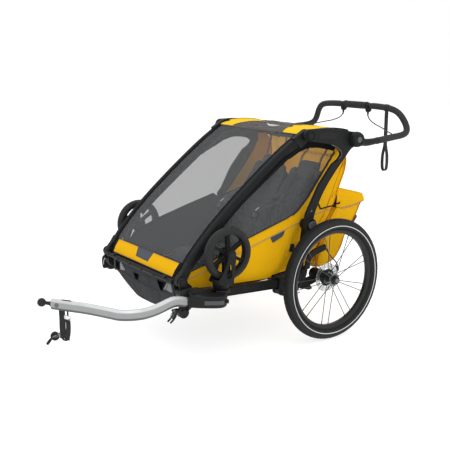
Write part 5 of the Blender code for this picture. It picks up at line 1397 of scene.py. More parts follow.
def top_bracket():
    """Bracket plate with a shallow bare recess, a round boss at its nose, the rear pillar and the latch housing."""
    out = Part()
    outline = (
        arc(P2, 0.0255, 225, 95, 12)
        + [(-0.060, 0.8560), (-0.030, 0.8570), (0.040, 0.8525), (0.100, 0.8445), (0.136, 0.8350)]
        + arc(TILT, 0.0300, 78, -66, 12)
        + [(0.140, 0.7670), (0.095, 0.7200), (0.059, 0.6830), (0.003, 0.6170), (-0.035, 0.5550), (-0.055, 0.5050), (-0.056, 0.4800)]
        + arc(P4, 0.0150, -30, -150, 6)
        + [(-0.0965, 0.4850), (-0.0985, 0.5120), (-0.067, 0.5680), (-0.030, 0.6320), (0.040, 0.7120), (0.062, 0.7220), (0.078, 0.7360), (0.0845, 0.7471), (0.0783, 0.7598), (0.0585, 0.7754), (0.0307, 0.7883), (0.0143, 0.7926), (-0.066, 0.8060)]
    )
    keep = {i for i, p in enumerate(outline) if (Vector(p) - Vector(P2)).length < 0.026 or (Vector(p) - Vector(TILT)).length < 0.0305 or (Vector(p) - Vector(P4)).length < 0.016}
    rad = [0.0 if i in keep else 0.018 for i in range(len(outline))]
    smooth = rounded(outline, rad, 5)
    recess = rounded([(-0.034, 0.8170), (0.058, 0.8085), (0.064, 0.8320), (-0.030, 0.8410)], 0.008, 5)
    out.add(plate(smooth, 0.2932, 0.3070, bevel=0.0035, res=3), 0)
    out.add(plate(smooth, 0.3030, 0.3088, [recess], 0.0026, 3), 0)
    inner = rounded([(-0.036, 0.8150), (0.060, 0.8062), (0.067, 0.8340), (-0.031, 0.8435)], 0.008, 5)
    out.add(plate(inner, 0.3050, 0.3074, bevel=0.0008), 2)
    # painted highlight: a pale bead along the opening behind the side window, in place of the light caught on the rim
    rim_highlight = curve_through([(0.3074, 0.0300, 0.7890), (0.3080, 0.0585, 0.7765), (0.3080, 0.0790, 0.7606), (0.3080, 0.0855, 0.7471), (0.3080, 0.0790, 0.7350), (0.3074, 0.0630, 0.7208)], 5)
    out.add(tube(rim_highlight, 0.0009, 10, round_caps=True), 3)
    # ringed boss at the nose
    out.add(turned([(0.3060, 0), (0.3060, 0.0215), (0.3096, 0.0212), (0.3128, 0.0204), (0.3144, 0.0208), (0.3150, 0.0198), (0.3146, 0.0186), (0.3112, 0.0178), (0.3112, 0.0150), (0.3146, 0.0142), (0.3152, 0.0080), (0.3148, 0)], (0, *P2), segs=56, soft=0.0007), 0)
    out.add(turned([(0.2700, 0), (0.2700, 0.0069), (0.2980, 0.0069), (0.2980, 0)], (0, *P2), segs=20), 1)
    # latch housing
    out.add(turned([(0.2932, 0), (0.2932, 0.0262), (0.3000, 0.0280), (0.3090, 0.0286), (0.3148, 0.0276), (0.3164, 0.0256), (0.3160, 0.0214), (0.3100, 0.0206), (0.3065, 0.0202), (0.3065, 0)], (0, *P4), segs=56, soft=0.0008), 0)
    # socket rim behind the handlebar hub and a web towards the pillar
    out.add(turned([(0.3040, 0), (0.3040, 0.0300), (0.3080, 0.0292), (0.3092, 0.0270), (0.3092, 0)], (0, *TILT), segs=56, soft=0.0008), 0)
    out.add(tube(curve_through([(0.3082, 0.118, 0.7530), (0.3086, 0.080, 0.7110), (0.3086, 0.030, 0.6550), (0.3086, -0.016, 0.5920), (0.3084, -0.050, 0.5280)], 6), lambda q: 0.0016, 8, round_caps=True), 0)
    for c in ((-0.070, 0.5300),):
        out.add(turned([(0.3080, 0), (0.3080, 0.0045), (0.3098, 0.0040), (0.3098, 0.0018), (0.3090, 0.0016), (0.3090, 0)], (0, *c), segs=20, soft=0.0004), 1)
    return out


pair("top_bracket", top_bracket, [M_PLASTIC, M_DARK_STEEL, M_PLASTIC_S, M_RIM_HIGHLIGHT], ("rear_frame", "rear_frame"), "frame_plastic", ["top_bracket"])


def rear_crossbar():
    out = Part()
    out.add(tube([(-0.2926 + 0.5852 * k / 24, *TILT) for k in range(25)], 0.0110, 24), 0)
    for s in (1, -1):
        out.add(turned([(s * 0.2600, 0.0108), (s * 0.2600, 0.0135), (s * 0.2925, 0.0150), (s * 0.2926, 0)], (0, *TILT), segs=32, soft=0.0015), 1)
    return out


piece("rear_cross_bar", rear_crossbar(), [M_FRAME, M_PLASTIC], "rear_frame", "frame_tube", ["rear_crossbar"])


def fold_knob():
    """Latch button with a raised rim, a dished face and grip ribs."""
    def ribs(i, t, r):
        return r * (1.0 + (0.018 * math.cos(20 * t) if i in (2, 3, 4, 5) else 0.0))
    prof = [(0.3070, 0), (0.3070, 0.0157), (0.3196, 0.0157), (0.3204, 0.0183), (0.3220, 0.0187), (0.3262, 0.0187), (0.3278, 0.0178), (0.3284, 0.0162), (0.3278, 0.0148), (0.3262, 0.0140), (0.3262, 0.0100), (0.3268, 0.0092), (0.3276, 0.0060), (0.3277, 0)]
    return Part().add(lathe(prof, (0, *P4), segs=100, mod=ribs), 0)


pair("fold_knob", fold_knob, M_PLASTIC_G, bodies("fold_knob"), "knob_plastic", ["fold_knob"])


def rear_stay():
    ang = math.atan2(P4[1] - P5[1], P4[0] - P5[0])
    L = math.hypot(P4[0] - P5[0], P4[1] - P5[1])
    def q(u, n):
        return (P5[0] + u * math.cos(ang) - n * math.sin(ang), P5[1] + u * math.sin(ang) + n * math.cos(ang))
    out = Part()
    local = arc((0, 0), 0.0180, 42, 318, 24) + [(0.040, -0.0108)] + arc((L, 0), 0.0155, -135, 135, 24) + [(0.040, 0.0108)]
    outline = [q(u, n) for u, n in local]
    out.add(plate(outline, 0.2664, 0.2901, [circle(P5, 0.0067, 24)], 0.0040, 3), 0)
    groove = [q(u, n) for u, n in rounded([(0.035, -0.0042), (L - 0.030, -0.0042), (L - 0.030, 0.0042), (0.035, 0.0042)], 0.004)]
    out.add(plate(groove, 0.2898, 0.2908, bevel=0.0004), 1)
    # drum of the fold latch
    out.add(turned([(0.2644, 0), (0.2644, 0.0205), (0.2670, 0.0222), (0.2890, 0.0222), (0.2915, 0.0208), (0.2915, 0)], (0, *P4), segs=56, soft=0.0010), 0)
    return out


pair("rear_stay", rear_stay, [M_FRAME, M_PLASTIC], ("rear_stays", "rear_stays"), "frame_tube", ["rear_stay"])

# ---------------------------------------------------------------- handlebar
BAR_HALF = [
    (0.3255, 0.155, 0.7950), (0.3260, 0.205, 0.7875), (0.3240, 0.290, 0.7930), (0.3175, 0.369, 0.7990), (0.3105, 0.423, 0.8022),
    (0.3045, 0.456, 0.8082), (0.2980, 0.4730, 0.8195), (0.2900, 0.4785, 0.8367), (0.2790, 0.4765, 0.8576), (0.2640, 0.4715, 0.8792), (0.2450, 0.4665, 0.8954), (0.2210, 0.4620, 0.9051), (0.1900, 0.4600, 0.9100), (0.1500, 0.4600, 0.9125), (0.0950, 0.4600, 0.9135)]


def handlebar():
    out = Part()
    full = BAR_HALF + [(-x, y, z) for x, y, z in reversed(BAR_HALF)]
    line = resample(curve_through(full, 8), 0.008)
    lens = [0.0]
    for a, b in zip(line, line[1:]):
        lens.append(lens[-1] + (b - a).length)
    out.add(tube(line, 0.0122, 26), 0)
    # foam sleeves from each leg round the corner to the clamps
    for s in (1, -1):
        foam = [p for p in line if p.x * s > 0.0880 and p.y > 0.262]
        if s < 0:
            foam = foam[::-1]
        k = len(foam)
        out.add(tube(foam, lambda q: 0.0124 + 0.0014 * min(1.0, q * 40, (1 - q) * 40), 30), 1)
        # moulded stop ring where the foam starts
        d = (foam[1] - foam[0]).normalized()
        out.add(tube([foam[0] - d * 0.006, foam[0] - d * 0.0045, foam[0] + d * 0.003, foam[0] + d * 0.0042], lambda q: 0.0144 if 0.2 < q < 0.8 else 0.0134, 30), 2)
        # hub that turns on the bracket
        hub = [(0, 0), (0, 0.0296), (0.0014, 0.0310), (0.0060, 0.0316), (0.0150, 0.0314), (0.0205, 0.0304), (0.0250, 0.0288), (0.0280, 0.0272), (0.0296, 0.0252), (0.0298, 0.0212), (0.0292, 0.0150), (0.0292, 0.0136), (0.0200, 0.0132), (0.0200, 0)]
        out.add(lathe([(a * s, r) for a, r in hub], (s * 0.3095, *TILT), (1, 0, 0), 64), 2)
        out.add(turned([(s * 0.0058, 0.0308), (s * 0.0064, 0.0320), (s * 0.0078, 0.0320), (s * 0.0084, 0.0308)], (s * 0.3095, *TILT), (1, 0, 0), 64, 0.0003), 2)
        # neck between the hub and the tube
        out.add(tube([(s * 0.3255, 0.168, 0.7935), (s * 0.3258, 0.184, 0.7905), (s * 0.3260, 0.205, 0.7880), (s * 0.3258, 0.230, 0.7886), (s * 0.3252, 0.262, 0.7910)], lambda q: 0.0172 - 0.0042 * q, 28), 2)
        # clamp with the cable's exit, beside the twist sleeve
        y, z = GRIP
        low = hull([(y - 0.0155, 0.9010), (y + 0.0155, 0.9010), (y + 0.0155, 0.9200), (y, 0.9290), (y - 0.0155, 0.9200), (y - 0.012, 0.8850), (y + 0.008, 0.8850)])
        out.add(plate(rounded(low, 0.010, 5), s * 0.0790 - 0.0078, s * 0.0790 + 0.0078, bevel=0.0028, res=3), 2)
        out.add(turned([(0, 0), (0, 0.0052), (0.0105, 0.0044), (0.0110, 0.0)], (s * 0.0795, 0.4570, 0.8880), (0, -0.1, -1), 24, 0.001), 2)
        out.add(turned([(0, 0), (0, 0.0034), (0.0024, 0.0030), (0.0024, 0.0012), (0.0016, 0.0012), (0.0016, 0)], (s * 0.0790, y + 0.0150, 0.9100), (0, 1, 0), 18, 0.0003), 3)
    # webbing collar of the wrist strap
    out.add(tube([(0.1800, 0.4600, 0.9106), (0.1830, 0.4600, 0.9105), (0.1960, 0.4600, 0.9095), (0.2000, 0.4601, 0.9090)], lambda q: 0.0158 if 0.15 < q < 0.9 else 0.0150, 28), 4)
    out.add(plate(rounded([(0.4505, 0.8870), (0.4675, 0.8870), (0.4675, 0.8975), (0.4505, 0.8975)], 0.003), 0.1868, 0.1932, bevel=0.0015), 4)
    return out


piece("handlebar", handlebar(), [M_PLASTIC_S, M_FOAM, M_PLASTIC, M_DARK_STEEL, M_WEB], "handlebar", "frame_plastic", ["handlebar_tube"])


def tilt_button():
    prof = [(0.3354, 0), (0.3354, 0.0122), (0.3386, 0.0122), (0.3402, 0.0116), (0.3410, 0.0102), (0.3406, 0.0084), (0.3398, 0.0066), (0.3396, 0.0040), (0.3400, 0.0)]
    return Part().add(lathe(prof, (0, *TILT), segs=48), 0)


pair("tilt_button", tilt_button, M_PLASTIC_G, bodies("tilt_button"), "button_plastic", ["tilt_button"])


def twist_sleeve():
    """Rubber sleeve with long grip ribs between two end flanges."""
    n = 72
    prof = [(-0.0705, 0.0130), (-0.0705, 0.0164), (-0.0698, 0.0172), (-0.0680, 0.0173), (-0.0668, 0.0168), (-0.0655, 0.0156), (-0.0635, 0.0154), (-0.0615, 0.0160), (-0.03, 0.0161), (0.0, 0.0161), (0.03, 0.0161), (0.0615, 0.0160), (0.0635, 0.0154), (0.0655, 0.0156), (0.0668, 0.0168), (0.0680, 0.0173), (0.0698, 0.0172), (0.0705, 0.0164), (0.0705, 0.0130)]

    def ribs(i, t, r):
        return r - (0.0007 if 7 <= i <= 11 and int(round(t / (2 * math.pi) * n)) % 3 == 0 else 0.0)

    return Part().add(lathe(prof, (0, *GRIP), segs=n, ring=True, mod=ribs), 0)


piece("twist_sleeve", twist_sleeve(), M_RUBBER_S, "twist_grip", "grip_rubber", ["twist_grip"])

# ---------------------------------------------------------------- tow arm
BEND, BEND_R, BEND_Y, ARM_RUN = math.radians(50), 0.110, -0.845, 0.2500


def arm_line(fine=True):
    rear = ((-0.6200, 0.0), (-0.6600, 0.0), (-0.6730, 0.0004), (-0.6840, 0.0022), (-0.6960, 0.0058), (-0.7080, 0.0088), (-0.7200, 0.0100), (-0.7330, 0.0092), (-0.7480, 0.0060), (-0.7700, 0.0002), (-0.7920, -0.0052), (-0.8180, -0.0092), (BEND_Y, -0.0110))
    pts = [Vector((ARM_X, y, ARM_Z + h)) for y, h in rear]
    n = 22
    for k in range(1, n + 1):
        t = BEND * k / n
        pts.append(Vector((ARM_X - BEND_R * (1 - math.cos(t)), BEND_Y - BEND_R * math.sin(t), ARM_Z - 0.0110 + 0.0006 * (k / n) ** 2)))
    x, y, z = pts[-1]
    for k in range(1, 17):
        q = k / 16
        pts.append(Vector((x - math.sin(BEND) * ARM_RUN * q, y - math.cos(BEND) * ARM_RUN * q, ARM_Z - 0.0104 * max(0.0, 1 - q / 0.55) ** 1.6 + 0.0105 * q ** 1.5)))
    return pts


ARM = arm_line()
END = ARM[-1]
AHEAD = Vector((-math.sin(BEND), -math.cos(BEND), 0.04)).normalized()
FLAT = Vector((AHEAD.x, AHEAD.y, 0)).normalized()
ACROSS = Vector((0, 0, 1)).cross(AHEAD).normalized()


def tow_arm():
    """Extruded aluminium arm with broad bevels, a rear pin hole and a capped front end."""
    out = Part()
    w, h, c, e = ARM_W / 2 - 0.0002, ARM_H / 2 - 0.0002, 0.0068, 0.0014
    corners = [(w, -h + c * 1.5), (w, h - c * 1.2), (w - c, h), (-w + c, h), (-w, h - c * 1.2), (-w, -h + c * 1.5), (-w + c, -h), (w - c, -h)]
    section = rounded(corners, e, 2)
    out.add(sweep(ARM, section), 0)
    # dark rear plug, shallow slot and locking bolt near the front end
    side = ACROSS
    p = END - AHEAD * 0.0230
    out.add(turned([(-0.0148, 0), (-0.0148, 0.0052), (-0.0136, 0.0058), (-0.0126, 0.0058), (-0.0126, 0)], p, side, 6, 0.0004), 1)
    out.add(turned([(0.0126, 0), (0.0126, 0.0058), (0.0136, 0.0058), (0.0148, 0.0052), (0.0148, 0.0022), (0.0138, 0.0020), (0.0138, 0)], p, side, 28, 0.0004), 1)
    out.add(turned([(0.0124, 0.0052), (0.0124, 0.0085), (0.0131, 0.0085), (0.0133, 0.0052)], p, side, 32, 0.0002), 1)
    q = END - AHEAD * 0.0560
    slot = [q + AHEAD * u + Vector((0, 0, ARM_H / 2 + 0.0001)) for u in (-0.020, -0.012, 0.0, 0.012, 0.020)]
    out.add(sweep(slot, [(-0.0038, -0.0008), (0.0038, -0.0008), (0.0034, 0.0003), (-0.0034, 0.0003)], scale=lambda t: (min(1.0, 0.35 + 4 * min(t, 1 - t)), 1.0)), 2)
    # black insert that closes the front end
    out.add(sweep([END - AHEAD * 0.004, END - AHEAD * 0.0004, END + AHEAD * 0.0004], rounded([(a * 0.93, b * 0.95) for a, b in corners], e, 2)), 2)
    return out


piece("tow_arm_tube", tow_arm(), [M_ALU, M_DARK_STEEL, M_PLASTIC], "tow_arm", "arm_alloy", ["tow_arm"], angle=30)


def ball():
    r, reach = 0.0158, 0.0410
    prof = [(0.0006, 0), (0.0006, 0.0100), (0.0014, 0.0105), (0.0054, 0.0105), (0.0064, 0.0096), (0.0084, 0.0074), (0.0120, 0.0067), (reach - 0.0160, 0.0066), (reach - 0.0146, 0.0070)]
    for k in range(4, 19):
        t = math.pi * k / 18
        prof.append((reach - r * math.cos(t), r * math.sin(t) if k < 18 else 0.0))
    out = Part().add(lathe(prof, END, AHEAD, 48), 0)
    # flange bolts
    for k in range(2):
        c = END + AHEAD * 0.0054 + ACROSS * (0.0072 if k else -0.0072)
        out.add(turned([(0, 0), (0, 0.0022), (0.0012, 0.0020), (0.0012, 0)], c, AHEAD, 6, 0.0002), 1)
    return out


piece("hitch_ball_joint", ball(), [M_RUBBER_S, M_DARK_STEEL], "tow_arm", "hitch_rubber", ["hitch_ball"])

HANG = END - AHEAD * 0.0300


def hang(u, d, z):
    return Vector((HANG.x, HANG.y, HANG.z - ARM_H / 2 - 0.0024 - z)) + FLAT * u + ACROSS * d


def safety_strap():
    """Webbing that hangs from the arm, folds under at its foot and comes back up beside itself to a bright ring."""
    out = Part()
    path = [hang(-0.0072, wave(z, (0.0006, 0.05, 0.4)), z) for z in (0.0, 0.012, 0.024, 0.036, 0.048, 0.060, 0.072, 0.084, 0.096, 0.104)]
    out.add(sweep(path, [(b, a) for a, b in strap_section(0.0245, 0.0022)], up=FLAT), 0)
    back = [hang(u, d, z) for u, d, z in ((-0.0230, 0.0010, 0.108), (-0.0262, 0.0032, 0.0960), (-0.0292, 0.0042, 0.0840), (-0.0312, 0.0046, 0.0700), (-0.0320, 0.0046, 0.0560), (-0.0318, 0.0042, 0.0440), (-0.0308, 0.0036, 0.0340), (-0.0300, 0.0030, 0.0270))]
    out.add(sweep(curve_through(back, 3), [(b, a) for a, b in strap_section(0.0190, 0.0022)], up=FLAT), 0)
    fold = [hang(u, d, z) for u, d, z in ((-0.0040, 0.0010, 0.1030), (-0.0100, 0.0030, 0.1072), (-0.0180, 0.0034, 0.1085), (-0.0250, 0.0020, 0.1072))]
    out.add(sweep(curve_through(fold, 3), [(b, a) for a, b in strap_section(0.0070, 0.0046)], up=Z), 0)
    stub = [hang(u, 0.0, z) for u, z in ((-0.0290, 0.0), (-0.0290, 0.009), (-0.0292, 0.018))]
    out.add(sweep(stub, [(b, a) for a, b in strap_section(0.0070, 0.0022)], up=FLAT), 0)
    for z in (0.090, 0.0965):
        for k in range(8):
            u = -0.0095 + 0.019 * k / 7 - 0.0072
            out.add(tube([hang(u - 0.0006, 0.0013, z - 0.001), hang(u + 0.0006, 0.0013, z + 0.001)], 0.0003, 6), 1)
            out.add(tube([hang(u - 0.0006, -0.0013, z - 0.001), hang(u + 0.0006, -0.0013, z + 0.001)], 0.0003, 6), 1)
    ob = piece("safety_webbing", out, [M_WEB, M_SPOKE], "tow_arm", "webbing", ["safety_strap"], weighted=False)
    return ob


safety_strap()


def coupling_pin():
    """Cup washer, bright cross pin, ring and paddle lever on the strap's lower end."""
    out = Part()
    # wire ring through the strap's lower fold
    ring = rounded([(-0.0420, 0.0190), (-0.0180, 0.0150), (-0.0175, 0.0270), (-0.0415, 0.0310)], 0.004, 4)
    out.add(tube([hang(u, 0.0034, z) for u, z in ring], 0.0017, 10, closed=True), 2)
    c = hang(0.0030, 0.0040, 0.0860)
    d = (FLAT * 0.0300 - Vector((0, 0, 0.0160))).normalized()
    out.add(turned([(-0.004, 0), (-0.004, 0.0044), (0.0, 0.0052), (0.006, 0.0052), (0.0080, 0.0040), (0.0320, 0.0038), (0.0340, 0.0026), (0.0340, 0)], c, d, 28, 0.0006), 1)
    m = c + FLAT * 0.0200 - Vector((0, 0, 0.0110))
    out.add(lathe([(-0.0058, 0.0), (-0.0058, 0.0150), (-0.0048, 0.0166), (-0.0028, 0.0170), (0.0040, 0.0158), (0.0058, 0.0125), (0.0040, 0.0105), (0.0022, 0.0085), (0.0016, 0.0)], m, ACROSS, 44), 0)
    tip = c + FLAT * 0.0290 - Vector((0, 0, 0.0150))
    lever = [tip + (FLAT * 0.0220 - Vector((0, 0, 0.0280))) * q for q in (-0.05, 0.1, 0.3, 0.5, 0.7, 0.85, 0.97)]
    out.add(tube(lever, lambda q: 0.0030 + 0.0026 * math.sin(min(1.0, q * 1.15) * math.pi * 0.62), 20, round_caps=True, squash=0.62, up=ACROSS), 0)
    out.add(tube(curve_through([hang(-0.001, 0.003, 0.082), hang(0.006, 0.0085, 0.092), hang(0.015, 0.0090, 0.099), hang(0.023, 0.0055, 0.103)], 5), 0.0012, 8), 1)
    return out


piece("coupling_pin_set", coupling_pin(), [M_PLASTIC_S, M_SPOKE, M_STEEL], "tow_arm", "pin_steel", ["coupling_pin"])

# ---------------------------------------------------------------- soft goods


def on(points, to3d, step=0.006, lift=(0, 0, 0)):
    """A line drawn on a surface: straight runs between flat points, mapped to space."""
    lift = Vector(lift)
    out = []
    for a, b in zip(points, points[1:]):
        a, b = Vector((a[0], a[1])), Vector((b[0], b[1]))
        k = max(1, int(math.ceil((b - a).length / step)))
        for j in range(k):
            q = a.lerp(b, j / k)
            out.append(Vector(to3d(q.x, q.y)) + lift)
    out.append(Vector(to3d(points[-1][0], points[-1][1])) + lift)
    return out


def stitches(out, path, gap, r, up, mat):
    """Raised stitches along a line, each a small spindle of thread."""
    pts = resample(path, gap)
    up = Vector(up).normalized()
    for a0, b0 in zip(pts, pts[1:]):
        a, b = a0.lerp(b0, 0.15), a0.lerp(b0, 0.80)
        s = (b - a).cross(up).normalized() * r
        h = up * r
        verts = [a, b]
        for q in (0.25, 0.75):
            m = a.lerp(b, q) + h * 0.35
            verts += [m + s, m + h, m - s, m - h * 0.6]
        faces = []
        for k in range(4):
            j = (k + 1) % 4
            faces += [(0, 2 + k, 2 + j), (2 + k, 6 + k, 6 + j, 2 + j), (6 + k, 1, 6 + j)]
        out.add((verts, faces), mat)


def smooth(t):
    t = min(1.0, max(0.0, t))
    return t * t * (3 - 2 * t)


def along(line, v, back=False):
    """Interpolates a list of pairs by its first or second number."""
    i, j = (1, 0) if back else (0, 1)
    pts = sorted(line, key=lambda p: p[i])
    if v <= pts[0][i]:
        return pts[0][j]
    for a, b in zip(pts, pts[1:]):
        if v <= b[i]:
            return a[j] + (b[j] - a[j]) * (v - a[i]) / max(1e-9, b[i] - a[i])
    return pts[-1][j]


def edge_distance(p, loop):
    best = 1e9
    for i in range(len(loop)):
        a, b = Vector(loop[i]), Vector(loop[(i + 1) % len(loop)])
        d = b - a
        t = min(1.0, max(0.0, (p - a).dot(d) / max(1e-12, d.length_squared)))
        best = min(best, (p - a - d * t).length)
    return best


PIPE_BLUE = woven("slate_piping", (0.070, 0.085, 0.140), X, Z, pitch=0.0008, wrinkle=0.0, rough=0.6, sheen=0.0)
PIPE_BROWN = woven("taupe_seam", (0.16, 0.125, 0.085), X, Z, pitch=0.0008, wrinkle=0.0, rough=0.6, sheen=0.0)
AMBER = woven("amber_seam", (0.52, 0.17, 0.010), Y, Z, pitch=0.0007, wrinkle=0.0, spec=0.1)
GREY_CLOTH = woven("pale_grey_mesh", (0.22, 0.22, 0.225), X, Z, pitch=0.0010, wrinkle=0.05, rough=0.6)
LINING = woven("grey_lining", (0.060, 0.062, 0.064), Y, Z, pitch=0.0012, wrinkle=0.1, spec=0.1, sheen=0.0)
WALL = lit_through(woven("yellow_wall_cloth", YELLOW, X, Z, wrinkle=0.2, spec=0.10, sheen=0.0), (0.95, 0.52, 0.03), 0.5)
LINER = woven("black_liner", (0.006, 0.006, 0.007), X, Z, pitch=0.0012, wrinkle=0.1, spec=0.08)

# ---------------------------------------------------------------- front cover
UPF = [(0.0, 0.0085)] + UP_FINE


def cover_at(x, u, lift=0.0):
    s = x / 0.262
    n = height(UPF, u) - 0.0030 + 0.0030 * (1 - s * s) * math.sin(math.pi * min(1.0, max(0.0, u / PILLAR_L))) + lift
    y, z = along_pillar(u, n)
    return Vector((x, y, z))


def front_cover():
    """Taut netting sewn to a cloth band along the foot, bound at the edges."""
    out = Part()
    edge = [(-0.2360, -0.0030), (0.2330, -0.0030), (0.2540, 0.0120), (0.2548, 0.0300), (0.2640, 0.0760), (0.2640, 0.7560), (-0.2640, 0.7560), (-0.2640, 0.0760), (-0.2548, 0.0300), (-0.2540, 0.0120)]
    band = [(-0.2370, 0.0565), (0.2365, 0.0555), (0.2305, 0.0025), (-0.2360, 0.0035)]
    patch = [(-0.0720, 0.0566), (0.0470, 0.0560), (0.0370, 0.0185), (-0.0570, 0.0205)]
    regions = [([(-0.28, -0.01), (0.28, -0.01), (0.28, 0.0250), (0.2480, 0.0600), (-0.2480, 0.0600), (-0.28, 0.0250)], 3),
               ([(-0.28, 0.03), (-0.2480, 0.03), (-0.2480, 0.77), (-0.28, 0.77)], 3), ([(0.2480, 0.03), (0.28, 0.03), (0.28, 0.77), (0.2480, 0.77)], 3),
               (band, 1), (patch, 2)]
    shape, mats = fabric_cut(edge, regions, 0.0105, cover_at, 0)
    out.add(shape, mats)
    nrm = Vector((0, -math.sin(PILLAR_A), math.cos(PILLAR_A)))
    out.add(tube(on([(-0.2380, 0.0575), (0.2375, 0.0565)], cover_at, 0.010, nrm * 0.0008), 0.0013, 8), 6)
    for line in ([(-0.2375, 0.0565), (-0.2366, 0.0030)], [(0.2370, 0.0555), (0.2311, 0.0020)]):
        out.add(tube(on(line, cover_at, 0.008, nrm * 0.0006), 0.0014, 8), 4)
    out.add(tube(on([(-0.2380, 0.0022), (0.2330, 0.0010)], cover_at, 0.010, nrm * 0.0008), 0.0020, 8), 4)
    out.add(tube(on([(-0.0750, 0.0602), (0.0500, 0.0596)], cover_at, 0.006, nrm * 0.0006), 0.0007, 6), 7)
    out.add(tube(on([patch[1], patch[2], patch[3], patch[0]], cover_at, 0.004, nrm * 0.0005), 0.0009, 8), 6)
    for s in (1, -1):
        out.add(tube(on([(s * 0.2548, 0.032), (s * 0.2632, 0.0760), (s * 0.2632, 0.7540)], cover_at, 0.012, nrm * 0.0006), 0.0022, 8), 3)
        stitches(out, on([(s * 0.2500, 0.070), (s * 0.2500, 0.745)], cover_at, 0.012, nrm * 0.0004), 0.0046, 0.00038, nrm, 8)
    for u0, u1, x0, x1 in ((0.0525, 0.0518, -0.2335, -0.0755), (0.0521, 0.0514, 0.0500, 0.2325), (0.0075, 0.0062, -0.2325, 0.2275)):
        stitches(out, on([(x0, u0), (x1, u1)], cover_at, 0.01, nrm * 0.0003), 0.0044, 0.00040, nrm, 5)
    ob = piece("front_cover_sheet", out, [NET_FRONT, FRONT, PATCH, BLACK_CLOTH, NAVY, THREAD, PIPE_BLUE, THREAD_DARK, SEAT_EDGE], "front_frame", "window_mesh", ["front_cover"], weighted=False, angle=70, outward=False)
    return ob


front_cover()

# ---------------------------------------------------------------- roof
ROOF_LINE = [tuple(p) for p in curve_through([(-0.1172, 0.8342), (-0.1000, 0.8424), (-0.0800, 0.8462), (-0.0550, 0.8488), (-0.0200, 0.8506), (0.0200, 0.8512), (0.0650, 0.8492), (0.1100, 0.8430), (0.1420, 0.8346), (0.1570, 0.8230)], 5)]


def roof_at(x, y, lift=0.0):
    z = along(ROOF_LINE, y) + lift
    z += 0.0030 * (1 - min(1.0, abs(x) / 0.262) ** 4) * smooth((y + 0.117) / 0.05)
    z += 0.0028 * smooth((abs(x) - 0.2620) / 0.024) * smooth((y + 0.055) / 0.03)
    z += 0.0007 * math.sin(x * 31 + y * 18) * smooth((y + 0.10) / 0.04)
    return Vector((x, y, z))


def roof():
    """One curved sheet from the head of the front cover to the rear bar, with a cloth wing at each side of the netting."""
    out = Part()
    edge = [(-0.2640, -0.1172), (0.2640, -0.1172), (0.2640, -0.0600), (0.2720, -0.0530), (0.2900, -0.0480), (0.2900, 0.1350), (0.2700, 0.1500), (0.2560, 0.1570), (-0.2560, 0.1570), (-0.2700, 0.1500), (-0.2900, 0.1350), (-0.2900, -0.0480), (-0.2720, -0.0530), (-0.2640, -0.0600)]
    inner = [(0.1700, -0.1130), (0.1420, -0.0580), (0.1470, -0.0460), (0.1080, 0.0000), (0.1280, 0.0180), (0.1120, 0.0500), (0.1300, 0.0760), (0.1300, 0.1450)]
    wing = [(0.30, -0.1130)] + inner + [(0.30, 0.1450)]
    regions = [([(-0.30, 0.1420), (0.30, 0.1420), (0.30, 0.17), (-0.30, 0.17)], 2),
               ([(0.2500, -0.13), (0.30, -0.13), (0.30, -0.1000), (0.2500, -0.1000)], 2), ([(-0.2500, -0.13), (-0.30, -0.13), (-0.30, -0.1000), (-0.2500, -0.1000)], 2),
               (wing, 1), ([(-x, y) for x, y in wing], 1)]
    shape, mats = fabric_cut(edge, regions, 0.0105, roof_at, 0)
    out.add(shape, mats)
    for s in (1, -1):
        out.add(tube(on([(s * x, y) for x, y in inner], roof_at, 0.004, (0, 0, 0.0005)), 0.0013, 8), 3)
        stitches(out, on([(s * (x + 0.005), y) for x, y in inner], roof_at, 0.006, (0, 0, 0.0003)), 0.0044, 0.0004, Z, 4)
        out.add(tube(on([(s * 0.2895, -0.0480), (s * 0.2895, 0.1345)], roof_at, 0.010), 0.0022, 8), 2)
        out.add(tube(on([(s * 0.0480, -0.1120), (s * 0.0480, 0.1420)], roof_at, 0.008, (0, 0, 0.0003)), 0.0007, 6), 5)
    out.add(tube(on([(-0.1700, -0.1130), (0.1700, -0.1130)], roof_at, 0.010, (0, 0, 0.0004)), 0.0007, 6), 5)
    out.add(tube(on([(-0.1250, 0.0290), (0.1250, 0.0290)], roof_at, 0.010, (0, 0, 0.0003)), 0.0007, 6), 5)
    out.add(tube(on([(-0.2630, -0.1166), (-0.1700, -0.1166)], roof_at, 0.012), 0.0014, 8), 3)
    out.add(tube(on([(0.1700, -0.1166), (0.2630, -0.1166)], roof_at, 0.012), 0.0014, 8), 3)
    out.add(tube(on([(-0.1700, -0.1166), (0.1700, -0.1166)], roof_at, 0.012), 0.0011, 8), 6)
    out.add(tube(on([(-0.2560, 0.1565), (0.2560, 0.1565)], roof_at, 0.012), 0.0020, 8), 2)
    ob = piece("roof_canopy_sheet", out, [NET_ROOF, ROOF, BLACK_CLOTH, NAVY, THREAD, THREAD_DARK, PIPE_BROWN], None, "roof_fabric", ["roof_canopy"], weighted=False, angle=70, outward=False)
    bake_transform(ob)
    return ob


roof()

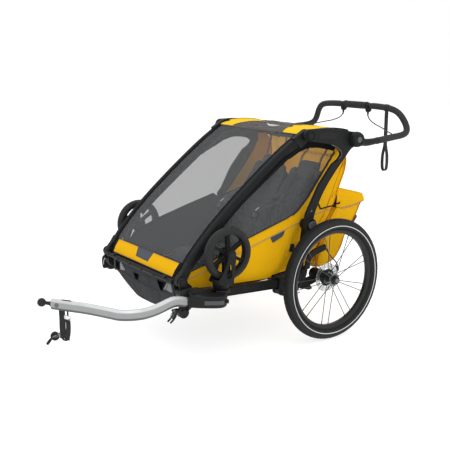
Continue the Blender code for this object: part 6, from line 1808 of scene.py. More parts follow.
# ---------------------------------------------------------------- sides
WALL_BACK = [(0.1480, 0.7860), (0.1600, 0.7600), (0.1680, 0.7030), (0.1600, 0.6650), (0.1340, 0.6080), (0.1260, 0.5900), (0.1120, 0.5440), (0.0880, 0.5000), (0.0680, 0.4620), (0.0500, 0.4100), (0.0300, 0.3500), (0.0120, 0.3000), (0.0060, 0.2850)]
FOLD_A, FOLD_B = Vector((-0.0921, 0.4780)), Vector((-0.2164, 0.3117))
FOLD_N = Vector((0.801, -0.5987))
WINDOW_LOW = [(-0.6110, 0.3580), (-0.5530, 0.3730), (-0.3460, 0.4490), (-0.1600, 0.5020), (-0.1280, 0.5140), (-0.1000, 0.5320), (-0.0510, 0.5780), (0.0430, 0.6960), (0.0830, 0.7460), (0.0870, 0.7520), (0.0820, 0.7570)]
WINDOW_TOP = [(0.0820, 0.7570), (0.0490, 0.7660), (-0.0050, 0.7760), (-0.0490, 0.7780), (-0.0980, 0.7660), (-0.1500, 0.7400)]
SIDE_PIPE = [(-0.6290, 0.3270), (-0.5900, 0.3370), (-0.5420, 0.3520), (-0.4400, 0.3815), (-0.3340, 0.4110), (-0.2000, 0.4485), (-0.1100, 0.4730), (-0.0740, 0.4830), (-0.0010, 0.4960), (0.0480, 0.5055), (0.0860, 0.5100)]


def side_at(y, z, lift=0.0):
    p = Vector((y, z))
    d = (p - FOLD_A).dot(FOLD_N)
    x = 0.2602 - 0.0108 * smooth(d / 0.060) - 0.0030 * smooth((d - 0.05) / 0.08)
    low = smooth((0.455 - z) / 0.08)
    x += 0.0026 * low * math.sin(math.pi * min(1.0, max(0.0, (z - 0.275) / 0.19))) * smooth((y + 0.62) / 0.10) * smooth((-0.13 - y) / 0.10)
    # soft folds that run from the hinge towards the rail
    for a, b, size, wide in (((-0.1180, 0.4250), (-0.1600, 0.2900), 0.0036, 0.012), ((-0.1750, 0.4050), (-0.2350, 0.2850), 0.0020, 0.016), ((-0.3000, 0.3900), (-0.3500, 0.2900), 0.0011, 0.022)):
        a, b = Vector(a), Vector(b)
        t = min(1.0, max(0.0, (p - a).dot(b - a) / (b - a).length_squared))
        q = (p - a - (b - a) * t).length
        x += size * math.exp(-(q / wide) ** 2) * math.sin(math.pi * (0.15 + 0.85 * t)) * low
    x += 0.0011 * lump((y, z, 0.3), 0.075) * low
    # the cloth turns in behind a soft ridge that runs down ahead of the wheel
    ridge = -0.1330 - 0.42 * (0.4700 - z)
    x -= 0.0130 * smooth((y - ridge) / 0.060) * smooth((0.4900 - z) / 0.07) * smooth((z - 0.2700) / 0.03)
    # ripples where the cloth is gathered behind the pillar
    if y > 0.02:
        x += 0.0016 * math.sin((y - along(WALL_BACK, z, True)) * 2 * math.pi / 0.021) * smooth((y - 0.02) / 0.05)
    return Vector((x + lift, y, z))


def side_panel():
    out = Part()
    upper = [along_pillar(u, height(LO_FINE, u) + 0.0125) for u in (0.060, 0.110, 0.180, 0.250, 0.330, 0.420, 0.520, 0.620, 0.690)]
    outline = ([(-0.6080, 0.2905), (-0.6100, 0.3010), (-0.6180, 0.3060), (-0.6270, 0.3130), (-0.6330, 0.3300), (-0.6340, 0.3440), (-0.6390, 0.3650)] + upper
               + [(-0.1280, 0.8040), (-0.1060, 0.8140), (-0.0660, 0.8140), (-0.0500, 0.8250), (0.0200, 0.8300), (0.0800, 0.8250), (0.1200, 0.8120), (0.1340, 0.7930)]
               + WALL_BACK
               + [(-0.0400, 0.2845), (-0.1200, 0.2820), (-0.1760, 0.2800), (-0.2300, 0.2800), (-0.2320, 0.2690), (-0.3000, 0.2715), (-0.4500, 0.2790)])
    window = [(-0.68, 0.30)] + [(-0.6380, 0.3510)] + WINDOW_LOW + WINDOW_TOP[1:] + [(-0.1700, 0.8200), (-0.68, 0.6)]
    dark = [(-0.5200, 0.4700), (-0.4683, 0.5180), (-0.3434, 0.6156), (-0.2169, 0.7101)] + WINDOW_TOP[::-1] + [(0.0870, 0.7520), (0.0960, 0.7700), (0.1060, 0.8400), (-0.25, 0.8400), (-0.56, 0.60)]
    shape, mats = fabric_cut(outline, [(window, 1), (dark, 2)], 0.0100, side_at, 0)
    out.add(shape, mats)
    # bindings: window edge, free front tip, foot
    out.add(tube(on(WINDOW_LOW, side_at, 0.008, (0.0008, 0, 0)), 0.0027, 10), 3)
    out.add(tube(on(WINDOW_LOW[4:], side_at, 0.008, (0.0010, 0.0024, -0.0024)), 0.0034, 10, squash=0.6, up=X), 3)
    out.add(tube(on(WINDOW_TOP, side_at, 0.008, (0.0006, 0, 0)), 0.0016, 8), 2)
    out.add(tube(on([(-0.6120, 0.3580), (-0.6330, 0.3440), (-0.6330, 0.3300), (-0.6275, 0.3130), (-0.6180, 0.3065)], side_at, 0.004, (0.0004, 0, 0)), 0.0016, 8, round_caps=True), 3)
    out.add(tube(on(SIDE_PIPE[:9], side_at, 0.008, (0.0007, 0, 0)), 0.0013, 8), 4)
    out.add(tube(on(SIDE_PIPE[8:], side_at, 0.004, (0.0007, 0, 0)), 0.0013, 8), 4)
    off = Vector((0.0, 0.0058))
    inset = [Vector(p) + Vector((0.0032, -0.0062)) if p[0] < -0.12 else Vector(p) + Vector((0.0065, -0.0035)) for p in WINDOW_LOW[1:-1]]
    stitches(out, on(inset, side_at, 0.006, (0.0003, 0, 0)), 0.0044, 0.0004, X, 5)
    stitches(out, on([Vector(p) + off for p in SIDE_PIPE[1:8]], side_at, 0.008, (0.0003, 0, 0)), 0.0044, 0.0004, X, 5)
    stitches(out, on([Vector(p) - off * 0.8 for p in SIDE_PIPE[1:8]], side_at, 0.008, (0.0003, 0, 0)), 0.0044, 0.0004, X, 5)
    # seam where the rear part is joined, with the pleats sewn into it
    seam = [(0.1500, 0.7400), (0.1485, 0.6950), (0.1310, 0.6600), (0.1080, 0.6100), (0.0840, 0.5600), (0.0590, 0.5050), (0.0330, 0.4620), (0.0100, 0.4000)]
    out.add(tube(on(seam, side_at, 0.005, (0.0006, 0, 0)), 0.0016, 8), 6)
    out.add(tube([p + Vector((0.0004, 0.0105, 0)) for p in on(seam[:5], side_at, 0.005)], 0.0010, 6), 6)
    out.add(tube([p + Vector((0.0, 0.0, 0.0)) for p in on(WALL_BACK[1:11], side_at, 0.006)], 0.0015, 8), 6)
    # bare label that hangs from the piping
    label = rounded([(-0.2404, 0.4345), (-0.1665, 0.4545), (-0.1790, 0.4322), (-0.2290, 0.4125)], 0.0035, 4)
    out.add(plate(label, 0.2618, 0.2636, bevel=0.0008), 7)
    inner = [tuple(Vector(p).lerp(Vector((-0.2050, 0.4335)), 0.10)) for p in label]
    stitches(out, on(inner + inner[:1], lambda y, z: Vector((0.2637, y, z)), 0.004), 0.0030, 0.0003, X, 8)
    # buckle and tab ahead of the wheel
    x0 = side_at(-0.114, 0.371).x
    out.add(plate(rounded([(-0.1269, 0.3900), (-0.1015, 0.3865), (-0.1007, 0.3531), (-0.1261, 0.3569)], 0.003), x0 - 0.001, x0 + 0.0085, bevel=0.0015), 9)
    out.add(plate(rounded([(-0.1235, 0.3845), (-0.1110, 0.3828), (-0.1110, 0.3590), (-0.1235, 0.3605)], 0.002), x0 + 0.0078, x0 + 0.0096, bevel=0.0006), 9)
    tab = [(-0.1602, 0.3625), (-0.1240, 0.3580), (-0.1300, 0.3374), (-0.1587, 0.3414)]
    shape, mats = fabric_cut(tab, [], 0.006, lambda y, z: side_at(y, z, 0.0028), 0)
    out.add(shape, mats)
    out.add(tube(on(tab + tab[:1], side_at, 0.004, (0.0028, 0, 0)), 0.0009, 6), 0)
    return out


a, b = pair("side_cloth", side_panel, [SIDE, NET_SIDE, BLACK_CLOTH, NAVY, GREY_PIPE, THREAD, AMBER, PATCH, SEAT_EDGE, M_PLASTIC], ("base", "base"), "side_fabric", ["side_panel"], weighted=False, angle=70, outward=False, squash=(0.30, 0.335))

LINER_TOP = {1: [(-0.6200, 0.3480), (-0.5530, 0.3640), (-0.3460, 0.4390), (-0.1600, 0.4920), (-0.1280, 0.5040), (-0.1000, 0.5200), (-0.0550, 0.5316), (0.0079, 0.5400), (0.0800, 0.5450)],
             -1: [(-0.5700, 0.4020), (-0.5097, 0.4300), (-0.4404, 0.4544), (-0.2975, 0.4944), (-0.1600, 0.5300), (-0.1300, 0.5120), (-0.0550, 0.5316), (0.0079, 0.5500), (0.0800, 0.5550)]}


FAR_BAND = [(-0.1382, 0.5292), (-0.1095, 0.5587), (-0.0766, 0.5956), (-0.0143, 0.6713), (0.0440, 0.7370), (0.0480, 0.7540), (0.0305, 0.7686), (-0.0042, 0.7790), (-0.0406, 0.7822), (-0.0867, 0.7758), (-0.1373, 0.7599), (-0.2169, 0.7101),
            (-0.2080, 0.7230), (-0.1373, 0.7830), (-0.1000, 0.8040), (-0.0400, 0.8110), (0.0400, 0.8130), (0.0900, 0.8000), (0.0930, 0.7560), (0.0700, 0.7150), (0.0200, 0.6500), (-0.0450, 0.5750), (-0.0800, 0.5350), (-0.1000, 0.5100), (-0.1300, 0.5000)]


def side_liner(side):
    """Dark inner wall below the window, a little inside the outer cloth."""
    out = Part()
    top = LINER_TOP[side]
    outline = [(-0.6050, 0.2960), (-0.6280, 0.3150)] + top + [(along(WALL_BACK, z, True) - 0.006, z) for z in (0.530, 0.500, 0.460, 0.410, 0.350, 0.300)] + [(-0.0400, 0.2880), (-0.1200, 0.2860), (-0.2300, 0.2840), (-0.3000, 0.2780), (-0.4500, 0.2830)]

    def at(y, z):
        p = side_at(y, z)
        return Vector((p.x - 0.0042 - 0.0012 * abs(lump((y, z, 0.6), 0.07)), y, z))

    shape, mats = fabric_cut(outline, [], 0.014, at, 0)
    out.add(shape, mats)
    out.add(tube(on(top, at, 0.008), 0.0015, 8), 1)
    if side < 0:
        shape, mats = fabric_cut(FAR_BAND, [], 0.012, at, 0)
        out.add(shape, mats)
        out.add(tube(on(FAR_BAND[:12], at, 0.008), 0.0012, 8), 1)
        out = out.mirrored()
    name = "left" if side > 0 else "right"
    ob = piece("side_liner_" + name, out, [LINING, SEAT_EDGE], "base", "side_fabric", [], weighted=False, angle=70, outward=False, squash=(0.30, 0.335))


side_liner(1)
side_liner(-1)

# ---------------------------------------------------------------- rear wall and cargo bag


def wall_at(x, z, lift=0.0):
    s = abs(x) / 0.2470
    y = along(WALL_BACK, z, True)
    g = smooth((0.795 - z) / 0.07) * smooth((z - 0.47) / 0.08)
    y += g * (0.0075 * (1 - s ** 6) + 0.0034 * math.sin(2 * math.pi * x / 0.071 + 0.6) * (1 - s ** 8) + 0.0016 * math.sin(2 * math.pi * x / 0.029))
    y += 0.0030 * smooth((0.47 - z) / 0.1) * math.sin(2 * math.pi * x / 0.16)
    return Vector((x, y + lift, z))


def rear_wall():
    out = Part()
    edge = [(-0.2474, 0.2860), (0.2474, 0.2860), (0.2474, 0.5500), (0.2545, 0.5750), (0.2545, 0.7830), (0.2515, 0.7868), (-0.2515, 0.7868), (-0.2545, 0.7830), (-0.2545, 0.5750), (-0.2474, 0.5500)]
    regions = [([(-0.26, 0.7740), (0.26, 0.7740), (0.26, 0.80), (-0.26, 0.80)], 1)]
    shape, mats = fabric_cut(edge, regions, 0.0105, wall_at, 0)
    out.add(shape, mats)
    for s in (1, -1):
        out.add(tube(on([(s * 0.2466, 0.300), (s * 0.2466, 0.785)], wall_at, 0.008), 0.0016, 8), 2)
        out.add(tube(on([(s * 0.2130, 0.585), (s * 0.2130, 0.774)], wall_at, 0.008, (0, 0.0006, 0)), 0.0010, 6), 2)
        stitches(out, on([(s * 0.2080, 0.585), (s * 0.2080, 0.772)], wall_at, 0.008, (0, 0.0004, 0)), 0.0046, 0.0004, Y, 3)
    out.add(tube(on([(-0.2460, 0.7740), (0.2460, 0.7740)], wall_at, 0.008, (0, 0.0006, 0)), 0.0012, 8), 1)
    flap = lambda x, z: Vector((x, 0.1400 - 0.006 * smooth((z - 0.785) / 0.03), z))
    shape, mats = fabric_cut([(-0.2540, 0.7780), (0.2540, 0.7780), (0.2540, 0.8180), (-0.2540, 0.8180)], [], 0.012, flap, 1)
    out.add(shape, mats)
    # zip across the upper part, with its cover and pull
    out.add(tube(on([(-0.2050, 0.7180), (0.2050, 0.7180)], wall_at, 0.006, (0, 0.0026, 0)), 0.0030, 8, squash=0.5, up=(0, 1, 0)), 2)
    stitches(out, on([(-0.2050, 0.7225), (0.2050, 0.7225)], wall_at, 0.008, (0, 0.0006, 0)), 0.0046, 0.0004, Y, 3)
    stitches(out, on([(-0.2050, 0.7135), (0.2050, 0.7135)], wall_at, 0.008, (0, 0.0006, 0)), 0.0046, 0.0004, Y, 3)
    p = wall_at(0.1960, 0.7180)
    out.add(plate(rounded([(0.1930, 0.6950), (0.1990, 0.6950), (0.1995, 0.7165), (0.1925, 0.7165)], 0.002), p.y + 0.0030, p.y + 0.0046, bevel=0.0006, axis="Y"), 5)
    # loops that hold the top hem to the rear bar
    for x in (-0.18, -0.06, 0.06, 0.18):
        q = wall_at(x, 0.780)
        out.add(plate(rounded([(x - 0.010, 0.7700), (x + 0.010, 0.7700), (x + 0.010, 0.7870), (x - 0.010, 0.7870)], 0.003), q.y - 0.0020, q.y + 0.0028, bevel=0.001, axis="Y"), 1)
    ob = piece("rear_wall_cloth", out, [WALL, BLACK_CLOTH, AMBER, THREAD, NAVY, M_PLASTIC_S], "base", "bag_fabric", ["cargo_bag"], weighted=False, angle=70, outward=False, squash=(0.28, 0.29))
    return ob


rear_wall()

BAG_BACK = [(0.2760, 0.5220), (0.2660, 0.5080), (0.2470, 0.4715), (0.2270, 0.4460), (0.2040, 0.4160), (0.1827, 0.3844), (0.1615, 0.3345), (0.1285, 0.2935), (0.1003, 0.2800), (0.0480, 0.2690), (0.0060, 0.2740)]
BAG_FRONT = [(0.1450, 0.5300), (0.1380, 0.5180), (0.1200, 0.4960), (0.0950, 0.4630), (0.0760, 0.4050), (0.0580, 0.3490), (0.0350, 0.3080), (0.0270, 0.2740)]
BAG_RIM = [(0.1280, 0.5140), (0.1500, 0.5060), (0.1710, 0.5040), (0.2250, 0.5090), (0.2600, 0.5160), (0.2760, 0.5205)]


def bag_side_at(y, z):
    y0, y1 = along(WALL_BACK, z, True), along(BAG_FRONT, z, True)
    if y < y1:
        q = min(1.0, max(0.0, (y - y0) / max(1e-6, y1 - y0)))
        x = 0.2440 - 0.0080 * q - 0.0340 * math.sin(math.pi * q) ** 0.8
    else:
        d = min(y - y1, 0.05) / 0.05
        x = 0.2360 + 0.0035 * math.sin(math.pi * min(1.0, d)) + 0.0014 * lump((y, z, 0.7), 0.045)
    return Vector((x, y, z))


def cargo_bag():
    """Open-topped bag: side faces with a folded gusset ahead of them, and one long panel that wraps back, bottom and front foot."""
    out = Part()
    line = [Vector((p[0], p[1])) for p in curve_through(BAG_BACK, 5)]
    rim = [tuple(p) for p in curve_through(BAG_RIM, 3)]
    front = [(along(WALL_BACK, z, True), z) for z in (0.288, 0.31, 0.34, 0.37, 0.40, 0.43, 0.46, 0.49, 0.515)]
    outline = front + rim[2:] + [tuple(p) for p in line[1:]]
    shape, mats = fabric_cut(outline, [], 0.0085, bag_side_at, 0)
    out.add(shape, mats)
    out.add(shape, mats, mirror=True)
    # the long panel, fuller in the middle and puckered beside the side seams
    nx = 46
    verts, faces = [], []
    lens = [0.0]
    for p, q in zip(line, line[1:]):
        lens.append(lens[-1] + (q - p).length)
    for i in range(nx + 1):
        x = -0.2372 + 0.4744 * i / nx
        s = abs(x) / 0.2372
        for j, p in enumerate(line):
            t = lens[j] / lens[-1]
            q = (line[min(j + 1, len(line) - 1)] - line[max(j - 1, 0)]).normalized()
            n = Vector((-q.y, q.x))
            if n.x < 0 and t < 0.5:
                n = -n
            full = 0.0090 * (1 - s ** 2.2) * math.sin(math.pi * min(1.0, t * 1.12)) + 0.0016 * math.sin(2 * math.pi * t * 9 + 1.3) * s ** 6 + 0.0022 * lump((x, t * 0.4, 0.2), 0.09)
            a = p + n * full
            verts.append(Vector((x, a.x, a.y)))
    m = len(line)
    for i in range(nx):
        for j in range(m - 1):
            faces.append((i * m + j, (i + 1) * m + j, (i + 1) * m + j + 1, i * m + j + 1))
    out.add((verts, faces), 0)
    for s in (1, -1):
        out.add(tube([Vector((s * 0.2378, p.x, p.y)) for p in line], 0.0015, 8), 2)
        out.add(tube([Vector((s * (0.2372 + 0.0012), y, z)) for y, z in rim[3:]], 0.0017, 8), 1)
        foldline = [Vector((s * 0.2366, y, z)) for y, z in curve_through(BAG_FRONT[1:], 3)]
        out.add(tube(foldline, 0.0013, 8), 2)
        stitches(out, [Vector((s * 0.2396, y, z - 0.0062)) for y, z in rim[4:]], 0.0044, 0.0004, X, 3)
    top = [Vector((x, 0.2765 + 0.0050 * (1 - (x / 0.2372) ** 2), 0.5205)) for x in [-0.2384 + 0.4768 * k / 30 for k in range(31)]]
    out.add(tube(top, 0.0017, 8), 1)
    # reflector on each side of the back, black base and red lens
    face = line[6]
    ang = -math.radians(38)
    for s in (1, -1):
        c = Vector((s * 0.2140, 0.2370, 0.4520))
        for grow, y0, y1, mat in ((0.0, -0.0020, 0.0125, 4), (-0.0016, 0.0100, 0.0190, 5)):
            w, h = 0.0190 + grow, 0.0215 + grow
            shape = plate(rounded([(c.x - w, c.z - h), (c.x + w, c.z - h), (c.x + w, c.z + h), (c.x - w, c.z + h)], 0.005, 4), c.y + y0, c.y + y1, bevel=0.0014, axis="Y")
            out.add(spun(shape, c, (1, 0, 0), ang), mat)
    ob = piece("cargo_bag_shell", out, [BAG, GREY_PIPE, AMBER, THREAD, M_PLASTIC_S, M_RED], "base", "bag_fabric", ["cargo_bag"], weighted=False, angle=70, outward=False, squash=(0.28, 0.29))
    return ob


cargo_bag()


def bag_lid():
    """Soft lid with a deep rounded skirt that is drawn in round the rim."""
    out = Part()
    spine = [Vector((p[0], p[1])) for p in curve_through([(0.1300, 0.5990), (0.1650, 0.5895), (0.2050, 0.5790), (0.2450, 0.5685), (0.2690, 0.5620), (0.2830, 0.5570), (0.2885, 0.5490), (0.2862, 0.5400), (0.2800, 0.5310), (0.2755, 0.5235)], 4)]
    half, rr = 0.2405, 0.0150
    section = []
    for k in range(5):
        section.append((0.0, 1.0 - k / 5))       # skirt, from the rim up
    for k in range(6):
        t = math.pi / 2 * k / 5
        section.append((rr * (1 - math.cos(t)), -rr * 0.0 - (1 - math.sin(t)) * 0.001 if False else 0.0))
    verts, faces = [], []
    cols = 0
    for i, p in enumerate(spine):
        y, zt = p.x, p.y
        zb = min(zt - 0.0010, along(BAG_RIM, y) + 0.0010)
        deep = max(0.0, zt - zb)
        r = min(rr, deep * 0.6)
        pull = 0.0035 * smooth(deep / 0.05)
        row = []
        for k in range(8):
            t = k / 7
            h = zb + (zt - r - zb) * t
            row.append((half - pull * (1 - t) ** 2 + 0.0022 * math.sin(math.pi * t) * smooth(deep / 0.04) + 0.0011 * math.sin(y * 2 * math.pi / 0.019) * (1 - t) * smooth(deep / 0.03), h))
        for k in range(1, 6):
            t = math.pi / 2 * k / 5
            row.append((half - r + r * math.cos(t), zt - r + r * math.sin(t)))
        top = []
        n = 18
        for k in range(1, n):
            x = (half - r) * (1 - 2 * k / n)
            s = abs(x) / (half - r)
            sag = 0.0100 * (1 - s * s) * math.sin(math.pi * min(1.0, max(0.0, (y - 0.128) / 0.165))) * (1.0 if i < len(spine) - 8 else 0.35)
            top.append((x, zt - sag + 0.0016 * lump((x, y, 0.4), 0.07)))
        left = [(-x, z) for x, z in reversed(row)]
        full = row + top + left
        cols = len(full)
        for x, z in full:
            verts.append(Vector((x, y, z)))
    for i in range(len(spine) - 1):
        for j in range(cols - 1):
            faces.append((i * cols + j, i * cols + j + 1, (i + 1) * cols + j + 1, (i + 1) * cols + j))
    out.add((verts, faces), 0)
    # bound edge, seam round the top and the stitching beside it
    for s in (1, -1):
        out.add(tube([Vector((s * (half - 0.0030), p.x, min(p.y - 0.0010, along(BAG_RIM, p.x) + 0.0010))) for p in spine], 0.0016, 8), 1)
        crest = [Vector((s * (half - rr * 0.3), p.x, p.y - rr * 0.3 + 0.0006)) for p in spine[:18]]
        out.add(tube(crest, 0.0009, 6), 2)
    ends = [Vector((x, 0.2760, 0.5235)) for x in [-half + 2 * half * k / 30 for k in range(31)]]
    out.add(tube(ends, 0.0016, 8), 1)
    crest = [Vector((x, 0.2848, 0.5560 - 0.0030 * (1 - (x / half) ** 2))) for x in [-half + 0.006 + 2 * (half - 0.006) * k / 30 for k in range(31)]]
    out.add(tube(crest, 0.0009, 6), 2)
    # eyelet patch where the elastic comes through
    for s in (1, -1):
        out.add(turned([(0, 0), (0, 0.0050), (0.0012, 0.0050), (0.0016, 0.0038), (0.0010, 0.0026), (0.0010, 0)], (s * 0.2400, 0.1450, 0.5290), (s, 0, 0), 18, 0.0003), 3)
    ob = piece("cargo_bag_lid", out, [BAG, AMBER, THREAD, M_PLASTIC], "base", "bag_fabric", ["cargo_bag"], weighted=False, angle=70, outward=False, squash=(0.28, 0.29), merge=0)
    return ob


bag_lid()


def bag_elastics():
    for s, side in ((1, "left"), (-1, "right")):
        path = [Vector((s * x, y, z)) for x, y, z in curve_through([(0.2425, 0.1450, 0.5290), (0.2450, 0.1200, 0.5266), (0.2470, 0.0850, 0.5226), (0.2490, 0.0520, 0.5196), (0.2510, 0.0340, 0.5186), (0.2520, 0.0270, 0.5226), (0.2525, 0.0225, 0.5310), (0.2520, 0.0190, 0.5400)], 5)]
        out = Part().add(tube(path, 0.0030, 12, round_caps=True), 0)
        ob = piece("bag_elastic_" + side, out, [CORD_M], "base", "cable_rubber", [], weighted=False, squash=(0.28, 0.29))


bag_elastics()

# ---------------------------------------------------------------- footwell
WELL = [tuple(p) for p in curve_through([(0.0, 0.1866), (0.0400, 0.1870), (0.0740, 0.1905), (0.1100, 0.2060), (0.1580, 0.2290), (0.1860, 0.2440), (0.2060, 0.2560), (0.2300, 0.2640), (0.2460, 0.2760), (0.2520, 0.2930), (0.2520, 0.3060), (0.2520, 0.3180)], 4)]


def well_front(z):
    y = -0.6670 + 0.0110 * min(1.0, max(0.0, (0.262 - z) / 0.074)) ** 1.4
    return y - 0.0165 * smooth((z - 0.304) / 0.0175)


def well_at(x, z, lift=0.0):
    s = abs(x) / 0.25
    y = well_front(z) - 0.0030 * (1 - s * s) * smooth((z - 0.19) / 0.03) * (1 - smooth((z - 0.29) / 0.02))
    for c, w, h in ((-0.118, 0.010, 0.0040), (0.060, 0.014, -0.0020), (0.118, 0.010, 0.0040), (-0.020, 0.020, 0.0014)):
        y += h * math.exp(-((x - c - (z - 0.22) * 0.25) / w) ** 2) * smooth((0.254 - z) / 0.02)
    y += 0.0012 * lump((x, z, 0.1), 0.06)
    return Vector((x, y - lift, z))


def footwell():
    """Cloth tub hung from the front bar: a lower shell, a front wall with three openings, and the floor panel behind it."""
    out = Part()
    ring = [(-x, z) for x, z in reversed(WELL[1:])] + WELL
    n = len(ring)
    rows = 20
    verts, faces = [], []
    for j in range(rows + 1):
        t = j / rows
        for x, z in ring:
            y0 = well_front(z)
            y = y0 + (-0.4320 - y0) * t
            drop = 0.0018 * math.sin(math.pi * t) * max(0.0, 1 - abs(x) / 0.22)
            bump = 0.0014 * lump((x, y, z), 0.055) * math.sin(math.pi * t)
            verts.append(Vector((x * (1 - 0.006 * math.sin(math.pi * t)), y, z - drop + bump)))
    for j in range(rows):
        for i in range(n - 1):
            faces.append((j * n + i, j * n + i + 1, (j + 1) * n + i + 1, (j + 1) * n + i))
    out.add((verts, faces), 0)
    # front wall
    holes = [[(-0.2490, 0.3030), (-0.1989, 0.3025), (-0.1999, 0.2673), (-0.2222, 0.2699)], [(-0.0818, 0.2870), (-0.0312, 0.2889), (-0.0429, 0.2598), (-0.0570, 0.2583)], [(0.1050, 0.2995), (0.1735, 0.3026), (0.1565, 0.2791), (0.1466, 0.2628), (0.1347, 0.2611)]]
    patches = [[(-0.1950, 0.3020), (-0.1755, 0.3022), (-0.1441, 0.2768), (-0.1942, 0.2690)], [(0.1851, 0.3037), (0.2148, 0.3047), (0.2207, 0.2740), (0.2024, 0.2706), (0.1680, 0.2744)]]
    front = ring + [(0.2520, 0.3215), (-0.2520, 0.3215)]
    shape, mats = fabric_cut(front, [(q, 1) for q in patches] + [(q, None) for q in holes], 0.0080, well_at, 0)
    out.add(shape, mats)
    shape, mats = fabric_cut([(-0.2500, 0.2560), (0.2500, 0.2560), (0.2500, 0.3120), (-0.2500, 0.3120)], [], 0.02, lambda x, z: well_at(x, z) + Vector((0, 0.016 + 0.010 * smooth((z - 0.26) / 0.03), 0)), 2)
    out.add(shape, [2] * len(mats))
    for q in holes:
        out.add(tube(on(q + q[:1], well_at, 0.005, (0, -0.0004, 0)), 0.0011, 6), 3)
    for q in patches:
        out.add(tube(on(q + q[:1], well_at, 0.005, (0, -0.0004, 0)), 0.0009, 6), 3)
    out.add(tube(on([(-0.2200, 0.2640), (-0.1944, 0.2653), (-0.1444, 0.2640), (-0.0337, 0.2560), (0.1107, 0.2560), (0.1700, 0.2620), (0.2137, 0.2680), (0.2350, 0.2720)], well_at, 0.006, (0, -0.0008, 0)), 0.0014, 8), 3)
    flap = [(-0.0260, 0.2872), (0.0537, 0.2925), (0.0474, 0.2600), (-0.0389, 0.2600)]
    out.add(tube(on(flap + flap[:1], well_at, 0.005, (0, -0.0003, 0)), 0.0008, 6), 3)
    for line in ([(-0.1079, 0.2461), (-0.0515, 0.2090)], [(-0.1781, 0.2581), (-0.1299, 0.2368)], [(0.1100, 0.2500), (0.1300, 0.2220)]):
        out.add(tube(on(line, well_at, 0.005, (0, -0.0003, 0)), 0.0009, 6), 3)
    out.add(tube(on([(-0.2500, 0.3210), (0.2500, 0.3210)], well_at, 0.010), 0.0016, 8), 3)
    out.add(tube(on([(x, z) for x, z in ring[2:-2]], lambda x, z: Vector((x, well_front(z) + 0.0004, z)), 0.006), 0.0016, 8), 3)
    for s in (1, -1):
        strap = [Vector((s * x, y, z)) for x, y, z in ((0.2230, -0.6740, 0.3190), (0.2240, -0.6752, 0.3080), (0.2280, -0.6738, 0.2900), (0.2320, -0.6722, 0.2720), (0.2310, -0.6700, 0.2600))]
        out.add(ribbon(strap, 0.0110, 0.0016, up=(0, -1, 0)), 3)
    stitches(out, on([(-0.1900, 0.2508), (0.1250, 0.2500)], well_at, 0.008, (0, -0.0005, 0)), 0.0048, 0.0004, (0, -1, 0), 4)
    # white lacing that draws the near patch to the frame, mirrored on the far side
    for s in (1, -1):
        zig = []
        for k in range(9):
            t = k / 8
            x, z = 0.1660 + 0.0190 * t, 0.2755 + 0.0290 * t
            zig.append((s * (x + (0.0042 if k % 2 else -0.0042)), z))
        out.add(tube(on(zig, well_at, 0.003, (0, -0.0022, 0)), 0.0011, 6), 5)
    # rear riser and the floor panel under the seats
    riser = [(x, z) for x, z in ring if z < 0.262]
    riser = riser + [(0.2360, 0.2630), (-0.2360, 0.2630)]
    shape, mats = fabric_cut(riser, [], 0.012, lambda x, z: Vector((x, -0.4320 + 0.0015 * lump((x, z, 0.9), 0.05), z)), 0)
    out.add(shape, mats)
    out.add(plate(rounded([(-0.2520, -0.4330), (0.2520, -0.4330), (0.2520, -0.0365), (-0.2520, -0.0365)], 0.010), 0.2625, 0.2698, bevel=0.0020, axis="Z"), 0)
    for s in (1, -1):
        # binding along the top edge at each side of the tub
        rim = [(s * 0.2520, -0.6640), (s * 0.2520, -0.4330)]
        out.add(tube([Vector((s * 0.2520, y, 0.3184)) for y in (-0.676, -0.62, -0.56, -0.50, -0.4330)], 0.0018, 8), 3)
    ob = piece("footwell_cloth", out, [DARK_CLOTH, GREY_CLOTH, LINER, SEAT_EDGE, M_CABLE, TAB], "base", "tub_fabric", ["floor_pan"], weighted=False, angle=60, outward=False)
    return ob


footwell()


def pull_cord():
    """White zip cord with a black end that hangs beside the far hinge."""
    path = [Vector(p) for p in curve_through([(-0.2640, -0.7000, 0.3090), (-0.2660, -0.7040, 0.3040), (-0.2672, -0.7062, 0.2960), (-0.2678, -0.7070, 0.2880), (-0.2680, -0.7072, 0.2800)], 5)]
    end = Part().add(turned([(0, 0), (0, 0.0018), (0.0030, 0.0030), (0.0120, 0.0032), (0.0145, 0.0020), (0.0148, 0)], path[-1] + Vector((0, 0, 0.002)), (0, 0, -1), 16, 0.0008), 0)
    tip = piece("zip_cord_end", end, [M_PLASTIC_S], "base", "frame_plastic", [])
    ob = piece("zip_cord", Part().add(tube(path, 0.0013, 10, round_caps=True), 0), [TAB], "base", "cable_rubber", [], weighted=False)


pull_cord()

# ---------------------------------------------------------------- seats
BACK_LINE = [Vector((p[0], p[1])) for p in curve_through([(-0.1290, 0.2860), (-0.0960, 0.3440), (-0.0590, 0.4010), (-0.0080, 0.5000), (0.0420, 0.6000), (0.0730, 0.6720), (0.0940, 0.7330)], 8)]
BACK_LEN = [0.0]
for p, q in zip(BACK_LINE, BACK_LINE[1:]):
    BACK_LEN.append(BACK_LEN[-1] + (q - p).length)


def back_point(b, c):
    """b runs up the backrest, c stands off its middle towards the front."""
    b = min(max(b, 0.0), BACK_LEN[-1] - 1e-6)
    i = 0
    while BACK_LEN[i + 1] < b:
        i += 1
    t = (b - BACK_LEN[i]) / (BACK_LEN[i + 1] - BACK_LEN[i])
    p = BACK_LINE[i].lerp(BACK_LINE[i + 1], t)
    d0 = BACK_LINE[i + 1] - BACK_LINE[i]
    d1 = (BACK_LINE[min(i + 2, len(BACK_LINE) - 1)] - BACK_LINE[min(i + 1, len(BACK_LINE) - 2)])
    d = d0.lerp(d1, t).normalized()
    n = Vector((-d.y, d.x))
    p = p + n * c
    return p.x, p.y


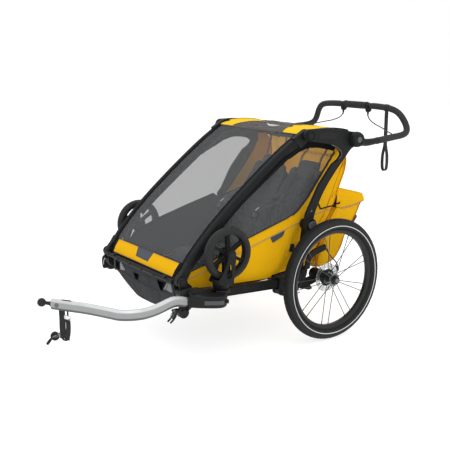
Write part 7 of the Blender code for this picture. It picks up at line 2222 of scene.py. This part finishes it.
def b_at(z):
    for i in range(len(BACK_LINE) - 1):
        if BACK_LINE[i + 1].y >= z:
            t = (z - BACK_LINE[i].y) / (BACK_LINE[i + 1].y - BACK_LINE[i].y)
            return BACK_LEN[i] + t * (BACK_LEN[i + 1] - BACK_LEN[i])
    return BACK_LEN[-1]


def swell(verts, faces, voxel, cap, pressure=4.0):
    """Inflates a closed cloth form for twenty frames and caps how far a point may move."""
    me = bpy.data.meshes.new("temp")
    me.from_pydata([tuple(v) for v in verts], [], [tuple(f) for f in faces])
    ob = bpy.data.objects.new("temp", me)
    scene.collection.objects.link(ob)
    mod = ob.modifiers.new("remesh", "REMESH")
    mod.mode = "VOXEL"
    mod.voxel_size = voxel
    deps = bpy.context.evaluated_depsgraph_get()
    new = bpy.data.meshes.new_from_object(ob.evaluated_get(deps))
    ob.modifiers.clear()
    ob.data = new
    start = np.array([v.co[:] for v in new.vertices])
    cl = ob.modifiers.new("cloth", "CLOTH")
    cl.settings.use_pressure = True
    cl.settings.uniform_pressure_force = pressure
    cl.settings.effector_weights.gravity = 0.0
    cl.settings.quality = 5
    cl.settings.tension_stiffness = 15
    cl.settings.compression_stiffness = 15
    cl.settings.bending_stiffness = 0.5
    cl.point_cache.frame_start = 1
    cl.point_cache.frame_end = 20
    for f in range(1, 21):
        scene.frame_set(f)
    deps = bpy.context.evaluated_depsgraph_get()
    done = bpy.data.meshes.new_from_object(ob.evaluated_get(deps))
    end = np.array([v.co[:] for v in done.vertices])
    move = end - start
    size = np.linalg.norm(move, axis=1, keepdims=True)
    move *= np.minimum(1.0, cap / np.maximum(size, 1e-9))
    out = start + move
    quads = [tuple(p.vertices) for p in done.polygons]
    ends = np.array([e.vertices[:] for e in done.edges])
    count = np.bincount(ends.ravel(), minlength=len(out)).reshape(-1, 1)
    for _ in range(10):
        total = np.zeros_like(move)
        np.add.at(total, ends[:, 0], move[ends[:, 1]])
        np.add.at(total, ends[:, 1], move[ends[:, 0]])
        move = 0.4 * move + 0.6 * total / np.maximum(count, 1)
    out = start + move
    scene.frame_set(1)
    bpy.data.objects.remove(ob, do_unlink=True)
    return [Vector(p) for p in out], quads


def pad_form(outline, thick, rim, voxel=0.0060, cap=0.0080, step=0.011, pressure=4.0):
    """A closed pad in its own plane: (across, along, height), domed from a rounded rim, then swollen as cloth."""
    (verts, faces), _ = fabric_cut(outline, [], step, lambda a, b: Vector((a, b, 0)), 0)
    keep = []
    for v in verts:
        d = edge_distance(Vector((v.x, v.y)), outline)
        k = min(1.0, d / rim)
        keep.append(thick / 2 * math.sqrt(max(0.0, 1 - (1 - k) ** 2)))
    n = len(verts)
    allv = [Vector((v.x, v.y, h)) for v, h in zip(verts, keep)] + [Vector((v.x, v.y, -h)) for v, h in zip(verts, keep)]
    allf = [tuple(f) for f in faces] + [tuple(i + n for i in reversed(f)) for f in faces]
    bm = bmesh.new()
    vs = [bm.verts.new(v) for v in allv]
    for f in allf:
        try:
            bm.faces.new([vs[i] for i in f])
        except ValueError:
            pass
    bmesh.ops.remove_doubles(bm, verts=bm.verts, dist=1e-5)
    bmesh.ops.recalc_face_normals(bm, faces=bm.faces)
    bm.verts.index_update()
    vv = [v.co.copy() for v in bm.verts]
    ff = [tuple(v.index for v in f.verts) for f in bm.faces]
    bm.free()
    return swell(vv, ff, voxel, cap, pressure)


def finer(shape):
    """One subdivision."""
    me = bpy.data.meshes.new("temp")
    me.from_pydata([tuple(v) for v in shape[0]], [], [tuple(f) for f in shape[1]])
    ob = bpy.data.objects.new("temp", me)
    scene.collection.objects.link(ob)
    mod = ob.modifiers.new("sub", "SUBSURF")
    mod.levels = 1
    deps = bpy.context.evaluated_depsgraph_get()
    new = bpy.data.meshes.new_from_object(ob.evaluated_get(deps))
    out = [v.co.copy() for v in new.vertices], [tuple(p.vertices) for p in new.polygons]
    bpy.data.objects.remove(ob, do_unlink=True)
    bpy.data.meshes.remove(new)
    return out


def near_line(p, a, b):
    a, b = Vector(a), Vector(b)
    d = b - a
    t = min(1.0, max(0.0, (p - a).dot(d) / d.length_squared))
    return (p - a - d * t).length


def channelled(shape, lines, depth, width):
    """Presses sewn channels into both faces of a pad."""
    out = []
    for v in shape[0]:
        p = Vector((v.x, v.y))
        k = 1.0
        for a, b in lines:
            k *= 1.0 - depth * math.exp(-(near_line(p, a, b) / width) ** 2)
        out.append(Vector((v.x, v.y, v.z * k)))
    return out, shape[1]


SLING = woven("sling_cloth", (0.055, 0.057, 0.060), X, Z, pitch=0.0014, wrinkle=0.3, rough=0.9, spec=0.1, sheen=0.0)
# painted light: the tethers are coloured brown for the light that shines through them from behind; the translucent
# share passes real light as well
TETHER_PAINTED_BACKLIGHT = lit_through(webbing("tether_webbing_painted_backlight", (0.26, 0.105, 0.045), Z), (0.70, 0.28, 0.10), 0.45)
SEAT_X = 0.1250
B_SHOULDER, B_HEAD = b_at(0.6700), b_at(0.7060)
BACK_OUT = rounded([(-0.1060, 0.004), (0.1060, 0.004), (0.1160, 0.060), (0.1100, 0.180), (0.1120, 0.300), (0.1180, B_SHOULDER - 0.050), (0.1140, B_SHOULDER - 0.014), (0.0960, B_SHOULDER + 0.002), (0.0700, B_SHOULDER - 0.002), (0.0640, B_SHOULDER + 0.012),
                    (0.0670, B_HEAD - 0.022), (0.0620, B_HEAD - 0.007), (0.0460, B_HEAD + 0.001), (-0.0460, B_HEAD + 0.001), (-0.0620, B_HEAD - 0.007), (-0.0670, B_HEAD - 0.022), (-0.0640, B_SHOULDER + 0.012), (-0.0700, B_SHOULDER - 0.002), (-0.0960, B_SHOULDER + 0.002), (-0.1140, B_SHOULDER - 0.014), (-0.1180, B_SHOULDER - 0.050),
                    (-0.1120, 0.300), (-0.1100, 0.180), (-0.1160, 0.060)], 0.014, 4)
BACK_LINES = [((-0.050, 0.05), (-0.050, B_SHOULDER - 0.02)), ((0.050, 0.05), (0.050, B_SHOULDER - 0.02)), ((-0.12, 0.115), (0.12, 0.115)), ((-0.12, 0.235), (0.12, 0.235)), ((-0.12, b_at(0.612)), (0.12, b_at(0.612)))]
SEAT_OUT = rounded([(-0.1080, 0.006), (-0.0500, 0.000), (0.0500, 0.000), (0.1080, 0.006), (0.1120, 0.060), (0.1070, 0.130), (0.1120, 0.215), (0.1080, 0.256), (-0.1080, 0.256), (-0.1120, 0.215), (-0.1070, 0.130), (-0.1120, 0.060)], 0.014, 4)
SEAT_LINES = [((-0.056, 0.02), (-0.056, 0.24)), ((0.056, 0.02), (0.056, 0.24)), ((-0.12, 0.095), (0.12, 0.095)), ((-0.12, 0.175), (0.12, 0.175))]
BACK_FORM = pad_form(BACK_OUT, 0.024, 0.020, cap=0.0065)
SEAT_FORM = pad_form(SEAT_OUT, 0.044, 0.026, cap=0.0080)


def seat_back_pad():
    out = Part()
    shape = finer(channelled(BACK_FORM, BACK_LINES, 0.42, 0.0075))

    def place(a, b, c):
        y, z = back_point(b, c)
        return Vector((SEAT_X + a, y, z))

    verts = [place(v.x, v.y, v.z) for v in shape[0]]
    out.add((verts, shape[1]), 0)
    rim = on([tuple(p) for p in BACK_OUT] + [tuple(BACK_OUT[0])], lambda a, b: place(a, b, 0.0), 0.007)
    centre = Vector((SEAT_X, *back_point(0.25, 0)))
    for s in (1, -1):
        for k in (0.012, -0.012):
            line = [(s * 0.050 + k * 0.55, b) for b in (0.06, 0.12, 0.20, 0.28, B_SHOULDER - 0.03)]
            stitches(out, on(line, lambda a, b: place(a, b, 0.0118), 0.01), 0.0052, 0.0005, (0, -0.9, 0.44), 2)
        # slot patch where a shoulder strap comes through
        b0 = B_SHOULDER - 0.026
        patch = [(s * 0.050 - 0.022, b0 - 0.012), (s * 0.050 + 0.022, b0 - 0.012), (s * 0.050 + 0.022, b0 + 0.012), (s * 0.050 - 0.022, b0 + 0.012)]
        shape2, mm = fabric_cut(rounded(patch, 0.004), [], 0.008, lambda a, b: place(a, b, 0.0140), 1)
        out.add(shape2, [1] * len(mm))
    return out


a, b = pair("seat_back_pad", seat_back_pad, [SEAT, SEAT_EDGE, THREAD_DARK], ("base", "base"), "seat_fabric", [], weighted=False, angle=75, squash=(0.30, 0.31))
for ob in (a, b):
    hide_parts("seat_back")


def seat_bottom_pad():
    out = Part()
    shape = finer(channelled(SEAT_FORM, SEAT_LINES, 0.34, 0.0080))

    def place(a, b, c):
        front = 0.010 * max(0.0, 1 - b / 0.05) ** 2
        z = 0.2972 + c - front
        if c < 0:
            z = max(z, 0.2712)
        return Vector((SEAT_X + a, -0.4180 + b, z))

    out.add(([place(v.x, v.y, v.z) for v in shape[0]], shape[1]), 0)
    rim = on([tuple(p) for p in SEAT_OUT] + [tuple(SEAT_OUT[0])], lambda a, b: place(a, b, 0.0), 0.007)
    centre = Vector((SEAT_X, -0.290, 0.297))
    for s in (1, -1):
        for k in (0.0065, -0.0065):
            stitches(out, on([(s * 0.056 + k, 0.03), (s * 0.056 + k, 0.235)], lambda a, b: place(a, b, 0.0215), 0.01), 0.0052, 0.0005, Z, 2)
    patch = rounded([(-0.020, 0.150), (0.020, 0.150), (0.020, 0.176), (-0.020, 0.176)], 0.004)
    shape2, mm = fabric_cut(patch, [], 0.008, lambda a, b: place(a, b, 0.0262), 1)
    out.add(shape2, [1] * len(mm))
    return out


a, b = pair("seat_bottom_pad", seat_bottom_pad, [SEAT, SEAT_EDGE, THREAD_DARK], ("base", "base"), "seat_fabric", [], weighted=False, angle=75, squash=(0.28, 0.45))
for ob in (a, b):
    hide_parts("seat_cushion")


def harness():
    """Five-point harness: padded shoulder straps, waist and crotch straps and a centre buckle, standing a little off the seat."""
    out = Part()

    def path(points, steps=6):
        return [Vector((SEAT_X + x, y, z)) for x, y, z in curve_through(points, steps)]

    for s in (1, -1):
        web = path([(s * 0.050, 0.0560, 0.6560), (s * 0.0505, 0.0300, 0.6400), (s * 0.0490, 0.0000, 0.6060), (s * 0.0460, -0.0320, 0.5740), (s * 0.0390, -0.0780, 0.5560), (s * 0.0280, -0.1300, 0.5420), (s * 0.0150, -0.1780, 0.5260), (s * 0.0100, -0.2040, 0.5130)])
        out.add(ribbon(web, 0.0250, 0.0018), 0)
        padded = web[3:20]
        out.add(sweep(padded, rounded([(-0.0210, -0.0038), (0.0210, -0.0038), (0.0210, 0.0048), (-0.0210, 0.0048)], 0.0040, 3), scale=lambda q: (1.0 - 0.30 * (2 * q - 1) ** 8, 1.0 - 0.45 * (2 * q - 1) ** 8)), 1)
        for k in (-0.0165, 0.0165):
            stitches(out, [p + Vector((k, -0.0006, 0.0050)) for p in padded[1:-1]], 0.0050, 0.0005, (0, -0.6, 0.8), 4)
        # adjuster on the strap and its loose tail
        m = web[26]
        out.add(spun(plate(rounded([(m.x - 0.0165, m.y - 0.010), (m.x + 0.0165, m.y - 0.010), (m.x + 0.0165, m.y + 0.010), (m.x - 0.0165, m.y + 0.010)], 0.004), m.z - 0.0022, m.z + 0.0034, bevel=0.0014, axis="Z"), m, X, math.radians(20)), 2)
        out.add(ribbon(path([(s * 0.0330, -0.1080, 0.5450), (s * 0.0350, -0.1160, 0.5300), (s * 0.0370, -0.1200, 0.5050), (s * 0.0380, -0.1190, 0.4700), (s * 0.0380, -0.1160, 0.4480)], 4), 0.0180, 0.0014, up=(0, 1, 0)), 0)
        waist = path([(s * 0.0140, -0.2060, 0.5000), (s * 0.0420, -0.1980, 0.4740), (s * 0.0740, -0.1780, 0.4340), (s * 0.0960, -0.1600, 0.3900), (s * 0.1040, -0.1500, 0.3500), (s * 0.1050, -0.1470, 0.3240)])
        out.add(ribbon(waist, 0.0240, 0.0018, up=(0, -1, 0.3)), 0)
        out.add(sweep(waist[6:20], rounded([(-0.0180, -0.0030), (0.0180, -0.0030), (0.0180, 0.0036), (-0.0180, 0.0036)], 0.0030, 3), up=(0, -1, 0.3), scale=lambda q: (1.0 - 0.25 * (2 * q - 1) ** 8, 1.0 - 0.4 * (2 * q - 1) ** 8)), 1)
    crotch = path([(0.0, -0.2200, 0.4920), (0.0, -0.2330, 0.4600), (0.0, -0.2420, 0.4200), (0.0, -0.2470, 0.3800), (0.0, -0.2500, 0.3400), (0.0, -0.2500, 0.3230)])
    out.add(ribbon(crotch, 0.0250, 0.0020, up=(0, -1, 0)), 0)
    out.add(sweep(crotch[5:22], rounded([(-0.0190, -0.0034), (0.0190, -0.0034), (0.0190, 0.0040), (-0.0190, 0.0040)], 0.0034, 3), up=(0, -1, 0), scale=lambda q: (1.0 - 0.25 * (2 * q - 1) ** 8, 1.0 - 0.4 * (2 * q - 1) ** 8)), 1)
    # buckle: body, release button and its rim
    c = Vector((SEAT_X, -0.2130, 0.5000))
    body = rounded([(-0.0200, -0.0120), (-0.0130, -0.0200), (0.0130, -0.0200), (0.0200, -0.0120), (0.0190, 0.0130), (0.0110, 0.0200), (-0.0110, 0.0200), (-0.0190, 0.0130)], 0.006, 4)
    shape = plate([(c.x + x, c.z + z) for x, z in body], c.y - 0.0062, c.y + 0.0058, bevel=0.0026, res=3, axis="Y")
    out.add(spun(shape, c, X, math.radians(-28)), 2)
    shape = plate([(c.x + 0.45 * x, c.z + 0.45 * z) for x, z in body], c.y - 0.0082, c.y - 0.0050, bevel=0.0012, axis="Y")
    out.add(spun(shape, c, X, math.radians(-28)), 3)
    # pale reflective tag on the strap above the buckle
    tag = [Vector((SEAT_X, y, z)) for y, z in ((-0.2105, 0.5190), (-0.2050, 0.5225), (-0.1990, 0.5260), (-0.1930, 0.5295))]
    out.add(ribbon(tag, 0.0090, 0.0022), 5)
    return out


a, b = pair("harness", harness, [M_WEB_X, SEAT_EDGE, M_PLASTIC_S, M_PLASTIC_G, THREAD_DARK, TAB], ("base", "base"), "webbing", [], weighted=False, squash=(0.30, 0.335))


def seat_sling():
    """Cloth stretched across behind the pads and under them, which closes the gaps between the two seats."""
    out = Part()

    def back(x, b):
        y, z = back_point(b, -0.0155 - 0.0030 * math.cos(2 * math.pi * x / 0.25))
        return Vector((x, y, z))

    top = b_at(0.642)
    outline = [(-0.2450, 0.010), (0.2450, 0.010), (0.2450, top - 0.030), (0.2300, top), (0.0300, top), (0.0100, top - 0.012), (-0.0100, top - 0.012), (-0.0300, top), (-0.2300, top), (-0.2450, top - 0.030)]
    shape, mats = fabric_cut(outline, [], 0.014, back, 0)
    out.add(shape, mats)
    out.add(tube(on(outline + outline[:1], back, 0.010), 0.0018, 8), 1)
    floor_line = [(-0.2460, -0.4240), (0.2460, -0.4240), (0.2460, -0.1350), (-0.2460, -0.1350)]
    shape, mats = fabric_cut(floor_line, [], 0.018, lambda x, y: Vector((x, y, 0.2712 + 0.0010 * lump((x, y, 0.2), 0.06))), 0)
    out.add(shape, mats)
    out.add(tube(on(floor_line + floor_line[:1], lambda x, y: Vector((x, y, 0.2718)), 0.010), 0.0014, 8), 1)
    ob = piece("seat_sling", out, [SLING, SEAT_EDGE], "base", "seat_fabric", [], weighted=False, angle=70, outward=False, squash=(0.30, 0.31))
    # tethers from the backs up to the rear bar
    for s, side in ((1, "left"), (-1, "right")):
        out = Part()
        for a, b in ((0.046, 0.090), (0.172, 0.196)):
            y0, z0 = back_point(b_at(0.622), -0.012)
            way = [(a, y0, z0), (a + 0.004, y0 + 0.012, z0 + 0.030), (a + 0.3 * (b - a), 0.0900, 0.7080), (a + 0.62 * (b - a), 0.1060, 0.7380), (b, 0.1260, 0.7800)]
            p = curve_through([(s * x, y, z) for x, y, z in way], 5)
            out.add(ribbon([Vector(q) for q in p], 0.0120, 0.0012, up=(0, 1, -0.4)), 0)
        ob = piece("seat_tether_" + side, out, [TETHER_PAINTED_BACKLIGHT], "base", "webbing", [], weighted=False, squash=(0.30, 0.31))


seat_sling()
